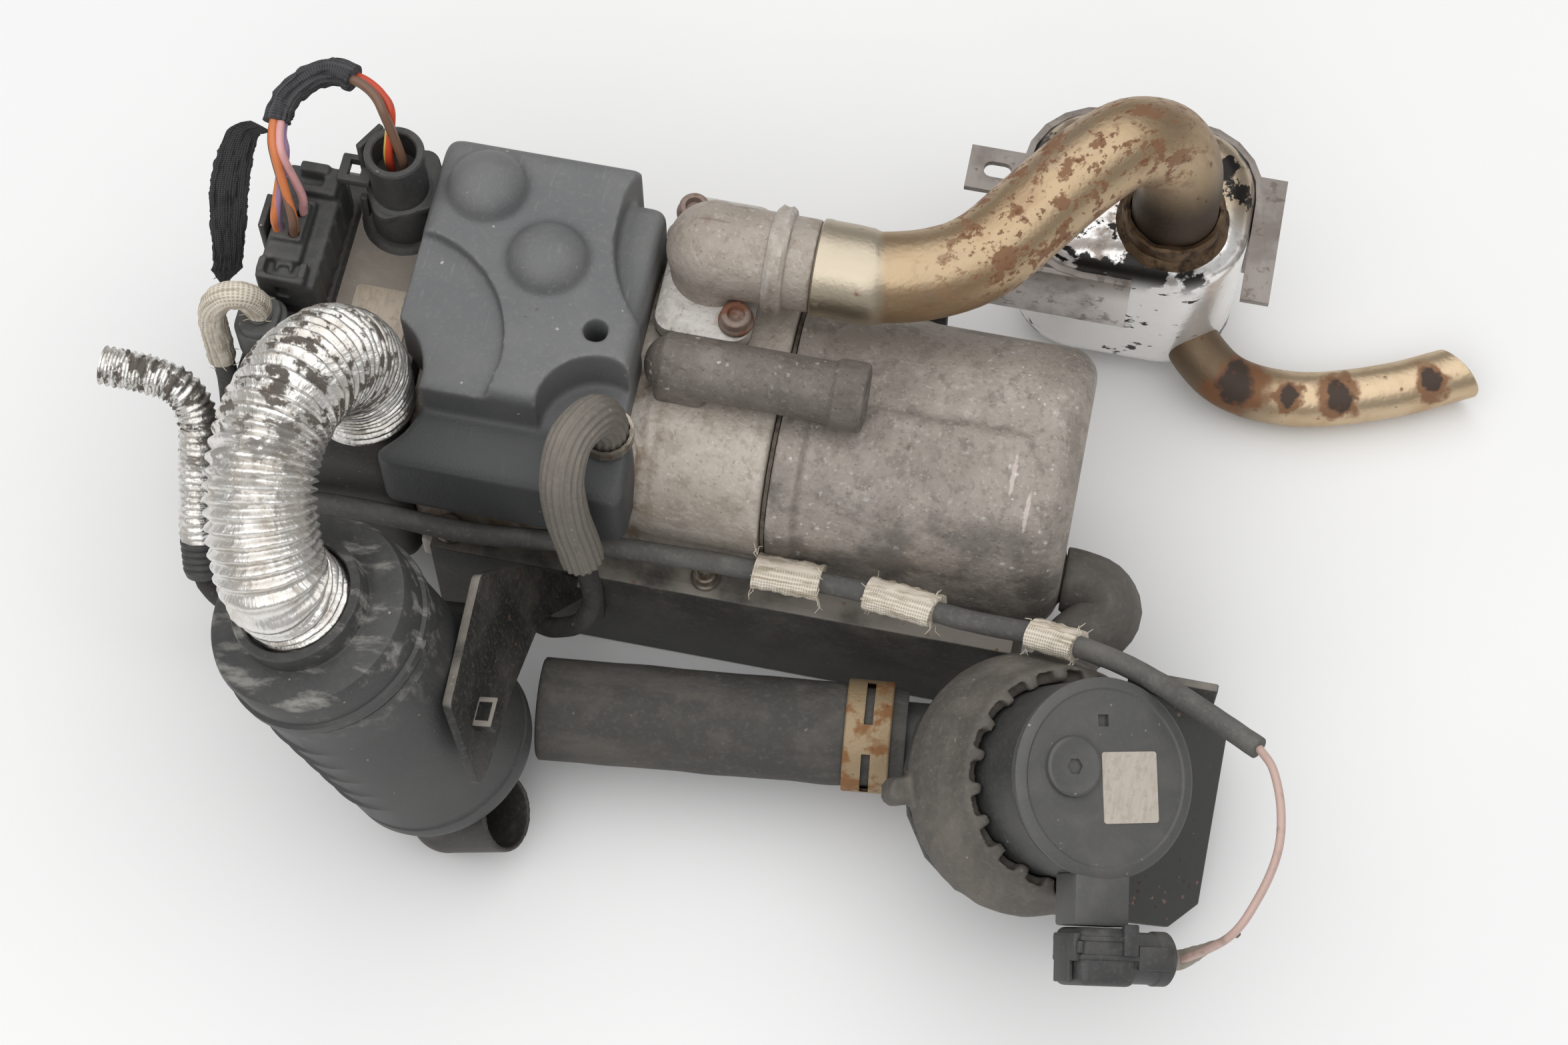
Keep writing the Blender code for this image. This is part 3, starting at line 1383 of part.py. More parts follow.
def muffler():
    """The silencer can with its neck, the baffle inside, the band and the tail pipe."""
    where = at(MUFFLER_X, MUFFLER_Y, 0)
    top = MUFFLER_BOTTOM + MUFFLER_HEIGHT
    body = slab([muffler_outline(0)], MUFFLER_BOTTOM, top)
    round_end(body, MUFFLER_ROUND, top)
    round_end(body, MUFFLER_ROUND, MUFFLER_BOTTOM)
    shell = add("muffler_shell", body, BRIGHT_STEEL, where)
    neck_bore = PIPE_RADIUS + 2 * GAP
    neck = rod(neck_bore + NECK_WALL, top - 2 * MUFFLER_WALL, top + NECK_HEIGHT, COARSE)
    join(shell, tool(neck, at(NECK_X, NECK_Y, 0)))
    hollow = slab([muffler_outline(MUFFLER_WALL)], MUFFLER_BOTTOM + MUFFLER_WALL, top - MUFFLER_WALL)
    round_end(hollow, MUFFLER_ROUND - MUFFLER_WALL, top - MUFFLER_WALL)
    round_end(hollow, MUFFLER_ROUND - MUFFLER_WALL, MUFFLER_BOTTOM + MUFFLER_WALL)
    tail = tail_route()[:4]
    cut(
        shell,
        tool(hollow, where),
        tool(rod(neck_bore, top - 3 * MUFFLER_WALL, top + 2 * NECK_HEIGHT), at(NECK_X, NECK_Y, 0)),
        tool(evaluated_mesh(tube_curve(longer(tail, OVERRUN), TAIL_RADIUS + GAP, 12))),
    )
    baffle_holes = [
        circle(BAFFLE_HOLE_RADIUS, SMALL, (side * MUFFLER_HALF_X / 2, 0)) for side in (-1, 1)
    ]
    low = MUFFLER_BOTTOM + BAFFLE_HEIGHT
    baffle = slab(
        [muffler_outline(MUFFLER_WALL + GAP), *baffle_holes], low, low + BAFFLE_THICKNESS
    )
    add("muffler_baffle", baffle, BRIGHT_STEEL, where)
    muffler_bracket(where)
    tail_pipe()


def muffler_bracket(where):
    """The band round the silencer, with its rail, its slotted hanger and the arm to the frame."""
    band_top = BAND_LOW + BAND_HEIGHT
    outer = muffler_outline(-GAP - BAND_THICKNESS)
    inner = muffler_outline(-GAP)
    bracket = add("muffler_bracket", slab([outer, inner], BAND_LOW, band_top), GREY_STEEL, where)
    front = box(
        (MUFFLER_X + BAND_THICKNESS, arm_near() - OVERRUN, 0),
        (MUFFLER_X + 2 * MUFFLER_HALF_X, MUFFLER_Y - BAND_OPENING, COVER_TOP),
    )
    cut(bracket, tool(front))
    edge = MUFFLER_HALF_X + GAP
    rail = box(
        (MUFFLER_X + edge, MUFFLER_Y - MUFFLER_HALF_Y, band_top - BAND_THICKNESS),
        (
            MUFFLER_X + edge + RAIL_WIDTH,
            MUFFLER_Y - MUFFLER_HALF_Y + RAIL_LENGTH,
            band_top,
        ),
    )
    hanger = box(
        (MUFFLER_X - edge - HANGER_LENGTH, HANGER_Y - HANGER_WIDTH / 2, band_top - BAND_THICKNESS),
        (MUFFLER_X - edge, HANGER_Y + HANGER_WIDTH / 2, band_top),
    )
    slot = rounded_box(
        HANGER_SLOT_LENGTH / 2, HANGER_SLOT_WIDTH / 2, HANGER_SLOT_WIDTH / 2 - GAP, 3
    )
    slot_place = at(MUFFLER_X - edge - HANGER_LENGTH / 2, HANGER_Y, 0)
    join(bracket, tool(rail), tool(hanger), tool(muffler_arm()))
    inner_space = slab([inner], 0, band_top + OVERRUN)
    cut(
        bracket,
        tool(slab([slot], band_top - 2 * BAND_THICKNESS, band_top + OVERRUN), slot_place),
        tool(inner_space, where),
    )


def arm_near():
    """The near face of the band's front, and of the arm that carries it on to the left."""
    return MUFFLER_Y - MUFFLER_HALF_Y - GAP - BAND_THICKNESS


def muffler_arm():
    """The flat arm from the frame's upstand to the front of the band."""
    return box(
        (UPSTAND_LEFT, arm_near(), BAND_LOW + GAP),
        (MUFFLER_X - OVERRUN, arm_near() + BAND_THICKNESS - GAP, BAND_LOW + BAND_HEIGHT - GAP),
    )


def tail_route():
    return smooth_route(TAIL_KNOTS, TAIL_RADIUS / 1.25)


def tail_pipe():
    """The tail pipe from the silencer's lower corner, its end cut at a slant."""
    points = tail_route()
    tail = pipe("tail_pipe", points, TAIL_RADIUS, TAIL_WALL, GOLD_STEEL, 12)
    end = points[-1]
    heading = (points[-1] - points[-2]).normalized()
    slant = Matrix.Rotation(math.radians(TAIL_CUT_ANGLE), 4, "Y")
    wide = 2 * TAIL_RADIUS
    block = box((-wide, -wide, 0), (wide, wide, 2 * wide))
    lean = TAIL_RADIUS * math.tan(math.radians(TAIL_CUT_ANGLE))
    knife = frame_along(end - heading * (lean + GAP), heading, (0, -1, 0)) @ slant
    cut(tail, tool(block, knife))


def air_intake():
    """Foil hose, tilted silencer with its lid and nozzle, and the strap that carries it."""
    turn = Matrix.Rotation(-math.radians(SILENCER_TILT), 4, "Y")
    silencer = empty("silencer_frame", Matrix.Translation(Vector(SILENCER_BASE)) @ turn)
    wall = SILENCER_RADIUS - SILENCER_WALL
    profile = (
        (0, SILENCER_WALL),
        (wall - SILENCER_WALL, SILENCER_WALL),
        (wall, 2.5 * SILENCER_WALL),
        (wall, SILENCER_HEIGHT),
        (SILENCER_RADIUS, SILENCER_HEIGHT),
        (SILENCER_RADIUS, 2 * SILENCER_WALL),
        (wall, 0),
        (0, 0),
    )
    body = turned("silencer_body", profile, BLACK_PLASTIC, parent=silencer)
    hole = rod(STUB_BORE, -OVERRUN, 3 * SILENCER_WALL)
    cut(body, tool(hole, at(NOZZLE_X, NOZZLE_Y, 0), silencer))
    silencer_lid(silencer)
    intake_nozzle(silencer)
    silencer_bracket(silencer)
    bpy.context.view_layer.update()
    seat = lid_seat() + GAP
    end = silencer.matrix_world @ Vector((0, 0, seat))
    straight = [
        silencer.matrix_world @ Vector((0, 0, seat + share * HOSE_RADIUS)) for share in (1.2, 0.6)
    ]
    start = Vector((SPIGOT_X, SPIGOT_Y, BLOWER_TOP + GAP))
    knots = [start, *HOSE_KNOTS, *straight, end]
    ribbed_hose(
        "intake_hose", knots, HOSE_RADIUS, HOSE_RIB_DEPTH, HOSE_BORE, HOSE_RIBS, FOIL
    )


def lid_seat():
    """The height of the ledge in the lid's collar that the hose stands on."""
    return SILENCER_HEIGHT + GAP + LID_HEIGHT + LID_COLLAR_HEIGHT - LID_SEAT_DEPTH


def silencer_lid(silencer):
    low = SILENCER_HEIGHT + GAP
    shoulder = low + LID_HEIGHT
    top = shoulder + LID_COLLAR_HEIGHT
    inner = SILENCER_RADIUS - SILENCER_WALL
    throat = HOSE_BORE
    profile = (
        (LID_COLLAR_RADIUS, top),
        (LID_COLLAR_RADIUS, shoulder),
        (SILENCER_RADIUS - SILENCER_WALL, shoulder),
        (SILENCER_RADIUS, shoulder - SILENCER_WALL),
        (SILENCER_RADIUS, low),
        (inner, low),
        (inner, shoulder - 2 * SILENCER_WALL),
        (throat, shoulder - SILENCER_WALL),
        (throat, lid_seat()),
        (HOSE_RADIUS + 3 * GAP, lid_seat()),
        (HOSE_RADIUS + 3 * GAP, top),
    )
    turned("silencer_lid", profile, BLACK_PLASTIC, parent=silencer, closed=True)


def intake_nozzle(silencer):
    """The inlet: a stub under the silencer and an open barrel turned to the side."""
    joint = at(NOZZLE_X, NOZZLE_Y, -NOZZLE_DROP)
    rise = Matrix.Rotation(math.radians(90 - NOZZLE_RISE), 4, "Y")
    nozzle = add("intake_nozzle", ball(NOZZLE_RADIUS), BLACK_PLASTIC, joint, silencer)
    join(
        nozzle,
        tool(rod(NOZZLE_RADIUS * 0.99, 0, NOZZLE_LENGTH, COARSE), joint @ rise, silencer),
        tool(rod(STUB_RADIUS, 0, NOZZLE_DROP - GAP, COARSE), joint, silencer),
    )
    cut(
        nozzle,
        tool(rod(NOZZLE_BORE, 0, NOZZLE_LENGTH + OVERRUN, COARSE), joint @ rise, silencer),
        tool(rod(STUB_BORE, 0, NOZZLE_DROP + OVERRUN, COARSE), joint, silencer),
    )


def silencer_bracket(silencer):
    """The strap beside the silencer, its folded lip, and the foot against the frame's web."""
    near_x = SILENCER_RADIUS + GAP
    far_y = FRAME_NEAR - GAP - SILENCER_BASE[1]
    outline = [
        (STRAP_NEAR, 0.032),
        (0.006, 0.026),
        (0.030, 0.020),
        (far_y - GAP, -0.004),
        (far_y - GAP, 0.006),
        (0.038, 0.038),
        (0.025, 0.058),
        (-0.011, 0.056),
    ]
    across = at(near_x, 0, 0) @ TURN_X
    strap = add(
        "silencer_bracket", slab([outline], 0, STRAP_THICKNESS), DARK_STEEL, across, silencer
    )
    lip_turn = at(0, STRAP_NEAR, 0.033) @ Matrix.Rotation(math.radians(STRAP_LIP_LEAN), 4, "X")
    lip = box(
        (near_x + GAP, 0, 0),
        (near_x + STRAP_THICKNESS + STRAP_LIP, STRAP_THICKNESS, 0.024),
    )
    foot = box(
        (STRAP_FOOT_X, FRAME_NEAR - GAP - SHEET, FRAME_HEIGHT / 2),
        (STRAP_FOOT_X + STRAP_FOOT_LENGTH, FRAME_NEAR - GAP, FRAME_HEIGHT - SHEET),
    )
    join(strap, tool(lip, lip_turn, silencer), tool(foot))


def fuel_lines():
    """Port, spring clip, U-shaped hose, thin pipe, and the foil sleeve with the line in it."""
    seat = BURNER_TOP + GAP
    hex_top = seat + FUEL_HEX_HEIGHT
    port = add(
        "fuel_port", rod(FUEL_HEX_RADIUS, seat, hex_top, 6), BRASS, at(FUEL_PORT_X, FUEL_PORT_Y, 0)
    )
    fit = bore_fit(FUEL_HOSE_RADIUS, FUEL_HOSE_WALL, 8)
    nipple = rod(fit, hex_top - GAP, hex_top + FUEL_NIPPLE_HEIGHT, SMALL)
    join(port, tool(nipple, at(FUEL_PORT_X, FUEL_PORT_Y, 0)))
    start = Vector((FUEL_PORT_X, FUEL_PORT_Y, hex_top + GAP))
    points = led_route([start, *FUEL_KNOTS, FUEL_HOSE_END], FUEL_HOSE_RADIUS / 1.2)
    pipe("fuel_hose", points, FUEL_HOSE_RADIUS, FUEL_HOSE_WALL, GREY_RUBBER, 8)
    clip_inner = FUEL_HOSE_RADIUS + 2 * GAP
    clip_low = SKIRT_TOP + GAP
    clip = slab(
        [circle(clip_inner + CLIP_THICKNESS), circle(clip_inner)], clip_low, clip_low + CLIP_WIDTH
    )
    add("fuel_clip", clip, BRIGHT_STEEL, at(FUEL_PORT_X, FUEL_PORT_Y, 0))
    end = Vector(FUEL_HOSE_END)
    heading = (points[-1] - points[-2]).normalized()
    fitting_mouth = Vector(FITTING_BOTTOM) + fitting_heading() * GAP
    below_mouth = fitting_mouth + fitting_heading() * 2 * FUEL_PIPE_RADIUS
    knots = [end + heading * GAP, *FUEL_PIPE_KNOTS, below_mouth, fitting_mouth]
    tube("fuel_pipe", knots, FUEL_PIPE_RADIUS, BLACK_PLASTIC, spacing=2.2 * FUEL_PIPE_RADIUS)
    sleeve()


def fitting_heading():
    return (Vector(FITTING_BOTTOM) - Vector(FITTING_TOP)).normalized()


def sleeve():
    """The ribbed foil sleeve, the fuel line inside it and the fitting under it."""
    heading = fitting_heading()
    length = (Vector(FITTING_BOTTOM) - Vector(FITTING_TOP)).length
    add(
        "sleeve_fitting",
        rod(FITTING_RADIUS, 0, length, SMALL),
        BLACK_PLASTIC,
        frame_along(FITTING_TOP, heading),
    )
    mouth = Vector(FITTING_TOP) - heading * GAP
    knots = [mouth, mouth - heading * FITTING_RADIUS, *FOIL_KNOTS, FOIL_END]
    ribbed_hose(
        "foil_sleeve", knots, FOIL_RADIUS, FOIL_RIB_DEPTH, FOIL_BORE, FOIL_RIBS, FOIL
    )
    points = smooth_route(knots, FUEL_LINE_RADIUS * 2)
    pipe("fuel_line", points, FUEL_LINE_RADIUS, FUEL_LINE_WALL, GREY_RUBBER, 6)


def coolant_pump():
    """The pump, stacked along its own tilted axis from cap to volute."""
    pump = empty("pump_frame", frame_along(PUMP_TOP, PUMP_AXIS))
    pump_cap(pump)
    pump_motor(pump)
    pump_mount(pump)
    pump_volute(pump)
    pump_rotor(pump)
    pump_plug(pump)
    pump_plate(pump)
    return pump


def pump_cap(pump):
    """The round cap with its boss, and the socket arm at its rim."""
    cap = add("pump_cap", rod(CAP_RADIUS, -CAP_THICKNESS, 0, FINE), BLACK_PLASTIC, parent=pump)
    arm_near = -CAP_RADIUS - SOCKET_REACH
    arm = box(
        (-SOCKET_WIDTH / 2, arm_near, -SOCKET_HEIGHT),
        (SOCKET_WIDTH / 2, -CAP_RADIUS - GAP, -GAP),
    )
    bridge = box(
        (-SOCKET_WIDTH / 2, arm_near + SOCKET_REACH / 2, -CAP_THICKNESS),
        (SOCKET_WIDTH / 2, -CAP_RADIUS / 2, -2 * GAP),
    )
    boss = rod(CAP_BOSS_RADIUS, -CAP_THICKNESS / 2, CAP_BOSS_HEIGHT)
    join(
        cap,
        tool(arm, plug_turn(), pump),
        tool(bridge, plug_turn(), pump),
        tool(boss, at(CAP_BOSS_X, CAP_BOSS_Y, 0), pump),
    )
    hex_hole = rod(CAP_HEX_RADIUS, -CAP_THICKNESS / 2, 2 * CAP_BOSS_HEIGHT, 6)
    cut(cap, tool(hex_hole, at(CAP_BOSS_X, CAP_BOSS_Y, 0), pump))


def motor_top():
    return -CAP_THICKNESS - GAP


def motor_bottom():
    return motor_top() - PUMP_MOTOR_LENGTH


def pump_motor(pump):
    """The motor's can, open at the bottom where the rotor goes in."""
    inner = PUMP_MOTOR_RADIUS - PUMP_MOTOR_WALL
    profile = (
        (0, motor_top()),
        (PUMP_MOTOR_RADIUS, motor_top()),
        (PUMP_MOTOR_RADIUS, motor_bottom()),
        (inner, motor_bottom()),
        (inner, motor_top() - PUMP_MOTOR_WALL),
        (0, motor_top() - PUMP_MOTOR_WALL),
    )
    turned("pump_motor", profile, BLACK_PLASTIC, parent=pump)


def pump_mount(pump):
    """The stepped rubber ring that the pump hangs in, with its slotted lip."""
    bore = PUMP_MOTOR_RADIUS + GAP
    plate_top = -MOUNT_PLATE_DEPTH
    plate_bottom = plate_top - PUMP_PLATE_THICKNESS - 2 * GAP
    lip_bottom = -MOUNT_TOP - MOUNT_LIP_HEIGHT
    profile = (
        (MOUNT_LIP_RADIUS - SHEET, -MOUNT_TOP),
        (MOUNT_LIP_RADIUS, lip_bottom),
        (MOUNT_RADIUS - SHEET, lip_bottom - SHEET),
        (MOUNT_RADIUS, lip_bottom - 3 * SHEET),
        (MOUNT_RADIUS, plate_top + SHEET),
        (MOUNT_RADIUS - SHEET, plate_top),
        (MOUNT_NECK, plate_top),
        (MOUNT_NECK, plate_bottom),
        (MOUNT_LOWER_RADIUS, plate_bottom),
        (MOUNT_LOWER_RADIUS, plate_bottom - MOUNT_LOWER),
        (bore, plate_bottom - MOUNT_LOWER),
        (bore, -MOUNT_TOP),
    )
    turned("pump_rubber_mount", profile, RUBBER, parent=pump, closed=True)


def volute_top():
    return motor_bottom() - GAP


def volute_middle():
    return volute_top() - VOLUTE_LENGTH / 2


def coolant_heading():
    """The straight coolant hose's direction, from its left end to the pump."""
    return (Vector(COOLANT_RIGHT) - Vector(COOLANT_LEFT)).normalized()


def pump_volute(pump):
    """The pump's lower housing with the inlet nozzle and the outlet nozzle."""
    top = volute_top()
    bottom = top - VOLUTE_LENGTH
    shell = rod(VOLUTE_RADIUS, bottom, top, FINE)
    volute = add("pump_volute", shell, BLACK_PLASTIC, parent=pump)
    inlet = frame_along(COOLANT_RIGHT, coolant_heading())
    inlet_radius = bore_fit(COOLANT_RADIUS, COOLANT_WALL, 12)
    outlet_radius = bore_fit(ELBOW_HOSE_RADIUS, ELBOW_HOSE_WALL, 12)
    outlet_reach = OUTLET_NOZZLE_REACH
    outlet = at(OUTLET_NOZZLE_U, 0, volute_middle()) @ TURN_Y
    join(
        volute,
        tool(rod(inlet_radius, -CLAMP_WIDTH - CLAMP_PLACE / 2, VOLUTE_RADIUS / 2, COARSE), inlet),
        tool(rod(outlet_radius, VOLUTE_RADIUS / 3, outlet_reach, COARSE), outlet, pump),
    )
    room = rod(VOLUTE_RADIUS - VOLUTE_WALL, bottom + VOLUTE_WALL, top + OVERRUN, FINE)
    inlet_bore = rod(
        inlet_radius - VOLUTE_NOZZLE_WALL, -4 * CLAMP_WIDTH, VOLUTE_RADIUS / 2 - VOLUTE_WALL, SMALL
    )
    outlet_bore = rod(
        outlet_radius - VOLUTE_NOZZLE_WALL, VOLUTE_RADIUS / 3, outlet_reach + OVERRUN, SMALL
    )
    cut(
        volute,
        tool(room, parent=pump),
        tool(inlet_bore, inlet),
        tool(outlet_bore, outlet, pump),
    )
    pin = rod(ROTOR_PIN_RADIUS, bottom + VOLUTE_WALL / 2, bottom + ROTOR_PIN_HEIGHT, SMALL)
    join(volute, tool(pin, parent=pump))


def pump_rotor(pump):
    """Magnet drum, shaft and impeller, turning on the volute's pin."""
    low = volute_top() - VOLUTE_LENGTH + VOLUTE_WALL + 3 * GAP
    disc_top = volute_top() - 2 * VOLUTE_WALL
    drum_low = volute_top() + 2 * VOLUTE_WALL
    drum_top = motor_top() - PUMP_MOTOR_WALL - GAP
    profile = (
        (0, drum_top),
        (ROTOR_SHAFT_RADIUS, drum_top),
        (ROTOR_SHAFT_RADIUS, drum_top - 2 * VOLUTE_WALL),
        (ROTOR_RADIUS, drum_top - 2 * VOLUTE_WALL),
        (ROTOR_RADIUS, drum_low),
        (2 * ROTOR_SHAFT_RADIUS, drum_low),
        (2 * ROTOR_SHAFT_RADIUS, disc_top),
        (ROTOR_IMPELLER_RADIUS, disc_top),
        (ROTOR_IMPELLER_RADIUS, disc_top - VOLUTE_WALL / 2),
        (2 * ROTOR_SHAFT_RADIUS, disc_top - VOLUTE_WALL / 2),
        (2 * ROTOR_SHAFT_RADIUS, low),
        (0, low),
    )
    rotor = turned("pump_rotor", profile, GREY_PLASTIC, parent=pump, sides=COARSE)
    for index in range(ROTOR_BLADES):
        turn = Matrix.Rotation(2 * math.pi * index / ROTOR_BLADES, 4, "Z")
        blade = box(
            (ROTOR_SHAFT_RADIUS, -VANE_THICKNESS / 2, low + GAP),
            (ROTOR_IMPELLER_RADIUS - GAP, VANE_THICKNESS / 2, disc_top - VOLUTE_WALL / 4),
        )
        join(rotor, tool(blade, turn, pump))
    hole = rod(ROTOR_PIN_RADIUS + SHAFT_CLEARANCE, low - OVERRUN, low + ROTOR_PIN_HEIGHT)
    cut(rotor, tool(hole, parent=pump))


def plug_turn():
    """The socket and its plug stand at this turn round the pump's axis."""
    return Matrix.Rotation(math.radians(PLUG_TURN), 4, "Z")


def plug_near():
    return -CAP_RADIUS - SOCKET_REACH - GAP


def pump_plug(pump):
    """The angled plug on the socket, and its sprung latch."""
    far = plug_near()
    near = far - PLUG_DEPTH
    top = PLUG_HEIGHT - SOCKET_HEIGHT
    plug = add(
        "pump_plug",
        box((-PLUG_WIDTH / 2, near, -SOCKET_HEIGHT), (PLUG_WIDTH / 2, far, top)),
        BLACK_PLASTIC,
        plug_turn(),
        pump,
    )
    arm = box(
        (0, near + SHEET / 2, -SOCKET_HEIGHT + SHEET / 2),
        (PLUG_WIDTH / 2 + PLUG_ARM_LENGTH, far - SHEET / 2, top - SHEET / 2),
    )
    join(plug, tool(arm, plug_turn(), pump))
    bevelled(plug, SHEET / 2, 1)
    x = -PLUG_WIDTH / 2 - GAP
    hinge = at(x - PUMP_LATCH_THICKNESS / 2, near + PUMP_LATCH_THICKNESS, (top - SOCKET_HEIGHT) / 2)
    half = PLUG_HEIGHT / 4
    latch = box(
        (-PUMP_LATCH_THICKNESS / 2, -PUMP_LATCH_THICKNESS / 2, -half),
        (PUMP_LATCH_THICKNESS / 2, PUMP_LATCH_LENGTH, half),
    )
    add("pump_plug_latch", latch, BLACK_PLASTIC, plug_turn() @ hinge, pump)


def pump_plate(pump):
    """The sheet that the rubber mount sits in, from the frame's web out past the pump."""
    plate_top = -MOUNT_PLATE_DEPTH - GAP
    web_y = FRAME_NEAR - GAP - PUMP_PLATE_THICKNESS * PUMP_SLOPE - PUMP_TOP[1]
    frame = frame_along((0, 0, 0), PUMP_AXIS)
    x_axis, y_axis, z_axis = (frame.to_3x3().col[i] for i in range(3))

    def web_edge(u):
        """The place on the plate, at this u, that meets the web's face."""
        depth = plate_top
        return (web_y - z_axis.y * depth - x_axis.y * u) / y_axis.y

    outline = [
        (PUMP_PLATE_ROUND * math.cos(angle), PUMP_PLATE_ROUND * math.sin(angle))
        for angle in (math.radians(60 + 21 * step) for step in range(11))
    ]
    corner = 0.008
    outline += [
        (PUMP_PLATE_RIGHT - corner, PUMP_PLATE_NEAR),
        (PUMP_PLATE_RIGHT, PUMP_PLATE_NEAR + corner),
        (PUMP_PLATE_RIGHT, PUMP_PLATE_FAR),
        (PUMP_PLATE_RIGHT - 2 * corner, web_edge(PUMP_PLATE_RIGHT - 2 * corner)),
        (PUMP_PLATE_ROUND - corner, web_edge(PUMP_PLATE_ROUND - corner)),
    ]
    hole = circle(MOUNT_NECK + GAP, 2 * COARSE)
    plate = slab([outline, hole], plate_top - PUMP_PLATE_THICKNESS, plate_top)
    add("pump_bracket", plate, RUSTY_STEEL, parent=pump)


def coolant_hoses(pump):
    """The straight inlet hose with its clamp, and the elbow hose up to the jacket."""
    right = Vector(COOLANT_RIGHT)
    left = Vector(COOLANT_LEFT)
    steps = 8
    points = [left.lerp(right, step / steps) for step in range(steps + 1)]
    pipe("coolant_hose", points, COOLANT_RADIUS, COOLANT_WALL, RUBBER, 12)
    inner = COOLANT_RADIUS + GAP
    clamp_frame = frame_along(right - coolant_heading() * CLAMP_PLACE, coolant_heading(), (0, 0, 1))
    clamp = slab(
        [circle(inner + CLAMP_THICKNESS, FINE), circle(inner, FINE)],
        -CLAMP_WIDTH / 2,
        CLAMP_WIDTH / 2,
    )
    add("hose_clamp", clamp, RUSTY_STEEL, clamp_frame)
    bpy.context.view_layer.update()
    first = pump.matrix_world @ Vector((OUTLET_NOZZLE_U, ELBOW_HOSE_START, volute_middle()))
    second = pump.matrix_world @ Vector((OUTLET_NOZZLE_U, OUTLET_NOZZLE_REACH, volute_middle()))
    last = Vector((JACKET_RIGHT + 2 * GAP, JACKET_NOZZLE_Y, JACKET_NOZZLE_Z))
    knots = [first, second, *ELBOW_HOSE_KNOTS, last]
    points = led_route(knots, ELBOW_HOSE_RADIUS / 2.2)
    pipe("elbow_hose", points, ELBOW_HOSE_RADIUS, ELBOW_HOSE_WALL, RUBBER, 12)


def main_bracket():
    """The long frame: base sheet, near web and flange, with the upstand for the silencer's arm."""
    near = FRAME_NEAR
    inner = near + SHEET
    top = FRAME_HEIGHT
    section = [
        (FRAME_FAR, 0),
        (FRAME_FAR, SHEET),
        (inner, SHEET),
        (inner, top - SHEET),
        (inner + FRAME_FLANGE, top - SHEET),
        (inner + FRAME_FLANGE, top),
        (near, top),
        (near, 0),
    ]
    beam = slab([section], FRAME_LEFT, FRAME_RIGHT)
    bracket = add("main_bracket", beam, DARK_STEEL, TURN_X)
    far = arm_near() - GAP
    tab = box((UPSTAND_LEFT, FRAME_FAR - OVERRUN, 0), (UPSTAND_RIGHT, far, SHEET))
    upstand = box((UPSTAND_LEFT, far - SHEET, 0), (UPSTAND_RIGHT, far, UPSTAND_TOP))
    join(bracket, tool(tab), tool(upstand))
    over = FRAME_HEIGHT + OVERRUN
    holes = [
        tool(
            rod(FRAME_BOLT_SHANK + BOLT_CLEARANCE, top - 2 * SHEET, over, SMALL),
            at(x, frame_bolt_y(), 0),
        )
        for x in (LEFT_LUG_X, RIGHT_LUG_X)
    ]
    notch = box((NOTCH_LEFT, near - OVERRUN, NOTCH_BOTTOM), (NOTCH_RIGHT, 0, over))
    web_only = box(
        (BASE_RIGHT, inner, -OVERRUN), (FRAME_RIGHT + OVERRUN, FRAME_FAR + OVERRUN, over)
    )
    cut(bracket, tool(notch), tool(web_only), *holes)
    for name, x in (("bracket_bolt_left", LEFT_LUG_X), ("bracket_bolt_right", RIGHT_LUG_X)):
        seat = at(x, frame_bolt_y(), top + GAP)
        bolt(name, seat, FRAME_BOLT_HEAD, FRAME_BOLT_SHANK, BRIGHT_STEEL)


def plug_latch(name, where, length, width):
    """A sprung latch, its origin on its hinge line at the lower end."""
    lever = box((-LATCH_THICKNESS / 2, -width / 2, 0), (LATCH_THICKNESS / 2, width / 2, length))
    add(name, lever, BLACK_PLASTIC, where)


def plugs():
    """The three plugs on the blower housing, each with a socket collar under it."""
    seat = BLOWER_TOP + GAP
    half_x = MAIN_PLUG_WIDTH / 2
    half_y = MAIN_PLUG_LENGTH / 2
    main = add(
        "main_plug",
        box((-half_x, -half_y, 0), (half_x, half_y, MAIN_PLUG_HEIGHT)),
        BLACK_PLASTIC,
        at(MAIN_PLUG_X, MAIN_PLUG_Y, seat),
    )
    bevelled(main, SHEET / 2, 1)
    latch_z = seat + MAIN_PLUG_HEIGHT - MAIN_LATCH_LENGTH
    latch_x = MAIN_PLUG_X - half_x - GAP - LATCH_THICKNESS / 2
    plug_latch(
        "main_plug_latch", at(latch_x, MAIN_PLUG_Y, latch_z), MAIN_LATCH_LENGTH, MAIN_LATCH_WIDTH
    )
    collar = ROUND_PLUG_RADIUS
    neck = 0.82 * collar
    profile = (
        (0, ROUND_PLUG_HEIGHT),
        (neck, ROUND_PLUG_HEIGHT),
        (neck, ROUND_COLLAR_HEIGHT),
        (collar, ROUND_COLLAR_HEIGHT),
        (collar, 0),
        (0, 0),
    )
    turned("round_plug", profile, BLACK_PLASTIC, at(ROUND_PLUG_X, ROUND_PLUG_Y, seat), sides=COARSE)
    side = Matrix.Rotation(math.radians(150), 4, "Z")
    out = at(neck + GAP + LATCH_THICKNESS / 2 + LATCH_SPACE / 4, 0, ROUND_COLLAR_HEIGHT + GAP)
    plug_latch(
        "round_plug_latch",
        at(ROUND_PLUG_X, ROUND_PLUG_Y, seat) @ side @ out,
        ROUND_LATCH_LENGTH,
        ROUND_LATCH_WIDTH,
    )
    add(
        "sensor_plug",
        rod(SENSOR_PLUG_RADIUS, 0, SENSOR_PLUG_HEIGHT),
        GREY_PLASTIC,
        at(SENSOR_PLUG_X, SENSOR_PLUG_Y, seat),
    )


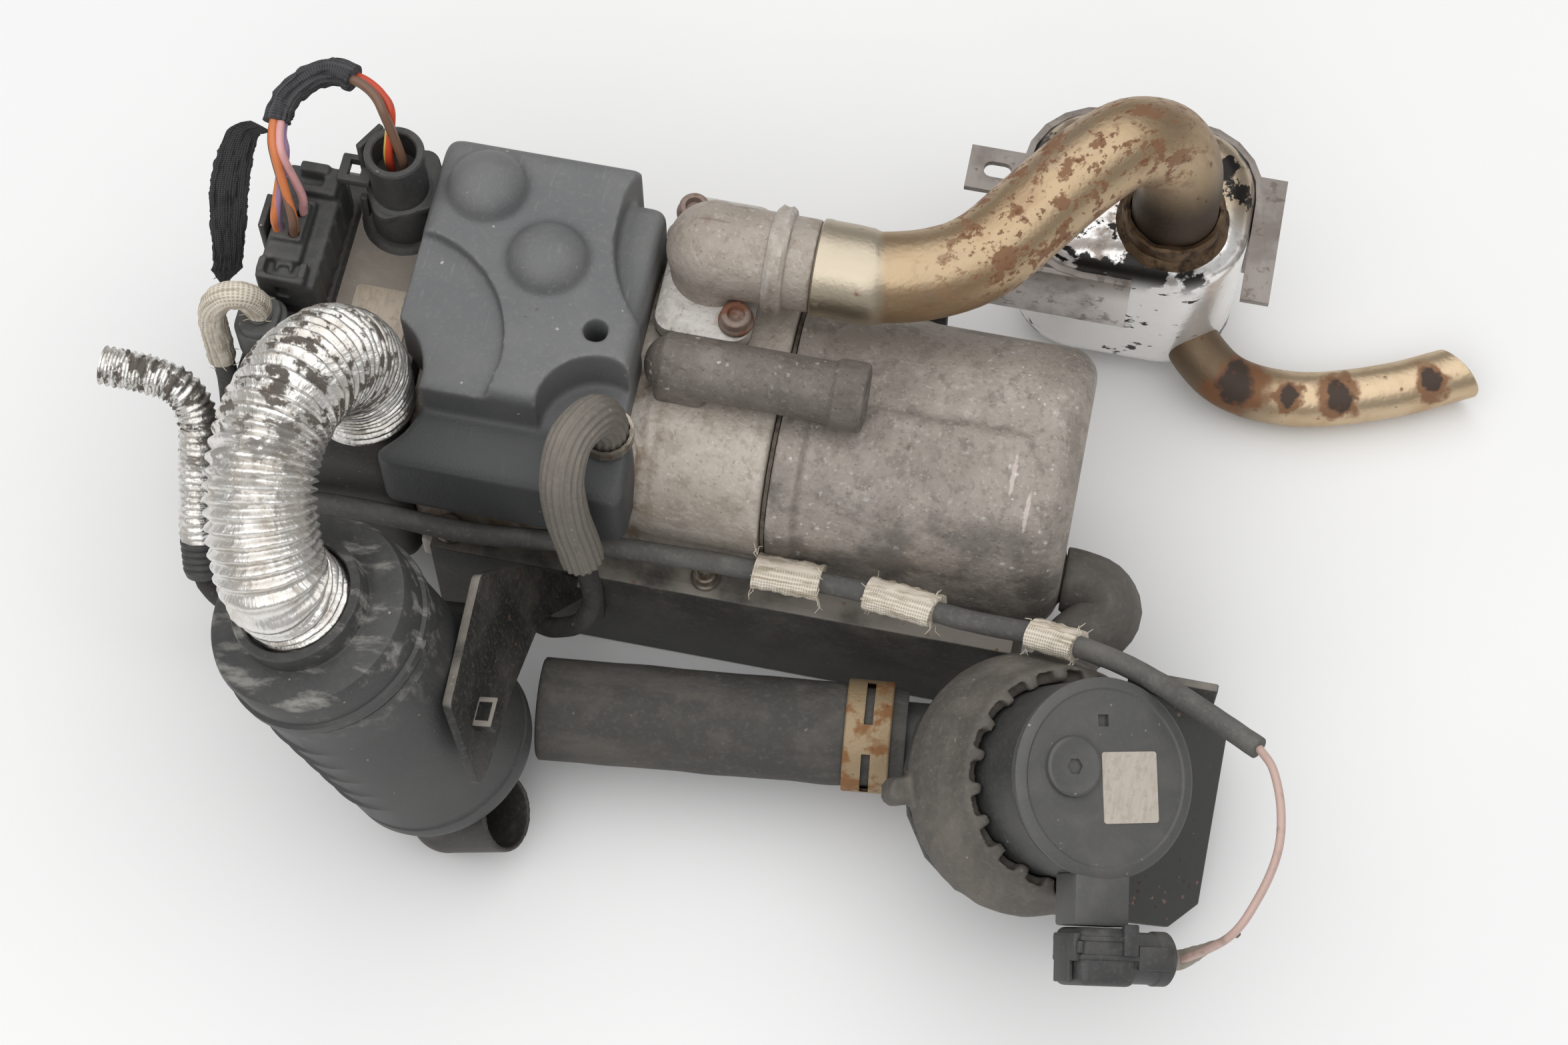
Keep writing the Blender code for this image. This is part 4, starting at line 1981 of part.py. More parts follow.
def wiring(pump):
    """Taped loom between the plugs, the long sheath, the pump wire and the loose tape tail."""
    seat = BLOWER_TOP + GAP
    rise = Vector((0, 0, LOOM_RADIUS))
    loom_start = Vector((ROUND_PLUG_X, ROUND_PLUG_Y, seat + ROUND_PLUG_HEIGHT + GAP))
    loom_end = Vector((MAIN_PLUG_X, MAIN_PLUG_Y / 2, seat + MAIN_PLUG_HEIGHT + GAP))
    loom = [loom_start, loom_start + rise, *LOOM_KNOTS, loom_end + rise, loom_end]
    tube("plug_loom", loom, LOOM_RADIUS, COPPER_WIRE, spacing=2 * LOOM_RADIUS)
    sheath_start = Vector((SENSOR_PLUG_X, SENSOR_PLUG_Y, seat + SENSOR_PLUG_HEIGHT + GAP))
    tube(
        "harness_sheath",
        [sheath_start, sheath_start + rise, *SHEATH_KNOTS, SHEATH_END],
        SHEATH_RADIUS,
        RUBBER,
        8,
        3 * SHEATH_RADIUS,
    )
    bpy.context.view_layer.update()
    heading = (Vector(SHEATH_END) - Vector(SHEATH_KNOTS[-1])).normalized()
    wire_start = Vector(SHEATH_END) + heading * GAP
    after_start = wire_start + heading * 3 * WIRE_RADIUS
    exit_x = PLUG_WIDTH / 2 + PLUG_ARM_LENGTH + GAP
    exit_y = plug_near() - PLUG_DEPTH / 2
    exit_z = PLUG_HEIGHT / 2 - SOCKET_HEIGHT
    plug_frame = pump.matrix_world @ plug_turn()
    wire_end = plug_frame @ Vector((exit_x, exit_y, exit_z))
    before_end = plug_frame @ Vector((exit_x + 4 * WIRE_RADIUS, exit_y, exit_z))
    tube(
        "pump_wire",
        [wire_start, after_start, *WIRE_KNOTS, before_end, wire_end],
        WIRE_RADIUS,
        COPPER_WIRE,
        6,
        6 * WIRE_RADIUS,
    )
    top = Vector(TAPE_TOP)
    bottom = Vector(TAPE_BOTTOM)
    drop = (bottom - top).length
    strip = box(
        (-TAPE_THICKNESS / 2, -TAPE_WIDTH / 2, 0), (TAPE_THICKNESS / 2, TAPE_WIDTH / 2, drop)
    )
    add("tape_tail", strip, CLOTH_TAPE, frame_along(top, bottom - top))


def main():
    heat_exchanger_jacket()
    jacket_seal()
    heat_exchanger_core()
    flame_tube()
    burner_insert()
    burner_housing()
    coolant_outlet_pipe()
    blower_housing()
    blower()
    control_board()
    main_cover()
    cover_screw()
    sensors()
    exhaust_outlet()
    exhaust_pipe()
    muffler()
    air_intake()
    fuel_lines()
    pump = coolant_pump()
    coolant_hoses(pump)
    main_bracket()
    plugs()
    wiring(pump)


main()
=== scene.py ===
import json
import math
import random

import bmesh
import bpy
from mathutils import Matrix, Vector, noise


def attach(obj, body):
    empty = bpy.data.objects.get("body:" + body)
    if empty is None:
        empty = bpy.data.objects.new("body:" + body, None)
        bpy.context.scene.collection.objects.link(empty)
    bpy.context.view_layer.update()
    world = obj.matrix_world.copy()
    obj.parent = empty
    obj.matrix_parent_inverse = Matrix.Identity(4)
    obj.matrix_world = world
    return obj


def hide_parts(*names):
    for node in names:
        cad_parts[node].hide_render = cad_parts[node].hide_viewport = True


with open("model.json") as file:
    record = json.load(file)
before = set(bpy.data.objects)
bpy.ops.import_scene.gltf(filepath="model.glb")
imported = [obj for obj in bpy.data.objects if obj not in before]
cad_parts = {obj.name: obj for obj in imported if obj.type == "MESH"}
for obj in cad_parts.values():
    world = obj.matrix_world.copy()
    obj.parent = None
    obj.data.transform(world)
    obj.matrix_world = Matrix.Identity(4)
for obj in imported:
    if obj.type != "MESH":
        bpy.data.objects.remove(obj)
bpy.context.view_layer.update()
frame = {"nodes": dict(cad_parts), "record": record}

MM = 0.001
GAP = 0.3 * MM
SLOTS = {row["node"]: row["material_slot"] for row in frame["record"]["subparts"]}

# The camera stands at the photograph's viewing angle.
CAMERA_TURN = math.radians(11.4)
CAMERA_RISE = math.radians(65)
CAMERA_DISTANCE = 0.9
CAMERA_TARGET = Vector((0, -0.02825, 0.060))
CAMERA_LENS = 77.14

# The heater's body, in the part's own numbers
AXIS_Z = 0.052
JACKET_LEFT, JACKET_RIGHT = -0.004, 0.0755
BURNER_LEFT, BURNER_RIGHT, BURNER_TOP = -0.1010, -0.0056, 0.088
BLOWER_LEFT, BLOWER_RIGHT, BLOWER_TOP = -0.149, -0.1013, 0.0885
COVER_LEFT, COVER_RIGHT, COVER_TOP = -0.1052, -0.0430, 0.112
COVER_NEAR, COVER_FAR = -0.0312, 0.0425
SKIRT_NEAR, SKIRT_RIGHT, SKIRT_TOP, SKIRT_BOTTOM = -0.0465, -0.0392, 0.0965, 0.066
SPIGOT = Vector((-0.113, -0.028, BLOWER_TOP))
PLUG_BASE = BLOWER_TOP + GAP
MAIN_PLUG, ROUND_PLUG, SENSOR_PLUG = (-0.1375, 0.0105), (-0.115, 0.0275), (-0.1425, -0.0158)
PORT = Vector((-0.0296, 0.026, 0))
BARREL_Z = 0.1041
MUFFLER = Vector((0.078, 0.092, 0))
MUFFLER_BOTTOM, MUFFLER_TOP = 0.005, 0.062
NECK = Vector((0.088, 0.083, MUFFLER_TOP))
FUEL_PORT = Vector((-0.0465, -0.0300, BURNER_TOP))
FRAME_NEAR, FRAME_HEIGHT, SHEET = -0.0465, 0.0425, 0.0025
FRAME_BOLTS_X = (-0.0905, -0.0192)


# Colours and finishes


def tone(red, green, blue):
    """A colour as read off a chart, 0 to 255, in Blender's linear values."""

    def linear(value):
        value /= 255
        return value / 12.92 if value <= 0.04045 else ((value + 0.055) / 1.055) ** 2.4

    return (linear(red), linear(green), linear(blue), 1.0)


def add_node(tree, kind, feeds=None, **settings):
    """Adds a shader node; feeds sets its sockets to values or links them."""
    node = tree.nodes.new("ShaderNode" + kind)
    for key, value in settings.items():
        setattr(node, key, value)
    for socket, value in (feeds or {}).items():
        if isinstance(value, bpy.types.NodeSocket):
            tree.links.new(value, node.inputs[socket])
        else:
            node.inputs[socket].default_value = value
    return node


def new_group(name, inputs):
    """An empty node group: float inputs, a vector where the name says so, and one mask out."""
    group = bpy.data.node_groups.new(name, "ShaderNodeTree")
    for label, default in inputs.items():
        kind = "NodeSocketVector" if label == "Vector" else "NodeSocketFloat"
        socket = group.interface.new_socket(name=label, in_out="INPUT", socket_type=kind)
        if default is not None:
            socket.default_value = default
    group.interface.new_socket(name="Mask", in_out="OUTPUT", socket_type="NodeSocketFloat")
    return group, group.nodes.new("NodeGroupInput").outputs, group.nodes.new("NodeGroupOutput")


def ramp(tree, value, low, high):
    """A soft step from 0 to 1 between low and high."""
    feeds = {"Value": value, "From Min": low, "From Max": high}
    return add_node(tree, "MapRange", feeds, interpolation_type="SMOOTHSTEP").outputs[0]


def times(tree, first, second):
    return add_node(tree, "Math", {0: first, 1: second}, operation="MULTIPLY").outputs[0]


def mottle_group():
    """Cloudy patches: stains, dust drifts, soot."""
    inputs = {"Vector": None, "Scale": 60, "Detail": 5, "Low": 0.45, "High": 0.6}
    group, given, leave = new_group("mottle", inputs)
    feeds = {"Vector": given["Vector"], "Scale": given["Scale"], "Detail": given["Detail"]}
    cloud = add_node(group, "TexNoise", {**feeds, "Roughness": 0.62})
    mask = ramp(group, cloud.outputs["Fac"], given["Low"], given["High"])
    group.links.new(mask, leave.inputs["Mask"])
    return group


def specks_group():
    """Small ragged flecks of unlike size: grit, paint specks, spatter."""
    inputs = {"Vector": None, "Scale": 400, "Size": 0.3, "Share": 0.3}
    group, given, leave = new_group("specks", inputs)
    cells = add_node(group, "TexVoronoi", {"Vector": given["Vector"], "Scale": given["Scale"]})
    finer = times(group, given["Scale"], 2.6)
    rough = add_node(group, "TexNoise", {"Vector": given["Vector"], "Scale": finer}).outputs["Fac"]
    feeds = {0: rough, 1: 0.8, 2: cells.outputs["Distance"]}
    ragged = add_node(group, "Math", feeds, operation="MULTIPLY_ADD").outputs[0]
    tint = add_node(group, "SeparateColor", {0: cells.outputs["Color"]})
    size = times(group, given["Size"], tint.outputs[1])
    edge = add_node(group, "Math", {0: size, 1: 0.4}, operation="ADD").outputs[0]
    near = ramp(group, ragged, edge, 0.3)
    chosen = add_node(group, "Math", {0: given["Share"], 1: tint.outputs[0]})
    chosen.operation = "GREATER_THAN"
    group.links.new(times(group, near, chosen.outputs[0]), leave.inputs["Mask"])
    return group


def settled_group():
    """Dust that lies on what faces up, in drifts."""
    inputs = {"Vector": None, "Scale": 90, "Low": 0.4, "High": 0.75, "Steep": 0.3}
    group, given, leave = new_group("settled", inputs)
    feeds = {"Vector": given["Vector"], "Scale": given["Scale"], "Detail": 6}
    cloud = add_node(group, "TexNoise", feeds)
    drift = ramp(group, cloud.outputs["Fac"], given["Low"], given["High"])
    facing = add_node(group, "NewGeometry").outputs["Normal"]
    up = add_node(group, "SeparateXYZ", {0: facing}).outputs["Z"]
    lying = ramp(group, up, given["Steep"], 1.0)
    group.links.new(times(group, drift, lying), leave.inputs["Mask"])
    return group


def rubbed_group():
    """Edges that hands and tools have rubbed."""
    inputs = {"Vector": None, "Scale": 150, "Low": 0.52, "High": 0.6}
    group, given, leave = new_group("rubbed", inputs)
    sharp = add_node(group, "NewGeometry").outputs["Pointiness"]
    edge = ramp(group, sharp, given["Low"], given["High"])
    cloud = add_node(group, "TexNoise", {"Vector": given["Vector"], "Scale": given["Scale"]})
    broken = ramp(group, cloud.outputs["Fac"], 0.35, 0.6)
    group.links.new(times(group, edge, broken), leave.inputs["Mask"])
    return group


def weave_group():
    """Cloth threads over and under each other, on coordinates in metres."""
    inputs = {"Vector": None, "Scale": 1500}
    group, given, leave = new_group("weave", inputs)
    waves = []
    for direction in ("X", "Z"):
        wave = add_node(group, "TexWave", {"Vector": given["Vector"], "Scale": given["Scale"]})
        wave.bands_direction = direction
        waves.append(wave.outputs["Fac"])
    group.links.new(times(group, *waves), leave.inputs["Mask"])
    return group


GROUPS = {
    "mottle": mottle_group(),
    "specks": specks_group(),
    "settled": settled_group(),
    "rubbed": rubbed_group(),
    "weave": weave_group(),
}


class Finish:
    """A material: a base colour, layers painted over it through masks, and a relief.
    Colours are given as read off a chart."""

    def __init__(self, name, colour, roughness, metallic=0.0, along=False, specular=0.5):
        self.material = bpy.data.materials.new(name)
        self.material.use_nodes = True
        self.tree = self.material.node_tree
        self.shader = self.tree.nodes["Principled BSDF"]
        self.shader.inputs["Specular IOR Level"].default_value = specular
        self.colour, self.roughness, self.metallic = tone(*colour), roughness, metallic
        self.relief = None
        if along:
            source = add_node(self.tree, "Attribute", attribute_name="flow")
            self.vector = source.outputs["Vector"]
        else:
            self.vector = add_node(self.tree, "TexCoord").outputs["Object"]

    def stretched(self, x, y, z):
        """The coordinates drawn out, so that a pattern runs in streaks."""
        feeds = {"Vector": self.vector, "Scale": (x, y, z)}
        return add_node(self.tree, "Mapping", feeds).outputs[0]

    def mask(self, group, vector=None, **values):
        node = add_node(self.tree, "Group", node_tree=GROUPS[group])
        self.tree.links.new(vector or self.vector, node.inputs["Vector"])
        for label, value in values.items():
            node.inputs[label].default_value = value
        return node.outputs["Mask"]

    def blend(self, kind, mask, under, over, slots):
        node = add_node(self.tree, "Mix", data_type=kind)
        for index, value in zip(slots, (mask, under, over)):
            if isinstance(value, bpy.types.NodeSocket):
                self.tree.links.new(value, node.inputs[index])
            else:
                node.inputs[index].default_value = value
        return node.outputs[2 if kind == "RGBA" else 0]

    def over(self, mask, colour=None, roughness=None, metallic=None, strength=1.0):
        """Paints a layer where the mask is white."""
        if strength != 1.0:
            mask = times(self.tree, mask, strength)
        if colour is not None:
            self.colour = self.blend("RGBA", mask, self.colour, tone(*colour), (0, 6, 7))
        if roughness is not None:
            self.roughness = self.blend("FLOAT", mask, self.roughness, roughness, (0, 2, 3))
        if metallic is not None:
            self.metallic = self.blend("FLOAT", mask, self.metallic, metallic, (0, 2, 3))
        return self

    def layer(self, group, colour=None, roughness=None, metallic=None, strength=1.0,
              drawn=None, where=None, **values):
        """Paints a layer through a pattern, drawn out in streaks or kept to one place."""
        mask = self.mask(group, self.stretched(*drawn) if drawn else None, **values)
        if where is not None:
            mask = times(self.tree, mask, where)
        return self.over(mask, colour, roughness, metallic, strength)

    def reach(self, axis, low, high):
        """A soft step along one of the piece's own directions, from low to high."""
        place = add_node(self.tree, "SeparateXYZ", {0: self.vector}).outputs[axis]
        return ramp(self.tree, place, low, high)

    def spot(self, centre, size, ragged=0.5, axes=(1, 1, 1)):
        """A blot with a ragged rim about one place."""
        cloud = add_node(self.tree, "TexNoise", {"Vector": self.vector, "Scale": 1 / size, "Detail": 6})
        away = add_node(self.tree, "VectorMath", {0: self.vector, 1: centre}, operation="SUBTRACT")
        sized = add_node(self.tree, "VectorMath", {0: away.outputs[0], 1: axes}, operation="MULTIPLY")
        far = add_node(self.tree, "VectorMath", {0: sized.outputs[0]}, operation="LENGTH")
        feeds = {0: cloud.outputs["Fac"], 1: ragged * 2 * size, 2: far.outputs["Value"]}
        rim = add_node(self.tree, "Math", feeds, operation="MULTIPLY_ADD").outputs[0]
        return ramp(self.tree, rim, size * (1.15 + ragged), size * (0.75 + ragged))

    def raised(self, height, depth):
        """Lifts the surface by the mask's height, in metres."""
        feeds = {"Height": height, "Distance": depth, "Strength": 1.0}
        if self.relief is not None:
            feeds["Normal"] = self.relief
        self.relief = add_node(self.tree, "Bump", feeds).outputs["Normal"]
        return self

    def grained(self, scale, depth, detail=4):
        """An even grain over the whole surface."""
        feeds = {"Vector": self.vector, "Scale": scale, "Detail": detail}
        return self.raised(add_node(self.tree, "TexNoise", feeds).outputs["Fac"], depth)

    def done(self):
        values = {
            "Base Color": self.colour,
            "Roughness": self.roughness,
            "Metallic": self.metallic,
            "Normal": self.relief,
        }
        for label, value in values.items():
            if isinstance(value, bpy.types.NodeSocket):
                self.tree.links.new(value, self.shader.inputs[label])
            elif value is not None:
                self.shader.inputs[label].default_value = value
        return self.material


def cover_plastic():
    it = Finish("charcoal_cover_plastic", (100, 101, 102), 0.5)
    it.layer("mottle", (118, 118, 118), 0.6, strength=0.6, Scale=30, Low=0.35, High=0.7)
    it.layer("mottle", (140, 139, 136), 0.75, strength=0.3, Scale=800, Detail=3, Low=0.5, High=0.8)
    it.layer("settled", (142, 138, 130), 0.9, strength=0.3, Scale=50, Low=0.5, High=0.85, Steep=0.5)
    it.layer("mottle", (132, 132, 130), 0.4, strength=0.4, drawn=(3, 0.3, 1), Scale=240, Low=0.62,
             High=0.7)
    # Painted shade: the near edge and the sloping skirt are darkened towards the front, where they face
    # away from the light.
    it.over(it.reach("Y", -0.028, -0.034), (60, 61, 62), strength=0.85)
    it.layer("rubbed", (140, 140, 138), 0.4, strength=0.6, Scale=200, Low=0.51, High=0.58)
    it.layer("specks", (196, 192, 184), 0.9, Scale=520, Size=0.35, Share=0.03)
    it.layer("specks", (96, 76, 56), 0.9, Scale=430, Size=0.3, Share=0.02)
    return it.grained(1500, 0.00012).done()


def dark_plastic(name, base, dust, clean=1.0):
    """Moulded plastic that has gathered fine dust."""
    it = Finish(name, base, 0.5)
    it.layer("mottle", dust, 0.7, strength=0.3 * clean, Scale=45, Low=0.4, High=0.75)
    it.layer("mottle", dust, 0.8, strength=0.35 * clean, Scale=850, Detail=3, Low=0.48, High=0.8)
    it.layer("settled", dust, 0.95, strength=0.6 * clean, Scale=150, Low=0.45, High=0.8, Steep=0.4)
    it.layer("specks", (176, 170, 158), 0.9, Scale=620, Size=0.35, Share=0.05)
    return it.grained(1500, 0.00008)


def canister_plastic():
    it = dark_plastic("charcoal_canister_plastic", (60, 60, 60), (94, 93, 90))
    high = it.reach("Z", 0.085, 0.108)
    streaks = it.mask("mottle", it.stretched(0.5, 1.6, 1), Scale=120, Detail=8, Low=0.5, High=0.68)
    it.over(times(it.tree, streaks, high), (176, 173, 166), 0.95, strength=0.55)
    return it.done()


def cast_aluminium(name, base, light, dirt, metallic=0.25):
    """A rough casting: cloudy oxide, fine pale grain, pits and clusters of white bloom."""
    it = Finish(name, base, 0.55, metallic)
    it.layer("mottle", dirt, 0.75, strength=0.4, Scale=26, Low=0.42, High=0.72)
    it.layer("mottle", light, 0.5, strength=0.3, Scale=60, Detail=7, Low=0.5, High=0.72)
    it.layer("mottle", dirt, 0.8, 0.1, strength=0.3, drawn=(1, 0.7, 1), Scale=520, Detail=8, Low=0.5,
             High=0.7)
    it.layer("mottle", dirt, 0.7, strength=0.3, Scale=150, Detail=9, Low=0.52, High=0.62)
    it.layer("mottle", light, 0.55, strength=0.35, Scale=760, Detail=6, Low=0.54, High=0.7)
    it.layer("rubbed", light, 0.4, strength=0.5, Scale=120, Low=0.505, High=0.56)
    clusters = it.mask("mottle", Scale=42, Detail=3, Low=0.46, High=0.6)
    it.layer("specks", (216, 214, 208), 0.6, where=clusters, Scale=560, Size=0.5, Share=0.3)
    it.layer("specks", dirt, 0.9, Scale=640, Size=0.3, Share=0.05)
    it.grained(620, 0.0003)
    return it.raised(it.mask("specks", Scale=700, Size=0.6, Share=0.5), 0.00018)


def jacket_casting():
    it = cast_aluminium("jacket_aluminium", (160, 151, 142), (206, 200, 192), (84, 76, 69))
    # Painted shade: grey mottled patches darken the near, lower side, which faces away from the light.
    # The pale specks there are white bloom.
    near = it.reach("Y", -0.018, -0.034)
    it.layer("mottle", (84, 81, 78), 0.7, strength=0.6, where=near, Scale=70, Detail=8, Low=0.4,
             High=0.6)
    it.layer("specks", (206, 206, 202), 0.6, where=near, Scale=420, Size=0.5, Share=0.25)
    for centre, axes in (((0.0585, -0.0150, 0.0860), (3.2, 0.36, 0.3)),
                         ((0.0635, -0.0235, 0.0850), (3.6, 0.42, 0.3))):
        it.over(it.spot(centre, 0.0022, 0.8, axes), (226, 214, 208), 0.5, strength=0.45)
    return it.done()


def burner_casting():
    it = cast_aluminium("burner_aluminium", (188, 179, 168), (222, 218, 210), (124, 108, 92))
    stained = it.reach("X", -0.031, -0.040)
    it.layer("mottle", (116, 92, 64), 0.85, strength=0.7, where=stained, Scale=110, Detail=8,
             Low=0.42, High=0.6)
    return it.done()


def exhaust_steel():
    """Steel tinted by heat: pale sleeve, rust on the rising stretch, dark by the silencer."""
    it = Finish("heat_tinted_steel", (184, 162, 132), 0.4, 1.0, along=True)
    it.layer("mottle", (150, 122, 92), 0.5, strength=0.65, drawn=(1, 1, 0.35), Scale=60, Low=0.42,
             High=0.66)
    it.layer("mottle", (156, 138, 132), 0.45, strength=0.4, Scale=34, Detail=4, Low=0.5, High=0.7)
    it.over(it.reach("Z", 0.0185, 0.0150), (204, 198, 182), 0.42, strength=0.6)
    rising = times(it.tree, it.reach("Z", 0.020, 0.045), it.reach("Z", 0.125, 0.095))
    it.layer("mottle", (128, 88, 60), 0.7, 0.3, strength=0.85, where=rising, Scale=150, Detail=10,
             Low=0.53, High=0.58)
    it.layer("mottle", (118, 78, 52), 0.8, 0.2, strength=0.8, where=rising, Scale=420, Detail=8,
             Low=0.57, High=0.61)
    it.layer("specks", (110, 68, 42), 0.8, 0.2, where=rising, Scale=420, Size=0.6, Share=0.4)
    it.layer("specks", (116, 76, 50), 0.8, 0.2, Scale=380, Size=0.5, Share=0.08)
    it.over(it.reach("Z", 0.106, 0.134), (44, 35, 30), 0.55, 0.8, strength=0.9)
    return it.grained(700, 0.00012).done()


def muffler_steel():
    """Bright steel burnt black in ragged streaks, straw and brown on top. Its near-white, only partly
    metallic base is a painted reflection of the pale table.
    """
    it = Finish("burnt_silencer_steel", (244, 242, 240), 0.2, 0.6)
    top = it.reach("Z", 0.052, 0.060)
    it.over(times(it.tree, top, it.reach("Y", 0.078, 0.094)), (172, 152, 124), 0.35, 0.95,
            strength=0.9)
    it.layer("mottle", (112, 88, 66), 0.5, 0.7, strength=0.7, where=top, Scale=110, Detail=9,
             Low=0.52, High=0.64)
    it.layer("mottle", (34, 31, 29), 0.3, 0.6, drawn=(1.2, 1.2, 2.2), Scale=38, Detail=12,
             Low=0.59, High=0.605)
    it.layer("mottle", (34, 31, 29), 0.35, 0.5, where=it.reach("Z", 0.048, 0.058), Scale=46,
             Detail=11, Low=0.51, High=0.54)
    it.layer("specks", (100, 66, 46), 0.8, 0.2, Scale=420, Size=0.4, Share=0.12)
    return it.grained(420, 0.0001).done()


def tail_steel():
    it = Finish("burnt_tail_steel", (206, 184, 154), 0.38, 1.0, along=True)
    it.layer("mottle", (176, 148, 112), 0.45, strength=0.7, Scale=70, Low=0.4, High=0.7)
    it.over(it.reach("Z", 0.050, 0.026), (84, 68, 52), 0.6, 0.6, strength=0.8)
    for middle, size in ((0.029, 0.0066), (0.0450, 0.0030), (0.0590, 0.0044), (0.0860, 0.0036)):
        for reach, colour in ((1.35, (128, 84, 52)), (0.85, (52, 48, 46))):
            blot = it.spot((0.0075, 0.001, middle), size * reach, 0.9, (0.8, 0.75, 1))
            it.over(blot, colour, 0.65, 0.3, strength=0.85)
    it.layer("specks", (116, 74, 46), 0.8, 0.2, Scale=420, Size=0.5, Share=0.25)
    return it.grained(700, 0.00012).done()


def bracket_steel():
    it = Finish("stained_bracket_steel", (232, 225, 221), 0.42, 0.3)
    it.layer("mottle", (142, 133, 130), 0.55, strength=0.6, Scale=60, Low=0.42, High=0.62)
    it.layer("mottle", (84, 64, 50), 0.7, 0.4, strength=0.5, Scale=260, Detail=8, Low=0.56, High=0.66)
    it.over(it.reach("Z", 0.045, 0.056), (92, 80, 68), 0.5, strength=0.7)
    it.layer("specks", (98, 62, 42), 0.85, 0.2, Scale=420, Size=0.4, Share=0.15)
    return it.grained(500, 0.0001).done()


def hose_foil():
    """Bright foil with road soot caught between the ribs of the upper bend."""
    it = Finish("corrugated_foil", (232, 230, 226), 0.3, 0.95, along=True)
    it.layer("mottle", (204, 196, 186), 0.44, strength=0.7, Scale=90, Low=0.42, High=0.68)
    upper = times(it.tree, it.reach("Z", 0.010, 0.030), it.reach("Z", 0.105, 0.070))
    it.layer("mottle", (70, 58, 48), 0.8, 0.2, strength=0.9, where=upper, drawn=(1, 1, 2.5),
             Scale=150, Detail=8, Low=0.50, High=0.57)
    it.layer("mottle", (150, 136, 120), 0.7, 0.5, strength=0.4, drawn=(1, 1, 2), Scale=260,
             Detail=6, Low=0.55, High=0.66)
    return it.grained(520, 0.0005, 6).done()


def coated_steel(name, base):
    it = dark_plastic(name, base, (122, 115, 106))
    it.layer("settled", (150, 144, 134), 0.9, strength=0.75, Scale=60, Low=0.3, High=0.62,
             Steep=0.55)
    it.layer("specks", (112, 70, 46), 0.85, Scale=420, Size=0.5, Share=0.06)
    return it.done()


def rusty_steel(name, base, rust, share):
    """Steel whose plating has rusted through, most along its edges."""
    it = Finish(name, base, 0.5, 0.3)
    it.layer("mottle", rust, 0.85, 0.1, Scale=130, Detail=9, Low=0.62 - 0.2 * share,
             High=0.74 - 0.2 * share)
    it.layer("specks", [value + 46 for value in rust], 0.85, 0.1, Scale=620, Size=0.5, Share=0.2)
    it.layer("specks", [value * 0.6 for value in rust], 0.9, 0.1, Scale=500, Size=0.5, Share=0.2)
    return it.grained(1100, 0.0002, 8).done()


def plain_rubber(name, base, dust, along=True):
    it = Finish(name, base, 0.7, along=along, specular=0.35)
    it.layer("mottle", dust, 0.9, strength=0.5, drawn=(1, 1, 0.35), Scale=70, Low=0.42, High=0.7)
    it.layer("mottle", dust, 0.9, strength=0.4, Scale=700, Detail=4, Low=0.48, High=0.75)
    it.layer("settled", dust, 0.95, strength=0.5, Scale=140, Low=0.45, High=0.8)
    it.layer("specks", (156, 147, 132), 0.95, Scale=620, Size=0.4, Share=0.08)
    return it.grained(900, 0.0002).done()


def cloth(name, base, dark):
    """Woven tape: fine threads, a few darker, soiled in places."""
    it = Finish(name, base, 0.95, along=True, specular=0.15)
    woven = it.mask("weave", Scale=430)
    it.over(woven, dark, 0.95, strength=0.5)
    it.layer("mottle", dark, strength=0.7, drawn=(5, 5, 0.6), Scale=180, Low=0.5, High=0.62)
    it.layer("mottle", dark, strength=0.5, Scale=110, Detail=6, Low=0.52, High=0.72)
    return it.raised(woven, 0.00025).done()


def wire_skin(name, base, stripe=None):
    it = Finish(name, base, 0.4, along=True)
    if stripe:
        it.over(it.reach("Y", 0.0004, 0.0006), stripe)
    it.layer("mottle", (90, 84, 76), 0.7, strength=0.4, Scale=150, Low=0.5, High=0.7)
    return it.grained(900, 0.00005).done()


def worked_metal(name, base, roughness, metallic, dull):
    it = Finish(name, base, roughness, metallic)
    it.layer("mottle", dull, min(1, roughness + 0.2), Scale=220, Detail=6, Low=0.42, High=0.68)
    return it.grained(900, 0.0001).done()


def label_film(name, base, dull):
    it = Finish(name, base, 0.35, 0.2)
    it.layer("mottle", dull, 0.5, strength=0.7, drawn=(6, 1, 1), Scale=200, Low=0.4, High=0.7)
    it.layer("mottle", dull, 0.6, strength=0.7, Scale=500, Detail=5, Low=0.5, High=0.65)
    it.layer("specks", (110, 100, 88), 0.8, Scale=500, Size=0.4, Share=0.1)
    return it.grained(300, 0.00005).done()


COVER = cover_plastic()
DARK = dark_plastic("dark_housing_plastic", (52, 50, 48), (104, 98, 90)).done()
FIELD = dark_plastic("worn_field_plastic", (136, 128, 118), (162, 152, 140)).done()
PLUG = dark_plastic("black_plug_plastic", (60, 60, 60), (104, 102, 97)).done()
SENSOR = dark_plastic("grey_sensor_plastic", (84, 85, 85), (120, 118, 112)).done()
CAP = dark_plastic("smooth_cap_plastic", (80, 80, 79), (112, 108, 102), 0.6).done()
CANISTER = canister_plastic()
JACKET = jacket_casting()
BURNER = burner_casting()
OUTLET = cast_aluminium(
    "outlet_aluminium", (112, 105, 98), (160, 152, 144), (76, 68, 61)
).done()
ELBOW = cast_aluminium(
    "elbow_aluminium", (170, 160, 150), (206, 200, 192), (126, 108, 92)
).done()
FLANGE = cast_aluminium(
    "flange_aluminium", (196, 191, 185), (226, 223, 218), (138, 122, 104), 0.4
).done()
EXHAUST = exhaust_steel()
SILENCER = muffler_steel()
TAIL = tail_steel()
BRACKET = bracket_steel()
FOIL = hose_foil()
BLACK_STEEL = coated_steel("black_strap_steel", (30, 30, 29))
FRAME_STEEL = coated_steel("black_frame_steel", (56, 55, 53))
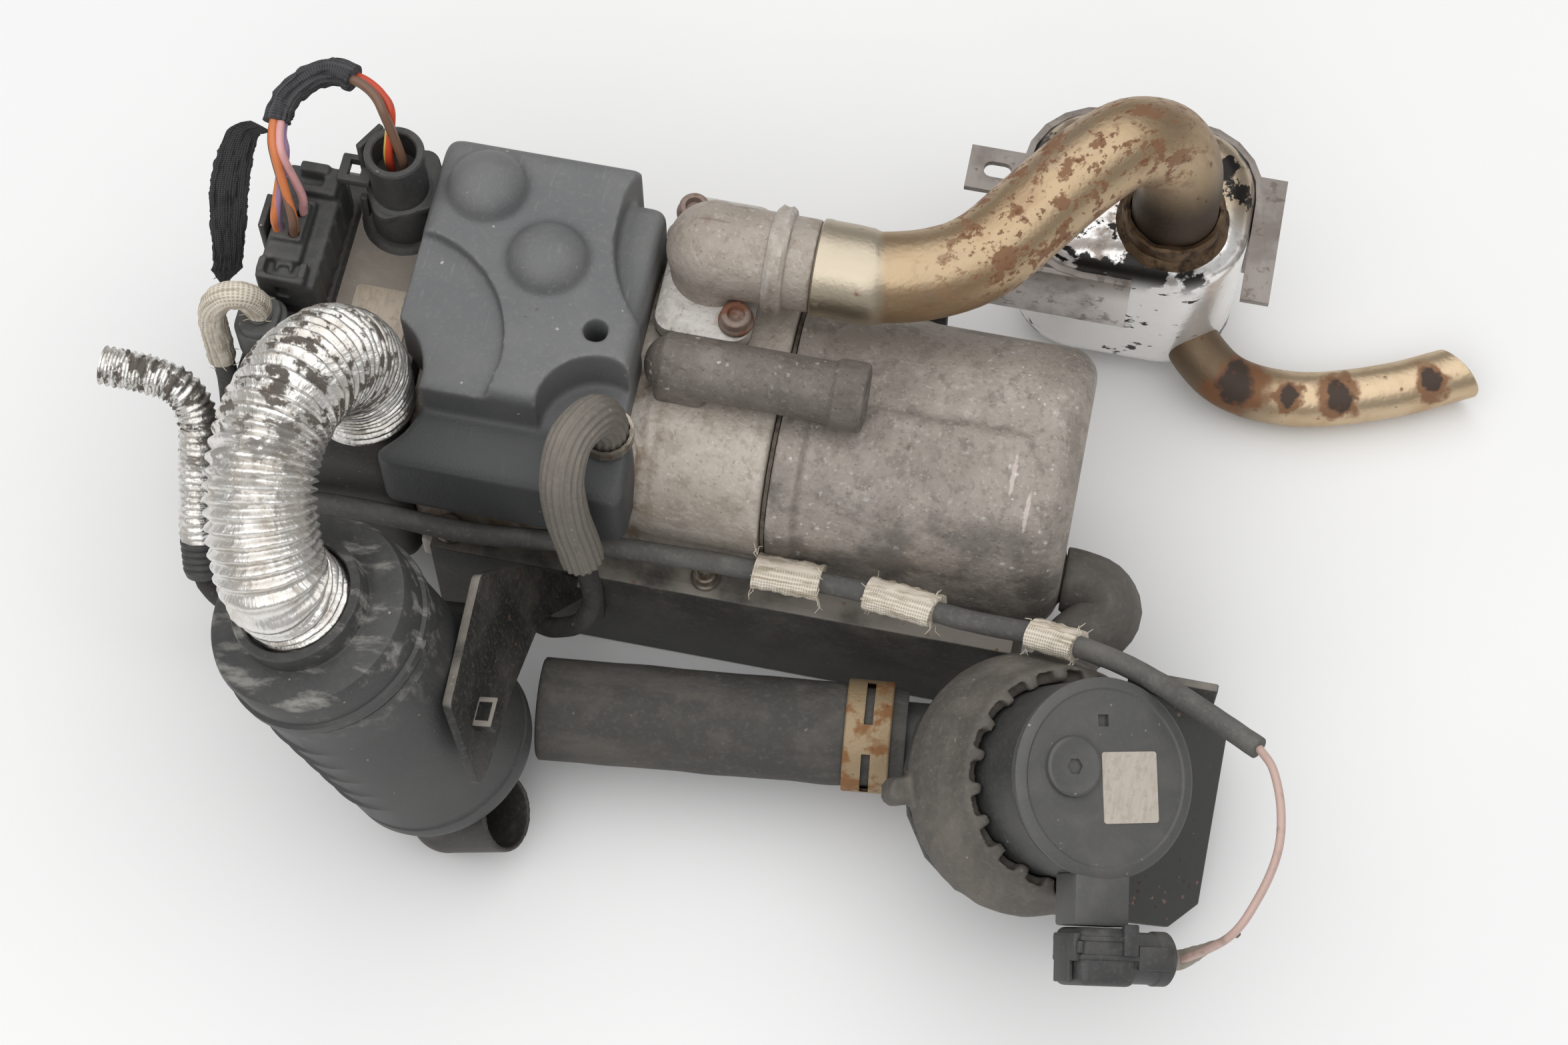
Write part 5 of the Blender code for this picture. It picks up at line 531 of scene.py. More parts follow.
PLATE = rusty_steel("rust_edged_plate_steel", (72, 72, 70), (112, 76, 56), -0.4)
CLAMP_STEEL = rusty_steel("yellowed_clamp_steel", (156, 136, 106), (136, 96, 60), 0.7)
BOLT = rusty_steel("rusted_bolt_steel", (140, 122, 112), (126, 84, 64), 0.8)
RUBBER = plain_rubber("dusty_black_rubber", (70, 68, 65), (108, 104, 98))
MOUNT_RUBBER = plain_rubber("weathered_mount_rubber", (88, 84, 79), (128, 121, 112), False)
FUEL_RUBBER = plain_rubber("ribbed_fuel_rubber", (112, 107, 100), (146, 138, 127))
SHEATH = plain_rubber("cable_sheath_plastic", (84, 83, 81), (126, 123, 117))
ELBOW_RUBBER = plain_rubber("dusty_elbow_rubber", (86, 83, 79), (122, 117, 109))
TUBE = plain_rubber("black_tube_plastic", (48, 47, 46), (86, 83, 78))
BOOT = plain_rubber("beige_boot_rubber", (158, 150, 138), (122, 114, 104))
BEIGE_TAPE = cloth("beige_cloth_tape", (222, 213, 198), (166, 152, 132))
BLACK_TAPE = cloth("black_cloth_tape", (84, 84, 86), (34, 34, 36))
PALE_BOLT = worked_metal("pale_bolt_steel", (168, 160, 148), 0.35, 0.9, (112, 98, 84))
STEEL = worked_metal("drawn_steel", (176, 172, 168), 0.3, 1.0, (132, 126, 120))
BRASS = worked_metal("turned_brass", (184, 158, 108), 0.35, 1.0, (138, 110, 70))
CERAMIC = worked_metal("fired_ceramic", (228, 224, 214), 0.3, 0.0, (198, 190, 176))
BOARD = worked_metal("lacquered_board", (56, 110, 76), 0.35, 0.0, (40, 84, 58))
WELD = worked_metal("burnt_weld_steel", (112, 92, 72), 0.45, 0.9, (58, 47, 39))
GASKET = worked_metal("pressed_fibre", (120, 112, 102), 0.85, 0.0, (84, 74, 64))
PLATE_LABEL = label_film("blank_metal_label", (184, 171, 154), (164, 150, 132))
PUMP_LABEL = label_film("blank_paper_label", (196, 188, 176), (176, 166, 152))
WIRES = {
    "pink": wire_skin("pink_wire_skin", (214, 160, 160)),
    "violet": wire_skin("violet_wire_skin", (146, 118, 150)),
    "orange": wire_skin("orange_wire_skin", (206, 120, 70)),
    "brown": wire_skin("brown_wire_skin", (118, 88, 70)),
    "red": wire_skin("orange_red_wire_skin", (206, 74, 44), (214, 186, 90)),
    "pale": wire_skin("pinkish_pump_wire", (196, 168, 158)),
}
SLOT_FINISHES = {
    "cast_aluminium": JACKET,
    "inner_steel": STEEL,
    "ceramic": CERAMIC,
    "gasket": GASKET,
    "grey_plastic": PLUG,
    "circuit_board": BOARD,
    "black_plastic": PLUG,
    "bright_steel": PALE_BOLT,
    "brass": BRASS,
    "rusty_steel": BOLT,
    "tinted_steel": EXHAUST,
    "grey_steel": BRACKET,
    "foil": FOIL,
    "black_steel": BLACK_STEEL,
    "grey_rubber": MOUNT_RUBBER,
    "black_rubber": MOUNT_RUBBER,
    "wire_skin": WIRES["brown"],
    "cloth_tape": BLACK_TAPE,
}


# Shapes


def at(x, y=0.0, z=0.0):
    return Matrix.Translation((x, y, z))


def turn(degrees, axis):
    return Matrix.Rotation(math.radians(degrees), 4, axis)


def frame_along(origin, direction, across=(1, 0, 0)):
    """A place at origin whose z runs along direction and whose x leans towards across."""
    z = Vector(direction).normalized()
    x = (Vector(across) - z * z.dot(Vector(across))).normalized()
    return Matrix.Translation(Vector(origin)) @ Matrix((x, z.cross(x), z)).transposed().to_4x4()


ALONG_X = Matrix(((0, 0, 1, 0), (1, 0, 0, 0), (0, 1, 0, 0), (0, 0, 0, 1)))


def on_axis(x):
    """The heater's axis: z runs along world X, x along world Y and y along world Z."""
    return at(x, 0, AXIS_Z) @ ALONG_X


def soften(bm, width, segments=2, angle=30):
    """Rounds every edge that is sharper than the angle."""
    limit = math.radians(angle)
    sharp = [e for e in bm.edges if len(e.link_faces) == 2 and e.calc_face_angle(0) > limit]
    bmesh.ops.bevel(
        bm, geom=sharp, offset=width, segments=segments, profile=0.5, affect="EDGES",
        material=-1, clamp_overlap=True,
    )
    return bm


def placed(bm, matrix):
    if matrix:
        bmesh.ops.transform(bm, matrix=matrix, verts=bm.verts)
    return bm


def block(low, high, edge=0.0, segments=3, place=None):
    """A box with its edges eased."""
    bm = bmesh.new()
    bmesh.ops.create_cube(bm, size=1.0)
    low, high = Vector(low), Vector(high)
    bmesh.ops.scale(bm, vec=high - low, verts=bm.verts)
    bmesh.ops.translate(bm, vec=(low + high) / 2, verts=bm.verts)
    if edge:
        soften(bm, edge, segments)
    return placed(bm, place)


def blocks(place, *parts):
    """Small boxes on one place: low corner, high corner and edge in millimetres."""
    return [block(low, high, edge * MM, 2, place) for low, high, edge in parts]


def oblong(half_x, half_y):
    return [(-half_x, -half_y), (half_x, -half_y), (half_x, half_y), (-half_x, half_y)]


def slab(outline, low, high, corner=0.0, edge=0.0, place=None, corner_segments=6, segments=3):
    """A plate or bar: an outline drawn up, its corners rounded, then its rims."""
    bm = bmesh.new()
    face = bm.faces.new([bm.verts.new((x, y, low)) for x, y in outline])
    grown = bmesh.ops.extrude_face_region(bm, geom=[face])["geom"]
    top = [item for item in grown if isinstance(item, bmesh.types.BMVert)]
    bmesh.ops.translate(bm, verts=top, vec=(0, 0, high - low))
    bmesh.ops.recalc_face_normals(bm, faces=bm.faces)
    if corner:
        upright = [e for e in bm.edges if abs(e.verts[0].co.z - e.verts[1].co.z) > 1e-6]
        bmesh.ops.bevel(
            bm, geom=upright, offset=corner, segments=corner_segments, profile=0.5,
            affect="EDGES", material=-1, clamp_overlap=True,
        )
    if edge:
        soften(bm, edge, segments)
    return placed(bm, place)


def turned(profile, place=None, steps=48, edge=0.0):
    """A lathe-turned shape from its half section, radius and height."""
    bm = bmesh.new()
    verts = [bm.verts.new((radius, 0, height)) for radius, height in profile]
    edges = [bm.edges.new(pair) for pair in zip(verts, verts[1:])]
    bmesh.ops.spin(
        bm, geom=verts + edges, cent=(0, 0, 0), axis=(0, 0, 1), angle=2 * math.pi,
        steps=steps, use_merge=True,
    )
    bmesh.ops.remove_doubles(bm, verts=bm.verts, dist=1e-6)
    bmesh.ops.recalc_face_normals(bm, faces=bm.faces)
    if edge:
        soften(bm, edge)
    return placed(bm, place)


def rod(radius, low, high, place=None, steps=32, edge=0.0):
    return turned([(0, low), (radius, low), (radius, high), (0, high)], place, steps, edge)


def turned_ring(profile, place, steps):
    """A turned shape whose section closes on itself."""
    return turned(profile + profile[:1], place, steps)


def ball(radius, place=None, flatten=1.0, segments=40):
    bm = bmesh.new()
    bmesh.ops.create_uvsphere(bm, u_segments=segments, v_segments=segments // 2, radius=radius)
    bmesh.ops.scale(bm, vec=(1, 1, flatten), verts=bm.verts)
    return placed(bm, place)


def smooth_curve(knots):
    """Closely spaced points on a smooth curve through the knots."""
    steps = 16
    knots = [Vector(knot) for knot in knots]
    ends = [2 * knots[0] - knots[1], *knots, 2 * knots[-1] - knots[-2]]
    fine = []
    for a, b, c, d in zip(ends, ends[1:], ends[2:], ends[3:]):
        for step in range(steps):
            t = step / steps
            fine.append(
                0.5 * (2 * b + (c - a) * t + (2 * a - 5 * b + 4 * c - d) * t**2)
                + 0.5 * (3 * b - a - 3 * c + d) * t**3
            )
    return [*fine, knots[-1]]


class Route:
    """A smooth line through knots, asked for a place at any length along it."""

    def __init__(self, knots, across=(0, 0, 1)):
        self.points = smooth_curve(knots)
        self.lengths = [0.0]
        for first, second in zip(self.points, self.points[1:]):
            self.lengths.append(self.lengths[-1] + (second - first).length)
        self.length = self.lengths[-1]
        self.sides = []
        side = Vector(across)
        for index in range(len(self.points)):
            heading = self.heading(index)
            side = side - heading * side.dot(heading)
            side = side.normalized() if side.length > 1e-6 else heading.orthogonal().normalized()
            self.sides.append(side)

    def heading(self, index):
        first = self.points[max(0, index - 1)]
        return (self.points[min(len(self.points) - 1, index + 1)] - first).normalized()

    def place(self, along):
        """The frame at a length: z runs on along the line."""
        index = 0
        while index < len(self.lengths) - 2 and self.lengths[index + 1] < along:
            index += 1
        share = (along - self.lengths[index]) / (self.lengths[index + 1] - self.lengths[index])
        point = self.points[index].lerp(self.points[index + 1], share)
        share = min(1, max(0, share))
        z = self.heading(index).lerp(self.heading(index + 1), share).normalized()
        x = self.sides[index].lerp(self.sides[index + 1], share)
        return frame_along(point, z, x)


def swept(route, stations, sides, relief=None, flat=(1, 1)):
    """A skin drawn along a route. Stations are pairs of length along it and radius; a bore is
    stations that turn back inside. relief adds to the radius, from the angle, the length and the
    station's number. Every point keeps its place on the straightened hose."""
    bm = bmesh.new()
    flow = bm.verts.layers.float_vector.new("flow")
    mark = bm.verts.layers.int.new("mark")
    ring = bmesh.ops.create_circle(bm, cap_ends=False, radius=1.0, segments=sides)["verts"]
    for index, vert in enumerate(ring):
        vert[mark] = index
    corners = [vert.co.copy() for vert in ring]
    edges = list({edge for vert in ring for edge in vert.link_edges})
    first_edges = edges
    widest = max(radius for _, radius in stations)
    for number, (along, radius) in enumerate(stations):
        if number:
            grown = bmesh.ops.extrude_edge_only(bm, edges=edges)["geom"]
            ring = [item for item in grown if isinstance(item, bmesh.types.BMVert)]
            edges = [item for item in grown if isinstance(item, bmesh.types.BMEdge)]
        where = route.place(along)
        for vert in ring:
            corner = corners[vert[mark]]
            reach = radius
            if relief:
                reach += relief(math.atan2(corner.y, corner.x), along, number)
            vert.co = where @ Vector((corner.x * reach * flat[0], corner.y * reach * flat[1], 0))
            vert[flow] = (corner.x * widest, corner.y * widest, along)
    bmesh.ops.holes_fill(bm, edges=first_edges + edges, sides=0)
    bmesh.ops.recalc_face_normals(bm, faces=bm.faces)
    return bm


def even(start, end, spacing):
    """Lengths from start to end at about this spacing."""
    count = max(1, round(abs(end - start) / spacing))
    return [start + (end - start) * step / count for step in range(count + 1)]


def pipe_stations(end, radius, bore, spacing, depth, open_start=True):
    """Stations of a plain pipe with its rims eased and its ends bored out."""
    lip = min(0.35 * (radius - bore), 0.6 * MM)
    mouth = [(depth, bore), (lip, bore), (0, bore + lip)] if open_start else []
    wall = [(along, radius) for along in even(lip, end - lip, spacing)]
    rims = [(0, radius - lip), *wall, (end, radius - lip)]
    return [*mouth, *rims, (end, bore + lip), (end - lip, bore), (end - depth, bore)]


def tube(route, radius, spacing, sides, relief=None):
    """A plain round skin along a whole route."""
    stations = [(along, radius) for along in even(0, route.length, spacing)]
    return swept(route, stations, sides, relief)


def together(*shapes):
    """Several shapes in one mesh."""
    bm = shapes[0]
    for other in shapes[1:]:
        mesh = bpy.data.meshes.new("part")
        other.to_mesh(mesh)
        other.free()
        bm.from_mesh(mesh)
        bpy.data.meshes.remove(mesh)
    return bm


def linked(name, data):
    """A new object in the scene."""
    obj = bpy.data.objects.new(name, data)
    bpy.context.scene.collection.objects.link(obj)
    return obj


def mesh_object(name, bm):
    mesh = bpy.data.meshes.new(name)
    bm.to_mesh(mesh)
    bm.free()
    return linked(name, mesh)


def scratch(bm):
    return mesh_object("scratch", bm)


def cut_out(body, tools):
    for tool in tools:
        taken = body.modifiers.new("cut", "BOOLEAN")
        taken.operation = "DIFFERENCE"
        taken.object = tool
        taken.solver = "EXACT"


def remeshed(body, voxel):
    melt = body.modifiers.new("melt", "REMESH")
    melt.mode = "VOXEL"
    melt.voxel_size = voxel


def evaluated(body, tools):
    """The body's mesh after its modifiers. The body and the tools go."""
    bpy.context.view_layer.update()
    bm = bmesh.new()
    bm.from_object(body, bpy.context.evaluated_depsgraph_get())
    for obj in (body, *tools):
        data = obj.data
        bpy.data.objects.remove(obj)
        bpy.data.meshes.remove(data)
    return bm


def melted(shapes, cuts=(), voxel=0.8 * MM, rounds=5):
    """Overlapping solids melted into one moulded or cast skin, the cuts taken out of it and
    every edge eased."""
    body = scratch(together(*shapes))
    tools = [scratch(cut) for cut in cuts]
    remeshed(body, voxel)
    if tools:
        cut_out(body, tools)
        remeshed(body, voxel)
    bm = evaluated(body, tools)
    for _ in range(rounds):
        bmesh.ops.smooth_vert(
            bm, verts=bm.verts, factor=0.5, use_axis_x=True, use_axis_y=True, use_axis_z=True
        )
    return bm


def carved(shape, cuts):
    """A crisp shape with other shapes taken out of it."""
    body, tools = scratch(shape), [scratch(cut) for cut in cuts]
    cut_out(body, tools)
    return evaluated(body, tools)


def sheet_metal(node, edge=0.35 * MM):
    """A sheet or moulded CAD shape as one closed skin with its edges eased."""
    bm = bmesh.new()
    bm.from_mesh(frame["nodes"][node].data)
    bmesh.ops.remove_doubles(bm, verts=bm.verts, dist=0.01 * MM)
    bmesh.ops.dissolve_limit(bm, angle_limit=math.radians(1), verts=bm.verts, edges=bm.edges)
    return soften(bm, edge, angle=35)


def piece(name, bm, finish, node=None, body="heater", crease=32):
    """Makes a finished piece that rides on a body. Where it stands for a CAD node, that node is hidden."""
    obj = mesh_object(name, bm)
    obj.data.shade_smooth()
    if crease:
        obj.data.set_sharp_from_angle(angle=math.radians(crease))
    obj.data.materials.append(finish)
    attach(obj, body)
    if node:
        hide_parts(node)
    return obj


def roughened(bm, depth, scale):
    """Moves every point a little, unevenly."""
    for vert in bm.verts:
        vert.co += Vector((1, 1, 1)) * depth * noise.noise(vert.co * scale)
    return bm


def ripple(amount, scale, seed=0.0):
    """An uneven skin: a little noise in or out, the same at every run."""

    def relief(angle, along, _number):
        spot = Vector((math.cos(angle), math.sin(angle), along * scale + seed))
        return amount * noise.noise(spot * 1.7)

    return relief


# Heater body


def main_cover():
    """Moulded cover: plateau with two domes, step, skirt, recesses and screw hole."""
    plateau = block(
        (COVER_LEFT, COVER_NEAR, SKIRT_BOTTOM), (COVER_RIGHT, COVER_FAR, COVER_TOP), 4 * MM, 4
    )
    flank = rod(0.042, 0.05, 0.13, at(-0.0132, 0.0263), 96)
    plateau = melted([plateau], [flank], rounds=0)
    shapes = [
        plateau,
        block((-0.0620, -0.006, SKIRT_BOTTOM), (-0.0442, 0.0365, 0.1035), 3.5 * MM, 4),
        block((COVER_LEFT, SKIRT_NEAR, SKIRT_BOTTOM), (SKIRT_RIGHT, COVER_NEAR + 3 * MM, SKIRT_TOP),
              3.5 * MM, 4),
    ]
    dome, dome_height = 0.0108, 0.0085
    for x, y in ((-0.0907, 0.0277), (-0.0703, 0.0096)):
        shapes.append(ball(dome, at(x, y, COVER_TOP - GAP), dome_height / dome, 56))
        shapes.append(rod(0.0114, 0.1, COVER_TOP + 0.5 * MM, at(x, y), 56, 0.4 * MM))
    recess = rod(0.033, COVER_TOP - 4 * MM, 0.13, at(-0.1091, -0.0201), 96)
    fuel_well = rod(0.015, SKIRT_TOP - GAP, 0.13, at(-0.0494, FUEL_PORT.y), 64)
    spigot_well = rod(0.0175, 0.05, 0.13, at(SPIGOT.x, SPIGOT.y), 64)
    screw_hole = rod(0.0032, 0.098, 0.13, at(-0.0536, -0.0079), 32)
    skin = melted(shapes, [recess, fuel_well, spigot_well, screw_hole], 0.7 * MM, 5)
    fall, run, depth = 4 * MM, 12.5 * MM, 9 * MM
    for vert in skin.verts:
        share = min(1, (vert.co.z - SKIRT_TOP + depth) / depth)
        if share > 0:
            slope = min(1, max(0, (COVER_NEAR - 2 * MM - vert.co.y) / run))
            vert.co.z -= fall * slope**1.4 * share
    piece("cover_moulding", skin, COVER, "main_cover", crease=0)


def blower_housing():
    """Fan housing with its spigot, a shallow raised field and the blank plate on it."""
    length = BLOWER_RIGHT - BLOWER_LEFT
    skin = slab(oblong(0.0435, 0.0365), 0, length, 0.012, 0.0045, on_axis(BLOWER_LEFT), 8, 4)
    seat = slab(oblong(0.0095, 0.0195), 0.086, 0.0905, 3 * MM, 0, at(*MAIN_PLUG))
    round_seat = rod(0.0112, 0.086, 0.0900, at(*ROUND_PLUG))
    skin = melted([skin, seat, round_seat], [], 0.8 * MM, 4)
    piece("fan_housing", skin, DARK, "blower_housing", crease=0)
    field = slab(oblong(0.0130, 0.0225), 0.086, 0.0889, 2 * MM, 0.3 * MM, at(-0.1160, 0.0040))
    piece("fan_housing_field", field, FIELD)
    spigot = [(0.0080, -0.004), (0.0080, 0.010), (0.0095, 0.010), (0.0095, -0.004)]
    piece("fan_spigot", turned(spigot, at(*SPIGOT), 40, 0.3 * MM), DARK)
    plate = slab(oblong(0.0080, 0.0082), 0.0888, 0.0892, 1.5 * MM, 0.1 * MM, at(-0.1150, -0.003))
    piece("blank_type_plate", plate, PLATE_LABEL)


def burner_housing():
    """Casting between blower and jacket, with exhaust boss, feet, lugs and cooling ridges."""
    length = BURNER_RIGHT - BURNER_LEFT
    body = slab(oblong(0.037, 0.036), 0, length, 0.024, 0, on_axis(BURNER_LEFT), 16)
    exhaust_boss = slab(oblong(0.013, 0.021), 0.054, BURNER_TOP, 5 * MM, 0, at(*PORT))
    foot = block((-0.077, -0.018, 0.0028), (-0.051, 0.018, 0.03))
    lugs = [
        block((x - 0.008, -0.0437, 0.0297), (x + 0.008, -0.0185, 0.0397)) for x in FRAME_BOLTS_X
    ]
    fuel_boss = rod(0.0075, 0.05, BURNER_TOP, at(FUEL_PORT.x, FUEL_PORT.y))
    ridges = [
        slab(oblong(0.0372, 0.0366), 0, 0.0018, 0.024, 0, on_axis(x), 16)
        for x in (-0.0385, -0.0350, -0.0085)
    ]
    skin = melted([body, exhaust_boss, foot, *lugs, fuel_boss, *ridges], [], 0.8 * MM, 4)
    piece("burner_casting", skin, BURNER, "burner_housing", crease=0)


def heat_exchanger():
    """The cast can with its collar, foot, a low rib along it and the water nozzle."""
    length = JACKET_RIGHT - JACKET_LEFT
    start = on_axis(JACKET_LEFT)
    can = slab(oblong(0.035, 0.034), 0, length, 0.024, 0.008, start, 16, 6)
    collar = slab(oblong(0.0366, 0.0356), 0, 0.007, 0.024, 0, start, 16)
    shoulder = slab(oblong(0.0353, 0.0343), 0, 0.033, 0.024, 0, start, 16)
    foot = block((0.027, -0.018, 0.0028), (0.053, 0.018, 0.03))
    nozzle = rod(0.0060, -0.003, 0.0035, at(JACKET_RIGHT, -0.020, 0.038) @ ALONG_X)
    rib = rod(0.0055, 0, 0.046, at(0.016, -0.006, 0.0822) @ ALONG_X, 24, 2 * MM)
    skin = melted([can, collar, shoulder, foot, nozzle, rib], [], 0.8 * MM, 4)
    piece("jacket_casting", skin, JACKET, "heat_exchanger_jacket", crease=0)


def coolant_outlet():
    """The water outlet lying along the top, open at its boss end."""
    radius, y = 0.0083, -0.006
    z = BURNER_TOP + 2 * GAP + radius
    place = at(-0.0385, y, z) @ ALONG_X
    shapes = [
        rod(radius, 0.002, 0.056, place, 40),
        ball(radius, at(-0.0335, y, z)),
        rod(0.0094, 0.0475, 0.056, place, 40, 0.8 * MM),
        slab(oblong(0.007, 0.0075), -0.0086, 0, 2 * MM, 0, at(-0.0315, y, z)),
    ]
    bore = rod(0.0054, 0.030, 0.06, place)
    skin = melted(shapes, [bore], 0.55 * MM, 4)
    piece("outlet_casting", skin, OUTLET, "coolant_outlet_pipe", crease=0)


def exhaust_elbow():
    """Flange plate, half-ball elbow with its hood and barrel, and the crimped bead."""
    plate = slab(oblong(0.013, 0.021), 0.0889, 0.0939, 5 * MM, 0, at(*PORT))
    barrel = at(PORT.x, PORT.y, BARREL_Z) @ ALONG_X
    shapes = [
        ball(0.0128, at(PORT.x, PORT.y, BARREL_Z)),
        rod(0.0120, 0.0889, BARREL_Z, at(PORT.x, PORT.y)),
        rod(0.0124, 0, 0.0273, barrel, 48),
        rod(0.0105, 0.02, 0.0373, barrel, 48),
    ]
    skin = melted(shapes, [rod(0.0088, 0.01, 0.04, barrel)], 0.6 * MM, 4)
    piece("elbow_casting", skin, ELBOW, "exhaust_elbow", crease=0)
    piece("elbow_flange", soften(plate, 0.5 * MM, 2), FLANGE)
    seam = [(0.0126, -0.00035), (0.0131, 0), (0.0126, 0.00035)]
    place = at(PORT.x, PORT.y + 1.5 * MM, BARREL_Z) @ turn(90, "X")
    piece("elbow_parting_line", turned(seam, place, 64), ELBOW)
    route = Route([(x, PORT.y, BARREL_Z) for x in (-0.0156, -0.012, -0.009)])
    stations = [
        (0.0006, 0.0122), (0.0010, 0.0138), (0.0022, 0.0145), (0.0036, 0.0142), (0.0050, 0.0145),
        (0.0060, 0.0136), (0.0064, 0.0122),
    ]
    bead = swept(route, stations, 64, ripple(1.1 * MM, 300, 3.0))
    piece("elbow_bead", bead, ELBOW)


def hex_bolt(where, radius, height, name, node, finish):
    """A bolt head on its washer face, with a star socket."""
    profile = [
        (0, 0), (radius * 1.12, 0), (radius * 1.12, 0.25 * height), (radius * 0.96, 0.4 * height),
        (radius * 0.94, 0.9 * height), (radius * 0.8, height), (radius * 0.55, height),
        (radius * 0.5, 0.55 * height), (0, 0.5 * height),
    ]
    piece(name, turned(profile, where, 36, 0.12 * MM), finish, node)


def exhaust_system():
    """Elbow with its two flange bolts, and the pipe with the belled sleeve it starts in."""
    exhaust_elbow()
    for name, x, y in (("rear", -0.0088, 0.0150), ("front", 0.0088, -0.0150)):
        where = at(PORT.x + x, PORT.y + y, 0.0942)
        hex_bolt(where, 0.0043, 0.0045, "flange_bolt_" + name, "exhaust_bolt_" + name, BOLT)
    start = Vector((-0.0020, PORT.y, BARREL_Z))
    knots = [
        start, start + Vector((0.008, 0, 0)), start + Vector((0.016, 0, 0)),
        (0.0280, 0.0300, 0.104), (0.0400, 0.0375, 0.105), (0.0515, 0.0515, 0.108),
        (0.0620, 0.0645, 0.111), (0.0720, 0.0750, 0.111), (0.0815, 0.0815, 0.103),
        (0.0868, 0.0830, 0.090), (0.0880, 0.0830, 0.0713), (0.0880, 0.0830, 0.0623),
    ]
    route = Route(knots)
    end = route.length
    stations = [(0.012, 0.0109), (0.0006, 0.0113), (0, 0.0124), (0.0004, 0.0129), (0.0018, 0.0130)]
    stations += [(along, 0.0128) for along in even(0.0030, 0.0148, 2 * MM)]
    stations += [(0.0160, 0.0124), (0.0172, 0.0120)]
    stations += [(along, 0.0120) for along in even(0.0190, end, 2.5 * MM)]
    pipe = swept(route, stations, 48, ripple(0.12 * MM, 60))
    piece("exhaust_tube", pipe, EXHAUST, "exhaust_pipe")


def muffler():
    """The can, its neck with the weld, the band with rail, hanger and arm, and the tail."""
    where = at(*MUFFLER)
    body = slab(oblong(0.032, 0.026), MUFFLER_BOTTOM, MUFFLER_TOP, 0.020, 0.008, where, 12, 6)
    piece("silencer_can", body, SILENCER, "muffler_shell", crease=40)
    neck = [
        (0.0123, -0.002), (0.0123, 0.0070), (0.0135, 0.0072), (0.0142, 0.0064), (0.0142, 0.002),
        (0.0152, 0.0008), (0.0160, -0.0004), (0.0150, -0.002),
    ]
    collar = turned_ring(neck, at(*NECK), 48)
    piece("silencer_neck", roughened(collar, 0.4 * MM, 400), WELD)
    piece("silencer_band", sheet_metal("muffler_bracket"), BRACKET, "muffler_bracket")
    knots = [
        (0.0945, 0.0820, 0.0170), (0.0985, 0.0745, 0.0165), (0.1030, 0.0690, 0.0150),
        (0.1105, 0.0644, 0.0118), (0.1205, 0.0626, 0.0096), (0.1340, 0.0630, 0.0092),
        (0.1480, 0.0668, 0.0092), (0.1630, 0.0728, 0.0092), (0.1810, 0.0824, 0.0092),
    ]
    route = Route(knots)
    end = route.length - 4 * MM
    stations = pipe_stations(end, 0.0080, 0.0070, 2.2 * MM, 0.03, open_start=False)
    tail = swept(route, stations, 40, ripple(0.1 * MM, 80))
    heading = (Vector(knots[-1]) - Vector(knots[-2])).normalized()
    across = heading.cross(Vector((0, 0, 1))).normalized()
    tip = route.place(end).translation
    last_stretch, slant = 0.006, 0.45
    for vert in tail.verts:
        reach = (vert.co - tip).dot(heading)
        if reach > -last_stretch:
            lean = (vert.co - tip).dot(across)
            share = min(1, (reach + last_stretch) / last_stretch)
            vert.co += heading * lean * slant * share
    piece("tail_tube", tail, TAIL, "tail_pipe")


# Air intake

INTAKE = at(-0.080, -0.097, 0.026) @ turn(-18.7, "Y")


def intake_hose():
    """Corrugated foil hose from the fan's spigot over into the silencer's lid."""
    canister, lid, step = 0.072, 0.014, 0.002
    seat = canister + GAP + lid + step + GAP
    last = [INTAKE @ Vector((0, 0, seat + rise)) for rise in (0.0168, 0.0084, 0)]
    knots = [
        SPIGOT + Vector((0, 0, GAP)), (-0.1130, -0.0280, 0.1020), (-0.1136, -0.0318, 0.1170),
        (-0.1155, -0.0410, 0.1320), (-0.1185, -0.0560, 0.1415), (-0.1200, -0.0720, 0.1425),
        (-0.1182, -0.0860, 0.1365), *last,
    ]
    route = Route(knots, (1, 0, 0))
    ribs, steps = 46, 7
    radius, depth = 0.0132, 0.00088
    pitch = route.length / ribs
    stations = [
        (pitch * (index / steps), radius + depth * math.cos(2 * math.pi * index / steps))
        for index in range(ribs * steps + 1)
    ]

    def crinkle(angle, _along, number):
        rib = number // steps
        dent = noise.noise(Vector((math.cos(angle) * 3, math.sin(angle) * 3, rib * 1.3)))
        fine = noise.noise(Vector((math.cos(angle) * 9, math.sin(angle) * 9, number * 0.45)))
        return 0.35 * MM * dent + 0.22 * MM * fine

    skin = swept(route, stations, 56, crinkle)
    piece("intake_foil_hose", skin, FOIL, "intake_hose", crease=0)


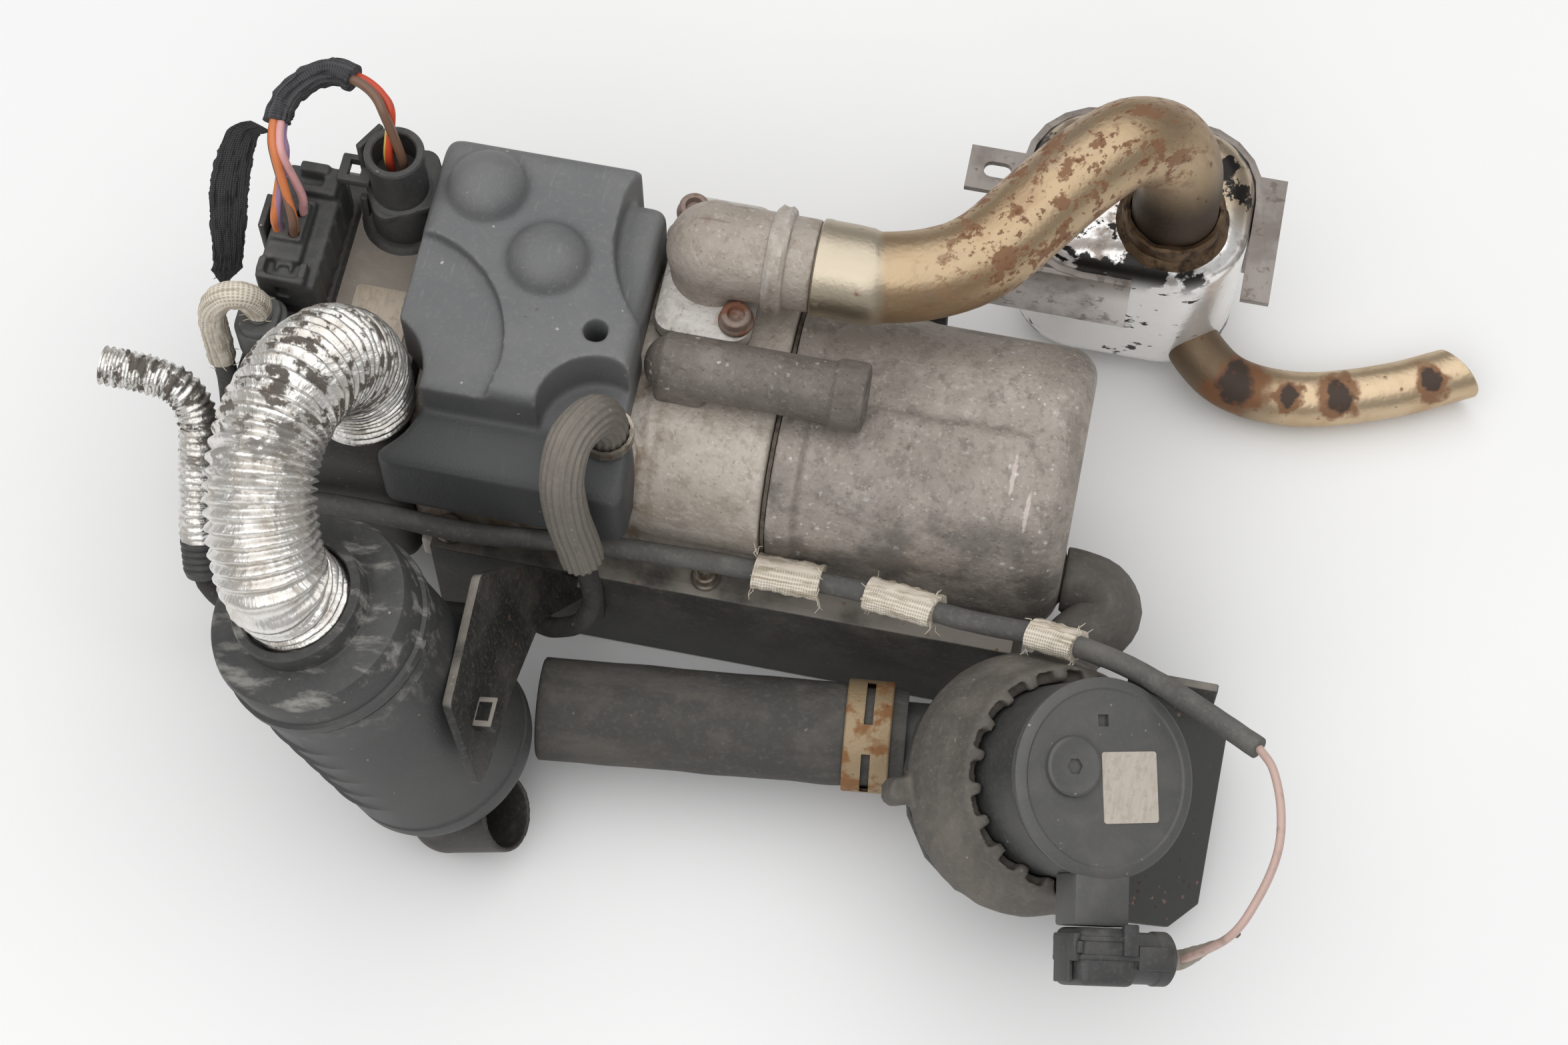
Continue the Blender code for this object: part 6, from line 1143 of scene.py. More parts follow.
def intake_silencer():
    """Canister with its rings, lid with the hose collar, nozzle and the strap."""
    body = [
        (0, 0), (0.0235, 0), (0.0262, 0.0012), (0.0270, 0.0040), (0.0270, 0.0068),
        (0.0266, 0.0074), (0.0266, 0.0088), (0.0270, 0.0094),
    ]
    wall, crest, half_width, most = 0.0269, 0.0273, 0.0008, 0.0008
    for level in (0.021, 0.030, 0.039, 0.048, 0.057):
        body += [(wall, level - half_width), (crest, level), (wall, level + half_width)]
    body += [(0.0268, 0.0668), (0.0274, 0.0682), (0.0274, 0.0715), (0.0262, 0.0720), (0, 0.0720)]
    skin = turned(body, INTAKE, 96)
    # The rings stand out most on one side and fade into the wall towards the other.
    ringed_side = Vector((-0.906, -0.423, 0))
    upright = INTAKE.inverted()
    for vert in skin.verts:
        spot = upright @ vert.co
        out = Vector((spot.x, spot.y, 0))
        if 0.018 < spot.z < 0.060 and out.length > (wall + crest) / 2:
            shown = min(1, max(0, (out.normalized().dot(ringed_side) - 0.35) / 0.4))
            out = out.normalized() * (wall + most * shown)
            vert.co = INTAKE @ Vector((out.x, out.y, spot.z))
    piece("canister_body", skin, CANISTER, "silencer_body")
    lid = [
        (0.0110, 0.0724), (0.0262, 0.0724), (0.0280, 0.0728), (0.0280, 0.0752), (0.0270, 0.0758),
        (0.0270, 0.0842), (0.0264, 0.0858), (0.0250, 0.0864), (0.0180, 0.0866), (0.0176, 0.0872),
        (0.0176, 0.0926), (0.0172, 0.0932), (0.0154, 0.0932), (0.0150, 0.0926), (0.0150, 0.0884),
        (0.0110, 0.0880),
    ]
    piece("canister_lid", turned_ring(lid, INTAKE, 72), CANISTER, "silencer_lid")
    tab = block((-0.0295, -0.006, 0.0730), (-0.0255, 0.006, 0.0765), 0.8 * MM, 2, INTAKE)
    piece("lid_tab", tab, CANISTER)
    joint = INTAKE @ at(-0.0016, -0.0130, -0.0152)
    barrel = joint @ turn(78, "Y")
    shapes = [
        ball(0.0107, joint),
        rod(0.0106, 0, 0.020, barrel, 48, 0.4 * MM),
        rod(0.0095, 0, 0.0160, joint, 40),
    ]
    cuts = [rod(0.0092, 0, 0.03, barrel, 48)]
    skin = melted(shapes, cuts, 0.5 * MM, 3)
    piece("inlet_nozzle", skin, DARK, "intake_nozzle", crease=0)
    beside = INTAKE @ at(0.0270 + GAP) @ ALONG_X
    far = FRAME_NEAR - 2 * GAP - INTAKE.translation.y
    outline = [
        (-0.0220, 0.0305), (-0.0160, 0.0280), (0.0060, 0.0260), (0.0300, 0.0200), (far, -0.0040),
        (far, 0.0060), (0.0380, 0.0380), (0.0250, 0.0580), (-0.0110, 0.0560),
    ]
    strap = slab(outline, 0, SHEET, 1.5 * MM, 0.4 * MM, beside, 4, 2)
    near = FRAME_NEAR - GAP
    foot = block((-0.0585, near - SHEET, 0.0213), (-0.0465, near, 0.0400), 0.4 * MM)
    piece("canister_strap", together(strap, foot), BLACK_STEEL, "silencer_bracket")
    loop = block((0.0294, -0.0105, 0.0385), (0.0352, -0.0020, 0.0425), 0.6 * MM, 2, INTAKE)
    window = block((0.0302, -0.0088, 0.03), (0.0340, -0.0036, 0.05), place=INTAKE)
    piece("strap_clip_loop", carved(loop, [window]), BLACK_STEEL)


# Fuel


def fuel_lines():
    """Ribbed hose, thin pipe, and the foil sleeve with the black fitting under it."""
    start = FUEL_PORT + Vector((0, 0, 0.0041))
    knots = [
        start, (-0.0465, -0.0300, 0.1050), (-0.0486, -0.0338, 0.1140), (-0.0522, -0.0420, 0.1160),
        (-0.0532, -0.0495, 0.1085), (-0.0515, -0.0540, 0.0970), (-0.0492, -0.0560, 0.0870),
        (-0.0475, -0.0575, 0.0785),
    ]
    route = Route(knots)
    stations = pipe_stations(route.length, 0.0056, 0.0034, 1.2 * MM, 0.01)
    ribs = 18

    def ribbed(angle, _along, _number):
        return 0.26 * MM * math.cos(ribs * angle)

    hose = swept(route, stations, 6 * ribs, ribbed)
    piece("fuel_hose_skin", hose, FUEL_RUBBER, "fuel_hose", crease=0)
    knots = [
        (-0.0475, -0.0575, 0.0783), (-0.0458, -0.0592, 0.0680), (-0.0452, -0.0610, 0.0600),
        (-0.0480, -0.0640, 0.0520), (-0.0565, -0.0625, 0.0410), (-0.0660, -0.0590, 0.0345),
        (-0.0850, -0.0600, 0.0325), (-0.1100, -0.0615, 0.0325), (-0.1370, -0.0655, 0.0300),
        (-0.1480, -0.0680, 0.0295), (-0.1540, -0.0655, 0.0345), (-0.1545, -0.0640, 0.0370),
    ]
    route = Route(knots)
    pipe = tube(route, 0.0028, 1.5 * MM, 20, ripple(0.1 * MM, 120))
    piece("fuel_tube", pipe, TUBE, "fuel_pipe", crease=0)
    top, bottom = Vector((-0.1560, -0.0575, 0.0460)), Vector((-0.1545, -0.0640, 0.0370))
    heading = (bottom - top).normalized()
    length = (bottom - top).length
    knob = [(0, 0), (0.0050, 0), (0.0056, 0.0006)]
    grooves = 4
    for step in range(grooves):
        low = 0.0014 + step * (length - 0.003) / grooves
        knob += [(0.0056, low), (0.0049, low + 0.0008), (0.0056, low + 0.0016)]
    knob += [(0.0050, length), (0, length)]
    place = frame_along(top, heading)
    piece("sleeve_end_fitting", turned(knob, place, 28), PLUG, "sleeve_fitting")
    knots = [
        top - heading * GAP, top - heading * 0.0059, (-0.1575, -0.0480, 0.0560),
        (-0.1585, -0.0395, 0.0645), (-0.1600, -0.0325, 0.0720), (-0.1650, -0.0290, 0.0775),
        (-0.1730, -0.0280, 0.0795), (-0.1855, -0.0278, 0.0800),
    ]
    route = Route(knots)
    end = route.length
    ribs, steps = 34, 4
    pitch = end / ribs
    stations = []
    for index in range(ribs * steps + 1):
        swell = 0.45 * MM * math.cos(2 * math.pi * index / steps)
        stations.append((pitch * index / steps, 0.0050 + swell))
    stations += [(end, 0.0042), (end - 0.001, 0.0038), (end - 0.012, 0.0038)]

    def crumple(angle, along, number):
        spot = Vector((math.cos(angle) * 2.4, math.sin(angle) * 2.4, number * 0.5))
        return 0.5 * MM * noise.noise(spot) * (1 if along < end - 0.002 else 0.2)

    sleeve = swept(route, stations, 32, crumple)
    piece("sleeve_foil", sleeve, FOIL, "foil_sleeve", crease=0)


# Coolant pump and hoses

PUMP_TOP = Vector((0.0955, -0.0927, 0.0840))
PUMP = frame_along(PUMP_TOP, (0.46, -0.20, 0.865))
PUMP_ARM = PUMP @ turn(10, "Z")
VOLUTE_TOP, VOLUTE_DEPTH, VOLUTE_SIDE = -0.0507, 0.0165, 0.0140
VOLUTE_MIDDLE = VOLUTE_TOP - VOLUTE_DEPTH / 2
PUMP_PLUG_FAR = -0.0255 - 0.0115 - GAP
PUMP_PLUG_NEAR = PUMP_PLUG_FAR - 0.0145
PUMP_PLUG_MIDDLE = (PUMP_PLUG_NEAR + PUMP_PLUG_FAR) / 2
HOSE_FREE_END, HOSE_PUMP_END = Vector((-0.0570, -0.0798, 0.0245)), Vector((0.0420, -0.0696, 0.0255))
HOSE_HEADING = (HOSE_PUMP_END - HOSE_FREE_END).normalized()
CLAMP_BACK = 0.0102


def pump_cap():
    """The cap disc with its step, hex boss, square hole, socket arm with its tongue, and label."""
    disc = [
        (0, -0.0026), (0.0240, -0.0026), (0.0255, -0.0016), (0.0255, -0.0006), (0.0247, 0),
        (0.0228, 0.0002), (0.0222, -0.0002), (0, -0.0002),
    ]
    shapes = [turned(disc, PUMP, 96)] + blocks(
        PUMP_ARM,
        ((-0.0078, -0.0370, -0.0110), (0.0078, -0.0238, -0.0003), 0.8),
        ((-0.0072, -0.0360, -0.0026), (0.0072, -0.0205, 0.0004), 0.5),
        ((0.0022, -0.0310, -0.0010), (0.0036, -0.0215, 0.0012), 0.3),
        ((0.0062, -0.0310, -0.0010), (0.0076, -0.0215, 0.0012), 0.3),
        ((-0.0076, -0.0372, -0.0012), (0.0076, -0.0345, 0.0011), 0.4),
    )
    place = PUMP @ at(-0.0035, 0.0141) @ turn(14, "Z")
    hole = block((-0.0015, -0.0015, -0.0018), (0.0015, 0.0015, 0.002), place=place)
    piece("pump_cap_disc", carved(together(*shapes), [hole]), CAP, "pump_cap")
    boss = [
        (0, -0.001), (0.0078, -0.001), (0.0076, 0.0010), (0.0068, 0.0014), (0.0058, 0.0011),
        (0, 0.0011),
    ]
    place = PUMP @ at(-0.0098, 0.0007)
    boss = turned(boss, place, 56, 0.1 * MM)
    socket = rod(0.0022, 0.0002, 0.003, place @ turn(14, "Z"), 6)
    piece("pump_cap_boss", carved(boss, [socket]), CAP)
    place = PUMP @ at(0.0073, -0.0007) @ turn(14, "Z")
    label = slab(oblong(0.0079, 0.0090), -0.0003, 0.00005, 0.8 * MM, 0, place)
    piece("blank_pump_label", label, PUMP_LABEL)


def pump_body():
    """Motor can, stepped rubber mount with its slots, and the volute with two nozzles."""
    can = [(0, -0.0029), (0.0244, -0.0029), (0.0250, -0.0035), (0.0250, -0.0504), (0, -0.0504)]
    piece("pump_can", turned(can, PUMP, 72), PLUG, "pump_motor")
    mount = [
        (0.0253, -0.0180), (0.0272, -0.0180), (0.0288, -0.0186), (0.0298, -0.0200),
        (0.0304, -0.0230), (0.0312, -0.0262), (0.0320, -0.0282), (0.0328, -0.0310),
        (0.0337, -0.0335), (0.0344, -0.0365), (0.0345, -0.0425), (0.0335, -0.0448),
        (0.0318, -0.0457), (0.0285, -0.0460), (0.0285, -0.0491), (0.0305, -0.0491),
        (0.0310, -0.0498), (0.0310, -0.0515), (0.0303, -0.0521), (0.0253, -0.0521),
    ]
    slot_count = 20
    slots = []
    for index in range(slot_count):
        place = PUMP @ turn(8 + index * 360 / slot_count, "Z")
        slots.append(block((0.0240, -0.0027, -0.0222), (0.0284, 0.0027, -0.0150), place=place))
    lug = PUMP @ turn(196, "Z") @ at(0.0355)
    lug = slab(oblong(0.005, 0.0036), -0.0470, -0.0400, 3 * MM, 0, lug)
    skin = melted([turned_ring(mount, PUMP, 96), lug], slots, 0.7 * MM, 3)
    skin = roughened(skin, 0.35 * MM, 160)
    piece("pump_mount_rubber", skin, MOUNT_RUBBER, "pump_rubber_mount", crease=0)
    inlet = frame_along(HOSE_PUMP_END, HOSE_HEADING)
    outlet = PUMP @ at(VOLUTE_SIDE, 0, VOLUTE_MIDDLE) @ turn(-90, "X")
    shapes = [
        rod(0.0220, VOLUTE_TOP - VOLUTE_DEPTH, VOLUTE_TOP, PUMP, 72, 1.5 * MM),
        rod(0.0103, -0.0176, 0.011, inlet, 40),
        rod(0.0055, 0.0073, 0.040, outlet, 32),
    ]
    skin = melted(shapes, [], 0.7 * MM, 3)
    piece("volute_moulding", skin, PLUG, "pump_volute", crease=0)


def pump_plug():
    """The angled plug: ribbed mouth, cover lines, side catch, round barrel and beige boot."""
    near, far, middle = PUMP_PLUG_NEAR, PUMP_PLUG_FAR, PUMP_PLUG_MIDDLE
    shapes = [block((-0.008, near, -0.011), (0.008, far, 0.004), 2.2 * MM, 4, PUMP_ARM)]
    shapes += blocks(
        PUMP_ARM,
        ((-0.0098, far - 0.0085, -0.0080), (-0.0076, far - 0.0015, 0.0030), 0.5),
        ((-0.0092, far - 0.0065, -0.0010), (-0.0078, far - 0.0035, 0.0044), 0.4),
        ((0.0035, far - 0.0070, 0.0030), (0.0078, far + 0.0010, 0.0050), 0.5),
        ((-0.0084, far - 0.0035, -0.0105), (0.0084, far - 0.0022, 0.0044), 0.3),
        ((-0.0084, far - 0.0081, -0.0105), (0.0084, far - 0.0068, 0.0044), 0.3),
    )
    arm = PUMP_ARM @ at(0.006, middle, -0.0035) @ ALONG_X
    barrel = [
        (0, 0), (0.0068, 0), (0.0068, 0.0032), (0.0065, 0.0038), (0.0065, 0.0098),
        (0.0069, 0.0104), (0.0069, 0.0136), (0.0062, 0.0142), (0, 0.0142),
    ]
    shapes.append(turned(barrel, arm, 40))
    shapes += blocks(
        PUMP_ARM, ((0.0085, middle - 0.0030, 0.0022), (0.0185, middle + 0.0030, 0.0038), 0.5)
    )
    piece("pump_plug_shell", together(*shapes), PLUG, "pump_plug")
    start = arm @ Vector((0, 0, 0.0143))
    bend = arm @ Vector((0.0005, 0, 0.0200))
    route = Route([start, bend, (0.1335, -0.1255, 0.0812)])
    narrowing = [(along, 0.0031 - 0.10 * along) for along in even(0.0004, route.length, 1 * MM)]
    stations = [(0, 0.0020), *narrowing, (route.length, 0.0012)]
    piece("pump_lead_boot", swept(route, stations, 20, ripple(0.3 * MM, 300, 5)), BOOT)


def coolant_hoses():
    """Straight hose with its fold beyond the clamp, spring band clamp, and elbow hose."""
    left, right = HOSE_FREE_END, HOSE_PUMP_END
    route = Route([left, left.lerp(right, 0.33), left.lerp(right, 0.66), right])
    length = route.length

    def dip(along, middle, half_width, power):
        return math.exp(-(((along - middle) / half_width) ** power))

    def swell(along):
        """The hose is pinched under the clamp and folds a little beyond it."""
        pinch = 0.5 * MM * dip(along, length - CLAMP_BACK, 0.0065, 4)
        return -pinch - 0.9 * MM * dip(along, length - 0.0012, 0.0016, 2)

    stations = [(0.03, 0.011), (0.0008, 0.011), (0, 0.0116), (0, 0.0133)]
    stations += [(along, 0.0140 + swell(along)) for along in even(0.0006, length - 0.0006, 1.0 * MM)]
    stations += [(length, 0.0130), (length, 0.0106)]
    hose = swept(route, stations, 56, ripple(0.3 * MM, 60))
    piece("coolant_hose_skin", hose, RUBBER, "coolant_hose", crease=50)
    place = frame_along(right - HOSE_HEADING * CLAMP_BACK, HOSE_HEADING, (0, 0, 1))
    band = [
        (0.0143, -0.00625), (0.0150, -0.00625), (0.0153, -0.0058), (0.0153, 0.0058),
        (0.0150, 0.00625), (0.0143, 0.00625),
    ]
    slots = []
    for side in (1, -1):
        low, high = 0.0040 * side, 0.0148 * side
        outline = [(0, low), (0.0185, low), (0.0185, high), (0, high)]
        slots.append(slab(outline, -0.0012, 0.0012, place=place @ turn(25, "Z")))
    clamp = carved(turned_ring(band, place, 96), slots)
    piece("spring_clamp", soften(clamp, 0.15 * MM, 1), CLAMP_STEEL, "hose_clamp")
    first, second = (PUMP @ Vector((VOLUTE_SIDE, y, VOLUTE_MIDDLE)) for y in (0.0305, 0.040))
    knots = [
        first, second, (0.0848, -0.0348, 0.0367), (0.0890, -0.0305, 0.0373),
        (0.0898, -0.0260, 0.0378), (0.0862, -0.0216, 0.0380), (0.0800, -0.0200, 0.0380),
        (0.0761, -0.0200, 0.0380),
    ]
    route = Route(knots)
    stations = pipe_stations(route.length, 0.0090, 0.0063, 1.6 * MM, 0.008)
    hose = swept(route, stations, 44, ripple(0.25 * MM, 90, 7))
    piece("elbow_hose_skin", hose, ELBOW_RUBBER, "elbow_hose", crease=50)


# Frame, plugs and wiring


def frame_metal():
    """The long frame with its bolts, and the pump's plate."""
    piece("frame_sheet", sheet_metal("main_bracket", 0.5 * MM), FRAME_STEEL, "main_bracket")
    piece("pump_plate", sheet_metal("pump_bracket", 0.5 * MM), PLATE, "pump_bracket")
    for side, x in zip(("left", "right"), FRAME_BOLTS_X):
        where = at(x, -0.0409, FRAME_HEIGHT + GAP)
        hex_bolt(where, 0.0036, 0.0045, "frame_bolt_" + side, "bracket_bolt_" + side, PALE_BOLT)


def main_plug():
    """The large plug with its ribbed side, wire holes and catch."""
    place = at(*MAIN_PLUG, PLUG_BASE)
    shapes = blocks(
        place,
        ((-0.0080, -0.0180, 0), (0.0080, 0.0180, 0.0172), 1.0),
        ((-0.0072, -0.0125, 0.012), (0.0030, 0.0065, 0.0200), 0.6),
        ((-0.0066, -0.0075, 0.012), (0.0022, 0.0045, 0.0218), 0.6),
        ((-0.0030, 0.0085, 0.012), (0.0072, 0.0110, 0.0204), 0.5),
        ((0.0030, 0.0085, 0.012), (0.0072, 0.0170, 0.0204), 0.5),
        ((-0.0040, 0.0140, 0.012), (0.0040, 0.0172, 0.0216), 0.5),
        ((-0.0078, -0.0185, 0.006), (0.0056, -0.0168, 0.0196), 0.5),
        ((-0.0078, -0.0172, 0.008), (-0.0056, -0.0125, 0.0206), 0.5),
        ((0.0034, -0.0172, 0.008), (0.0056, -0.0125, 0.0206), 0.5),
        ((-0.0034, -0.0150, 0.008), (0.0012, -0.0118, 0.0188), 0.5),
    )
    for y in (-0.014, -0.0085, -0.003, 0.0025, 0.008, 0.0135):
        shapes += blocks(place, ((0.0074, y, 0.001), (0.0086, y + 0.0012, 0.0160), 0.3))
    cuts = [rod(0.0013, 0.010, 0.03, place @ at(x, y), 24) for x, y in MAIN_PLUG_HOLES]
    cuts.append(block((-0.0030, -0.0200, 0.0105), (0.0010, -0.0160, 0.0150), place=place))
    cuts.append(block((-0.0024, -0.0165, 0.0176), (0.0006, -0.0135, 0.03), place=place))
    skin = melted(shapes, cuts, 0.42 * MM, 2)
    piece("large_plug_shell", skin, PLUG, "main_plug", crease=0)


def round_plug():
    """The round plug with its collar, side ribs and the loop on it."""
    place = at(*ROUND_PLUG, PLUG_BASE)
    neck = [
        (0, 0), (0.0090, 0), (0.0090, 0.0152), (0.0086, 0.0160), (0.0076, 0.0164), (0.0076, 0.0300),
        (0.0080, 0.0306), (0.0080, 0.0334), (0.0076, 0.0340), (0.0062, 0.0340), (0.0058, 0.0336),
        (0.0058, 0.0240), (0, 0.0240),
    ]
    collar = place @ turn(28, "Z") @ at(0.0016, 0.0006)
    shapes = [
        turned(neck, place, 56),
        slab(oblong(0.0104, 0.0090), 0.0135, 0.0160, 4 * MM, 0.5 * MM, collar),
        *blocks(
            place,
            ((-0.0102, -0.0050, 0.0060), (-0.0082, -0.0030, 0.0150), 0.4),
            ((-0.0102, 0.0020, 0.0060), (-0.0082, 0.0040, 0.0150), 0.4),
        ),
    ]
    piece("round_plug_shell", together(*shapes), PLUG, "round_plug")
    loop = block((-0.0160, -0.0042, 0.0195), (-0.0070, 0.0042, 0.0222), 0.6 * MM, 2, place)
    window = block((-0.0135, -0.0024, 0.015), (-0.0100, 0.0024, 0.03), place=place)
    piece("round_plug_loop", carved(loop, [window]), PLUG)


def sensor_plug():
    """The grey oval plug with a rim round its wire."""
    place = at(*SENSOR_PLUG, PLUG_BASE)
    rim = [(0.0022, 0.0130), (0.0034, 0.0130), (0.0036, 0.0146), (0.0030, 0.0150), (0.0024, 0.0148)]
    shell = together(
        slab(oblong(0.0066, 0.0068), 0, 0.0112, 5 * MM, 0.6 * MM, place, 8),
        slab(oblong(0.0052, 0.0062), 0.010, 0.0136, 4.5 * MM, 0.6 * MM, place, 8),
        turned_ring(rim, place, 32),
    )
    piece("sensor_plug_shell", shell, SENSOR, "sensor_plug")


def latches():
    """The latch of each plug that has one, on its own body."""
    for plug in ("main_plug", "round_plug", "pump_plug"):
        node = plug + "_latch"
        piece(node + "_lever", sheet_metal(node, 0.4 * MM), PLUG, node, plug + "_lever")


MAIN_PLUG_HOLES = ((-0.0048, -0.0040), (-0.0002, -0.0052), (0.0002, 0.0012))
SHEATH_KNOTS = (
    (-0.1425, -0.0158, 0.1041), (-0.1425, -0.0158, 0.1075), (-0.1450, -0.0167, 0.1130),
    (-0.1500, -0.0180, 0.1130), (-0.1537, -0.0195, 0.1060), (-0.1537, -0.0210, 0.0920),
    (-0.1532, -0.0230, 0.0740), (-0.1530, -0.0290, 0.0580), (-0.1527, -0.0400, 0.0495),
    (-0.1475, -0.0485, 0.0500), (-0.1360, -0.0480, 0.0550), (-0.1250, -0.0475, 0.0605),
    (-0.1070, -0.0480, 0.0625), (-0.0810, -0.0478, 0.0600), (-0.0520, -0.0440, 0.0580),
    (-0.0200, -0.0420, 0.0565), (-0.0050, -0.0420, 0.0565), (0.0246, -0.0430, 0.0580),
    (0.0520, -0.0485, 0.0645), (0.0735, -0.0522, 0.0715), (0.0920, -0.0586, 0.0797),
    (0.1090, -0.0682, 0.0880), (0.1310, -0.0820, 0.0960),
)
LOOM_KNOTS = (
    (-0.115, 0.0275, 0.1231), (-0.115, 0.0275, 0.1265), (-0.1155, 0.0300, 0.1310),
    (-0.1185, 0.0345, 0.1350), (-0.1240, 0.0385, 0.1360), (-0.1345, 0.0405, 0.1350),
    (-0.1430, 0.0335, 0.1330), (-0.1445, 0.0240, 0.1310), (-0.1415, 0.0150, 0.1265),
    (-0.1375, 0.00525, 0.1145), (-0.1375, 0.00525, 0.1111),
)


def nearest(route, spot):
    """The length along a route that lies closest to a spot."""
    spot = Vector(spot)
    index = min(range(len(route.points)), key=lambda number: (route.points[number] - spot).length)
    return route.lengths[index]


def frayed(route, along, spread, count, chance):
    """Loose threads at a tape's cut end."""
    threads = []
    for _ in range(count):
        place = route.place(along) @ turn(chance.uniform(-180, 180), "Z")
        knots = [
            place @ Vector((spread * 0.7, 0, 0)),
            place @ Vector((spread, chance.uniform(-1, 1) * MM, chance.uniform(-1, 1) * MM)),
            place @ Vector((spread + chance.uniform(0.5, 2.2) * MM, chance.uniform(-2, 2) * MM,
                            chance.uniform(-1.5, 1.5) * MM)),
        ]
        line = Route(knots)
        stations = [(0, 0.00013), (line.length * 0.5, 0.00013), (line.length, 0.00008)]
        threads.append(swept(line, stations, 4))
    return threads


def cloth_tape(name, route, start, end, wide, seed):
    """A cloth tape pressed round a cable, its cut ends frayed; wide stands it out as a flag."""
    chance = random.Random(seed)
    radius, rim = 0.0037, 0.0031
    upper = [(along, radius + 0.0001 * chance.random()) for along in even(start, end, 0.8 * MM)]
    stations = [(start, rim), *upper, (end, rim)]
    skin = swept(route, stations, 36, ripple(0.4 * MM, 330, seed), (1, wide))
    ends = [thread for cut in (start, end) for thread in frayed(route, cut, radius * wide, 7, chance)]
    piece(name, together(skin, *ends), BEIGE_TAPE)


def strand(name, route, run, offset, radius, finish, first=(), last=()):
    """One wire that runs beside a route between two lengths, from a first to a last spot."""
    knots = [route.place(along) @ Vector((*offset, 0)) for along in even(*run, 0.006)]
    piece(name, tube(Route([*first, *knots, *last]), radius, 1 * MM, 14), finish)


def long_sheath():
    """The long sheath with its cloth tapes, whose flags lie flat to the camera."""
    level, rise = 0.42, 0.91
    view = Vector((math.sin(CAMERA_TURN) * level, -math.cos(CAMERA_TURN) * level, rise))
    route = Route(SHEATH_KNOTS, view)
    sheath = tube(route, 0.0029, 1.6 * MM, 20, ripple(0.12 * MM, 140))
    piece("long_sheath", sheath, SHEATH, "harness_sheath", crease=0)
    right_run = even(0.2, route.length, 1 * MM)
    tapes = ((-0.0060, 0.0135, 1.75), (0.0250, 0.0450, 1.6), (0.0700, 0.0830, 1.35))
    for index, (x_from, x_to, wide) in enumerate(tapes):
        under = [along for along in right_run if x_from < route.place(along).translation.x < x_to]
        cloth_tape(f"sheath_tape_{index + 1}", route, under[0], under[-1], wide, index)
    cloth_tape("sensor_lead_tape", route, 0.0010, 0.0440, 1.0, 9)


def plug_loom():
    """The taped loom between the round and the large plug, with the wires at its ends."""
    route = Route(LOOM_KNOTS)
    out = nearest(route, (-0.1270, 0.0392, 0.1358))
    back = nearest(route, (-0.1442, 0.0250, 0.1312))

    def wound(angle, along, _number):
        """Tape wound on in overlapping turns."""
        turns = along / 0.0075 + angle / (2 * math.pi)
        return 0.45 * MM * (turns % 1.0) + 0.3 * MM * noise.noise(Vector((angle, along * 500, 3)))

    stations = [(along, 0.0034) for along in even(out + 0.0002, back - 0.0002, 0.7 * MM)]
    stations = [(out, 0.0020), *stations, (back, 0.0020)]
    piece("taped_loom", swept(route, stations, 40, wound), BLACK_TAPE, "plug_loom")
    mouth = Vector((*ROUND_PLUG, BLOWER_TOP + 0.0243))
    pair = (("red", -0.0016, (0.0013, -0.0006)), ("brown", 0.0018, (-0.0013, 0.0006)))
    for name, side, offset in pair:
        first = [mouth + Vector((side, 0, rise)) for rise in (0.0, 0.009)]
        run = (0.012, out + 0.002)
        strand(f"round_plug_wire_{name}", route, run, offset, 0.0013, WIRES[name], first=first)
    base = Vector((*MAIN_PLUG, PLUG_BASE))
    fan = (
        ("orange", (0.0017, 0.0008), 0), ("violet", (0.0002, 0.0016), 0),
        ("brown", (0.0004, -0.0012), 1), ("pink", (-0.0016, 0.0010), 2),
        ("orange", (-0.0018, -0.0008), 1),
    )
    for index, (name, offset, hole) in enumerate(fan):
        x, y = MAIN_PLUG_HOLES[hole]
        spot = base + Vector((x + 0.0005 * (index % 2), y + 0.0004 * index - 0.0008, 0))
        last = [spot + Vector(away) for away in ((0, 0.0012, 0.0285), (0, 0, 0.0225), (0, 0, 0.0165))]
        run = (back - 0.002, back + 0.009)
        strand(f"main_plug_wire_{index + 1}", route, run, offset, 0.00115, WIRES[name], last=last)


def pump_lead():
    """The pump's wire, from the sheath's end round into the plug's boot."""
    last = [PUMP_ARM @ Vector((0.0203 + out, PUMP_PLUG_MIDDLE, -0.0035)) for out in (0.0044, 0)]
    knots = [
        (0.1312, -0.0821, 0.0961), (0.1352, -0.0880, 0.0985), (0.1385, -0.0980, 0.0985),
        (0.1395, -0.1080, 0.0950), (0.1370, -0.1180, 0.0880), (0.1320, -0.1265, 0.0800), *last,
    ]
    route = Route(knots)
    piece("pump_lead", tube(route, 0.0011, 1.2 * MM, 14), WIRES["pale"], "pump_wire")


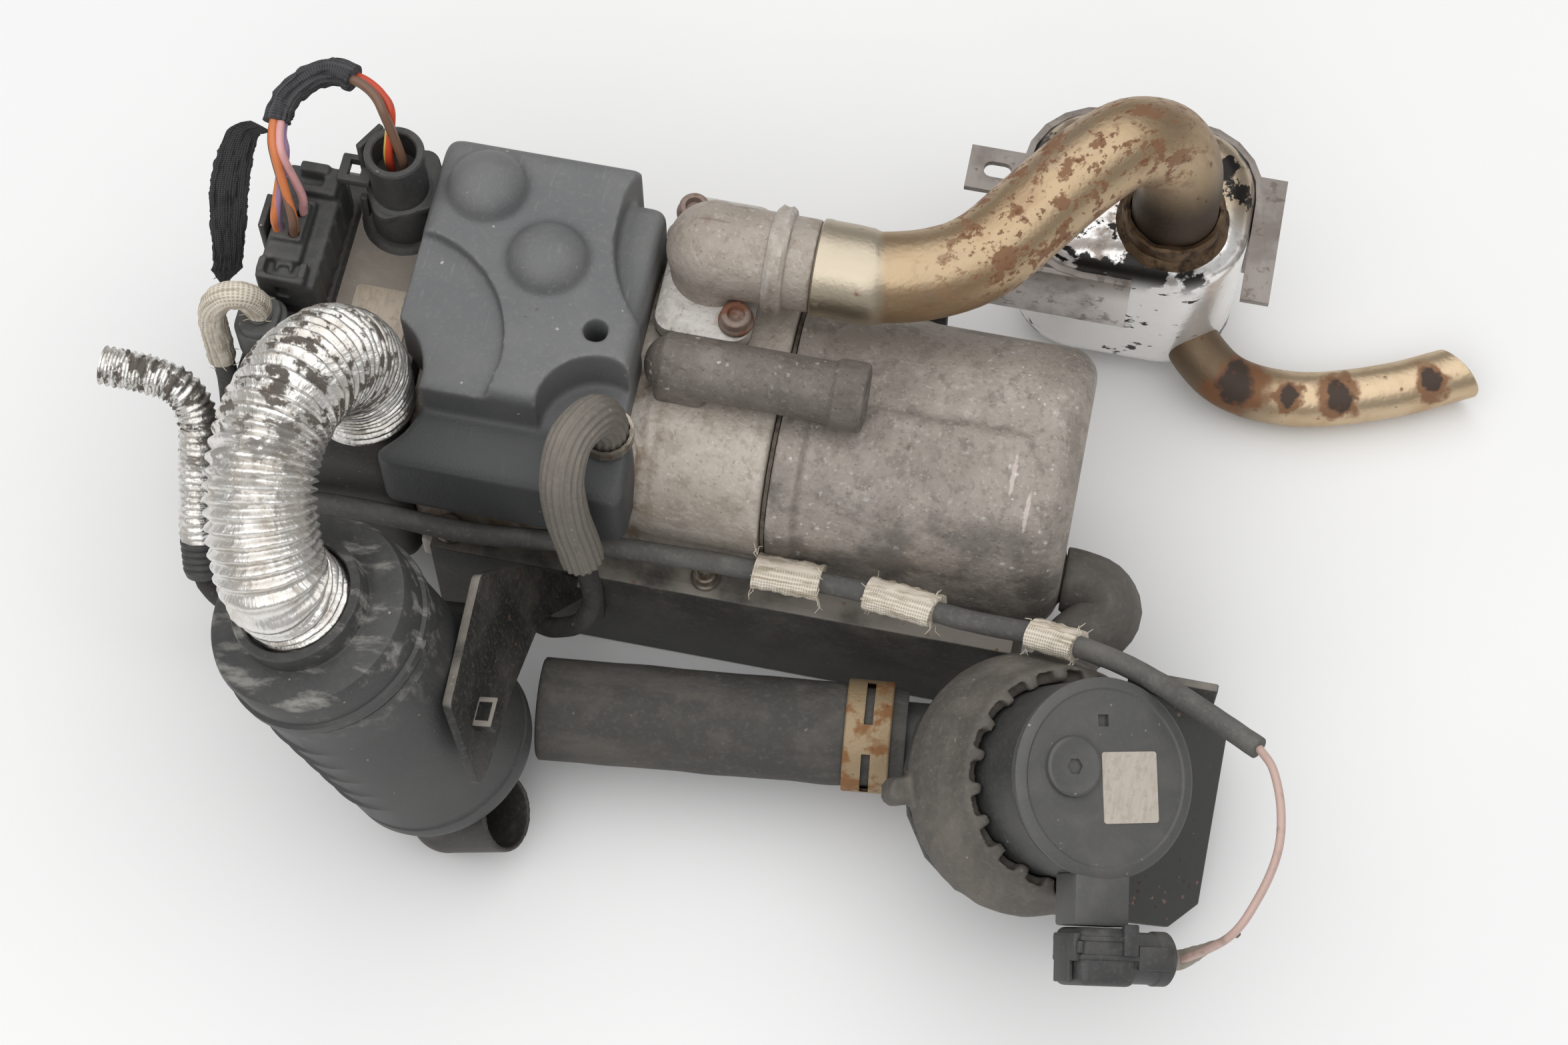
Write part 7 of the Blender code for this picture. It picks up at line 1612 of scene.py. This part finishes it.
def loose_tape():
    """The loose end of tape that hangs from the loom, widest above its middle."""
    top, bottom = Vector((-0.1486, 0.0235, 0.1310)), Vector((-0.1625, 0.0060, 0.0740))
    bends = (
        (0.08, (-0.004, 0, 0.0008)), (0.45, (-0.0035, 0.001, 0.004)), (0.8, (-0.0005, -0.001, 0)),
    )
    knots = [top.lerp(bottom, share) + Vector(aside) for share, aside in bends]
    route = Route([top, *knots, bottom], (1, 0.3, 0))
    chance = random.Random(21)
    stations = [(0, 0.0042)]
    for along in even(0.0004, route.length, 0.9 * MM):
        share = along / route.length
        width = 0.0040 + 0.0012 * math.sin(math.pi * min(1, share * 1.25)) + 0.0003 * chance.random()
        if share >= 0.9:
            width *= 1.02 - 0.75 * (share - 0.9) / 0.1
        stations.append((along, width))
    strip = swept(route, stations, 24, ripple(0.35 * MM, 260, 4), (1, 0.06))
    threads = frayed(route, route.length * 0.97, 0.0012, 6, chance)
    tail = piece("loose_tape_end", together(strip, *threads), BLACK_TAPE, "tape_tail")


# Stage, lights and camera


def stage():
    """A pale table top."""
    bm = bmesh.new()
    bmesh.ops.create_grid(bm, x_segments=1, y_segments=1, size=4.0)
    bmesh.ops.translate(bm, vec=(0, 0, -GAP), verts=bm.verts)
    floor = mesh_object("table_top", bm)
    top = Finish("pale_table_top", (244, 244, 243), 0.8, specular=0.2)
    top.over(top.mask("mottle", Scale=3, Low=0.3, High=0.7), (241, 241, 241))
    floor.data.materials.append(top.done())


def aimed(obj, place, heading):
    obj.location = place
    obj.rotation_euler = heading.to_track_quat("-Z", "Y").to_euler()


def lamp(name, place, size, power):
    """A panel of light turned to the middle of the part."""
    data = bpy.data.lights.new(name, "AREA")
    data.shape = "RECTANGLE"
    data.size, data.size_y = size
    data.energy = power
    aimed(linked(name, data), place, Vector((0, 0, 0.05)) - Vector(place))


def lights_and_camera():
    """A wide panel overhead, a weak one in front, a pale room, and the photograph's camera."""
    lamp("sky_panel", (-0.06, -0.08, 1.45), (3.1, 3.1), 37)
    lamp("front_fill", (-0.3, -1.3, 1.1), (1.6, 1.0), 3)
    world = bpy.data.worlds.new("pale_room")
    world.use_nodes = True
    room = world.node_tree.nodes["Background"]
    room.inputs["Color"].default_value = tone(240, 240, 240)
    room.inputs["Strength"].default_value = 0.36
    bpy.context.scene.world = world
    data = bpy.data.cameras.new("photo_camera")
    data.lens = CAMERA_LENS
    data.sensor_width = 36
    data.sensor_fit = "HORIZONTAL"
    camera = linked("photo_camera", data)
    back = Vector((
        math.sin(CAMERA_TURN) * math.cos(CAMERA_RISE),
        -math.cos(CAMERA_TURN) * math.cos(CAMERA_RISE),
        math.sin(CAMERA_RISE),
    ))
    aimed(camera, CAMERA_TARGET + back * CAMERA_DISTANCE, -back)
    scene = bpy.context.scene
    scene.camera = camera
    scene.view_settings.view_transform = "Standard"


def remaining_nodes():
    """Gives every CAD node that still shows, inside and out, its own finish."""
    for name, node in frame["nodes"].items():
        if name in SLOTS and not node.hide_render:
            node.data.materials.clear()
            node.data.materials.append(SLOT_FINISHES[SLOTS[name]])


lights_and_camera()
stage()
main_cover()
blower_housing()
burner_housing()
heat_exchanger()
coolant_outlet()
exhaust_system()
muffler()
intake_hose()
intake_silencer()
fuel_lines()
pump_cap()
pump_body()
pump_plug()
coolant_hoses()
frame_metal()
main_plug()
round_plug()
sensor_plug()
latches()
long_sheath()
plug_loom()
pump_lead()
loose_tape()
remaining_nodes()
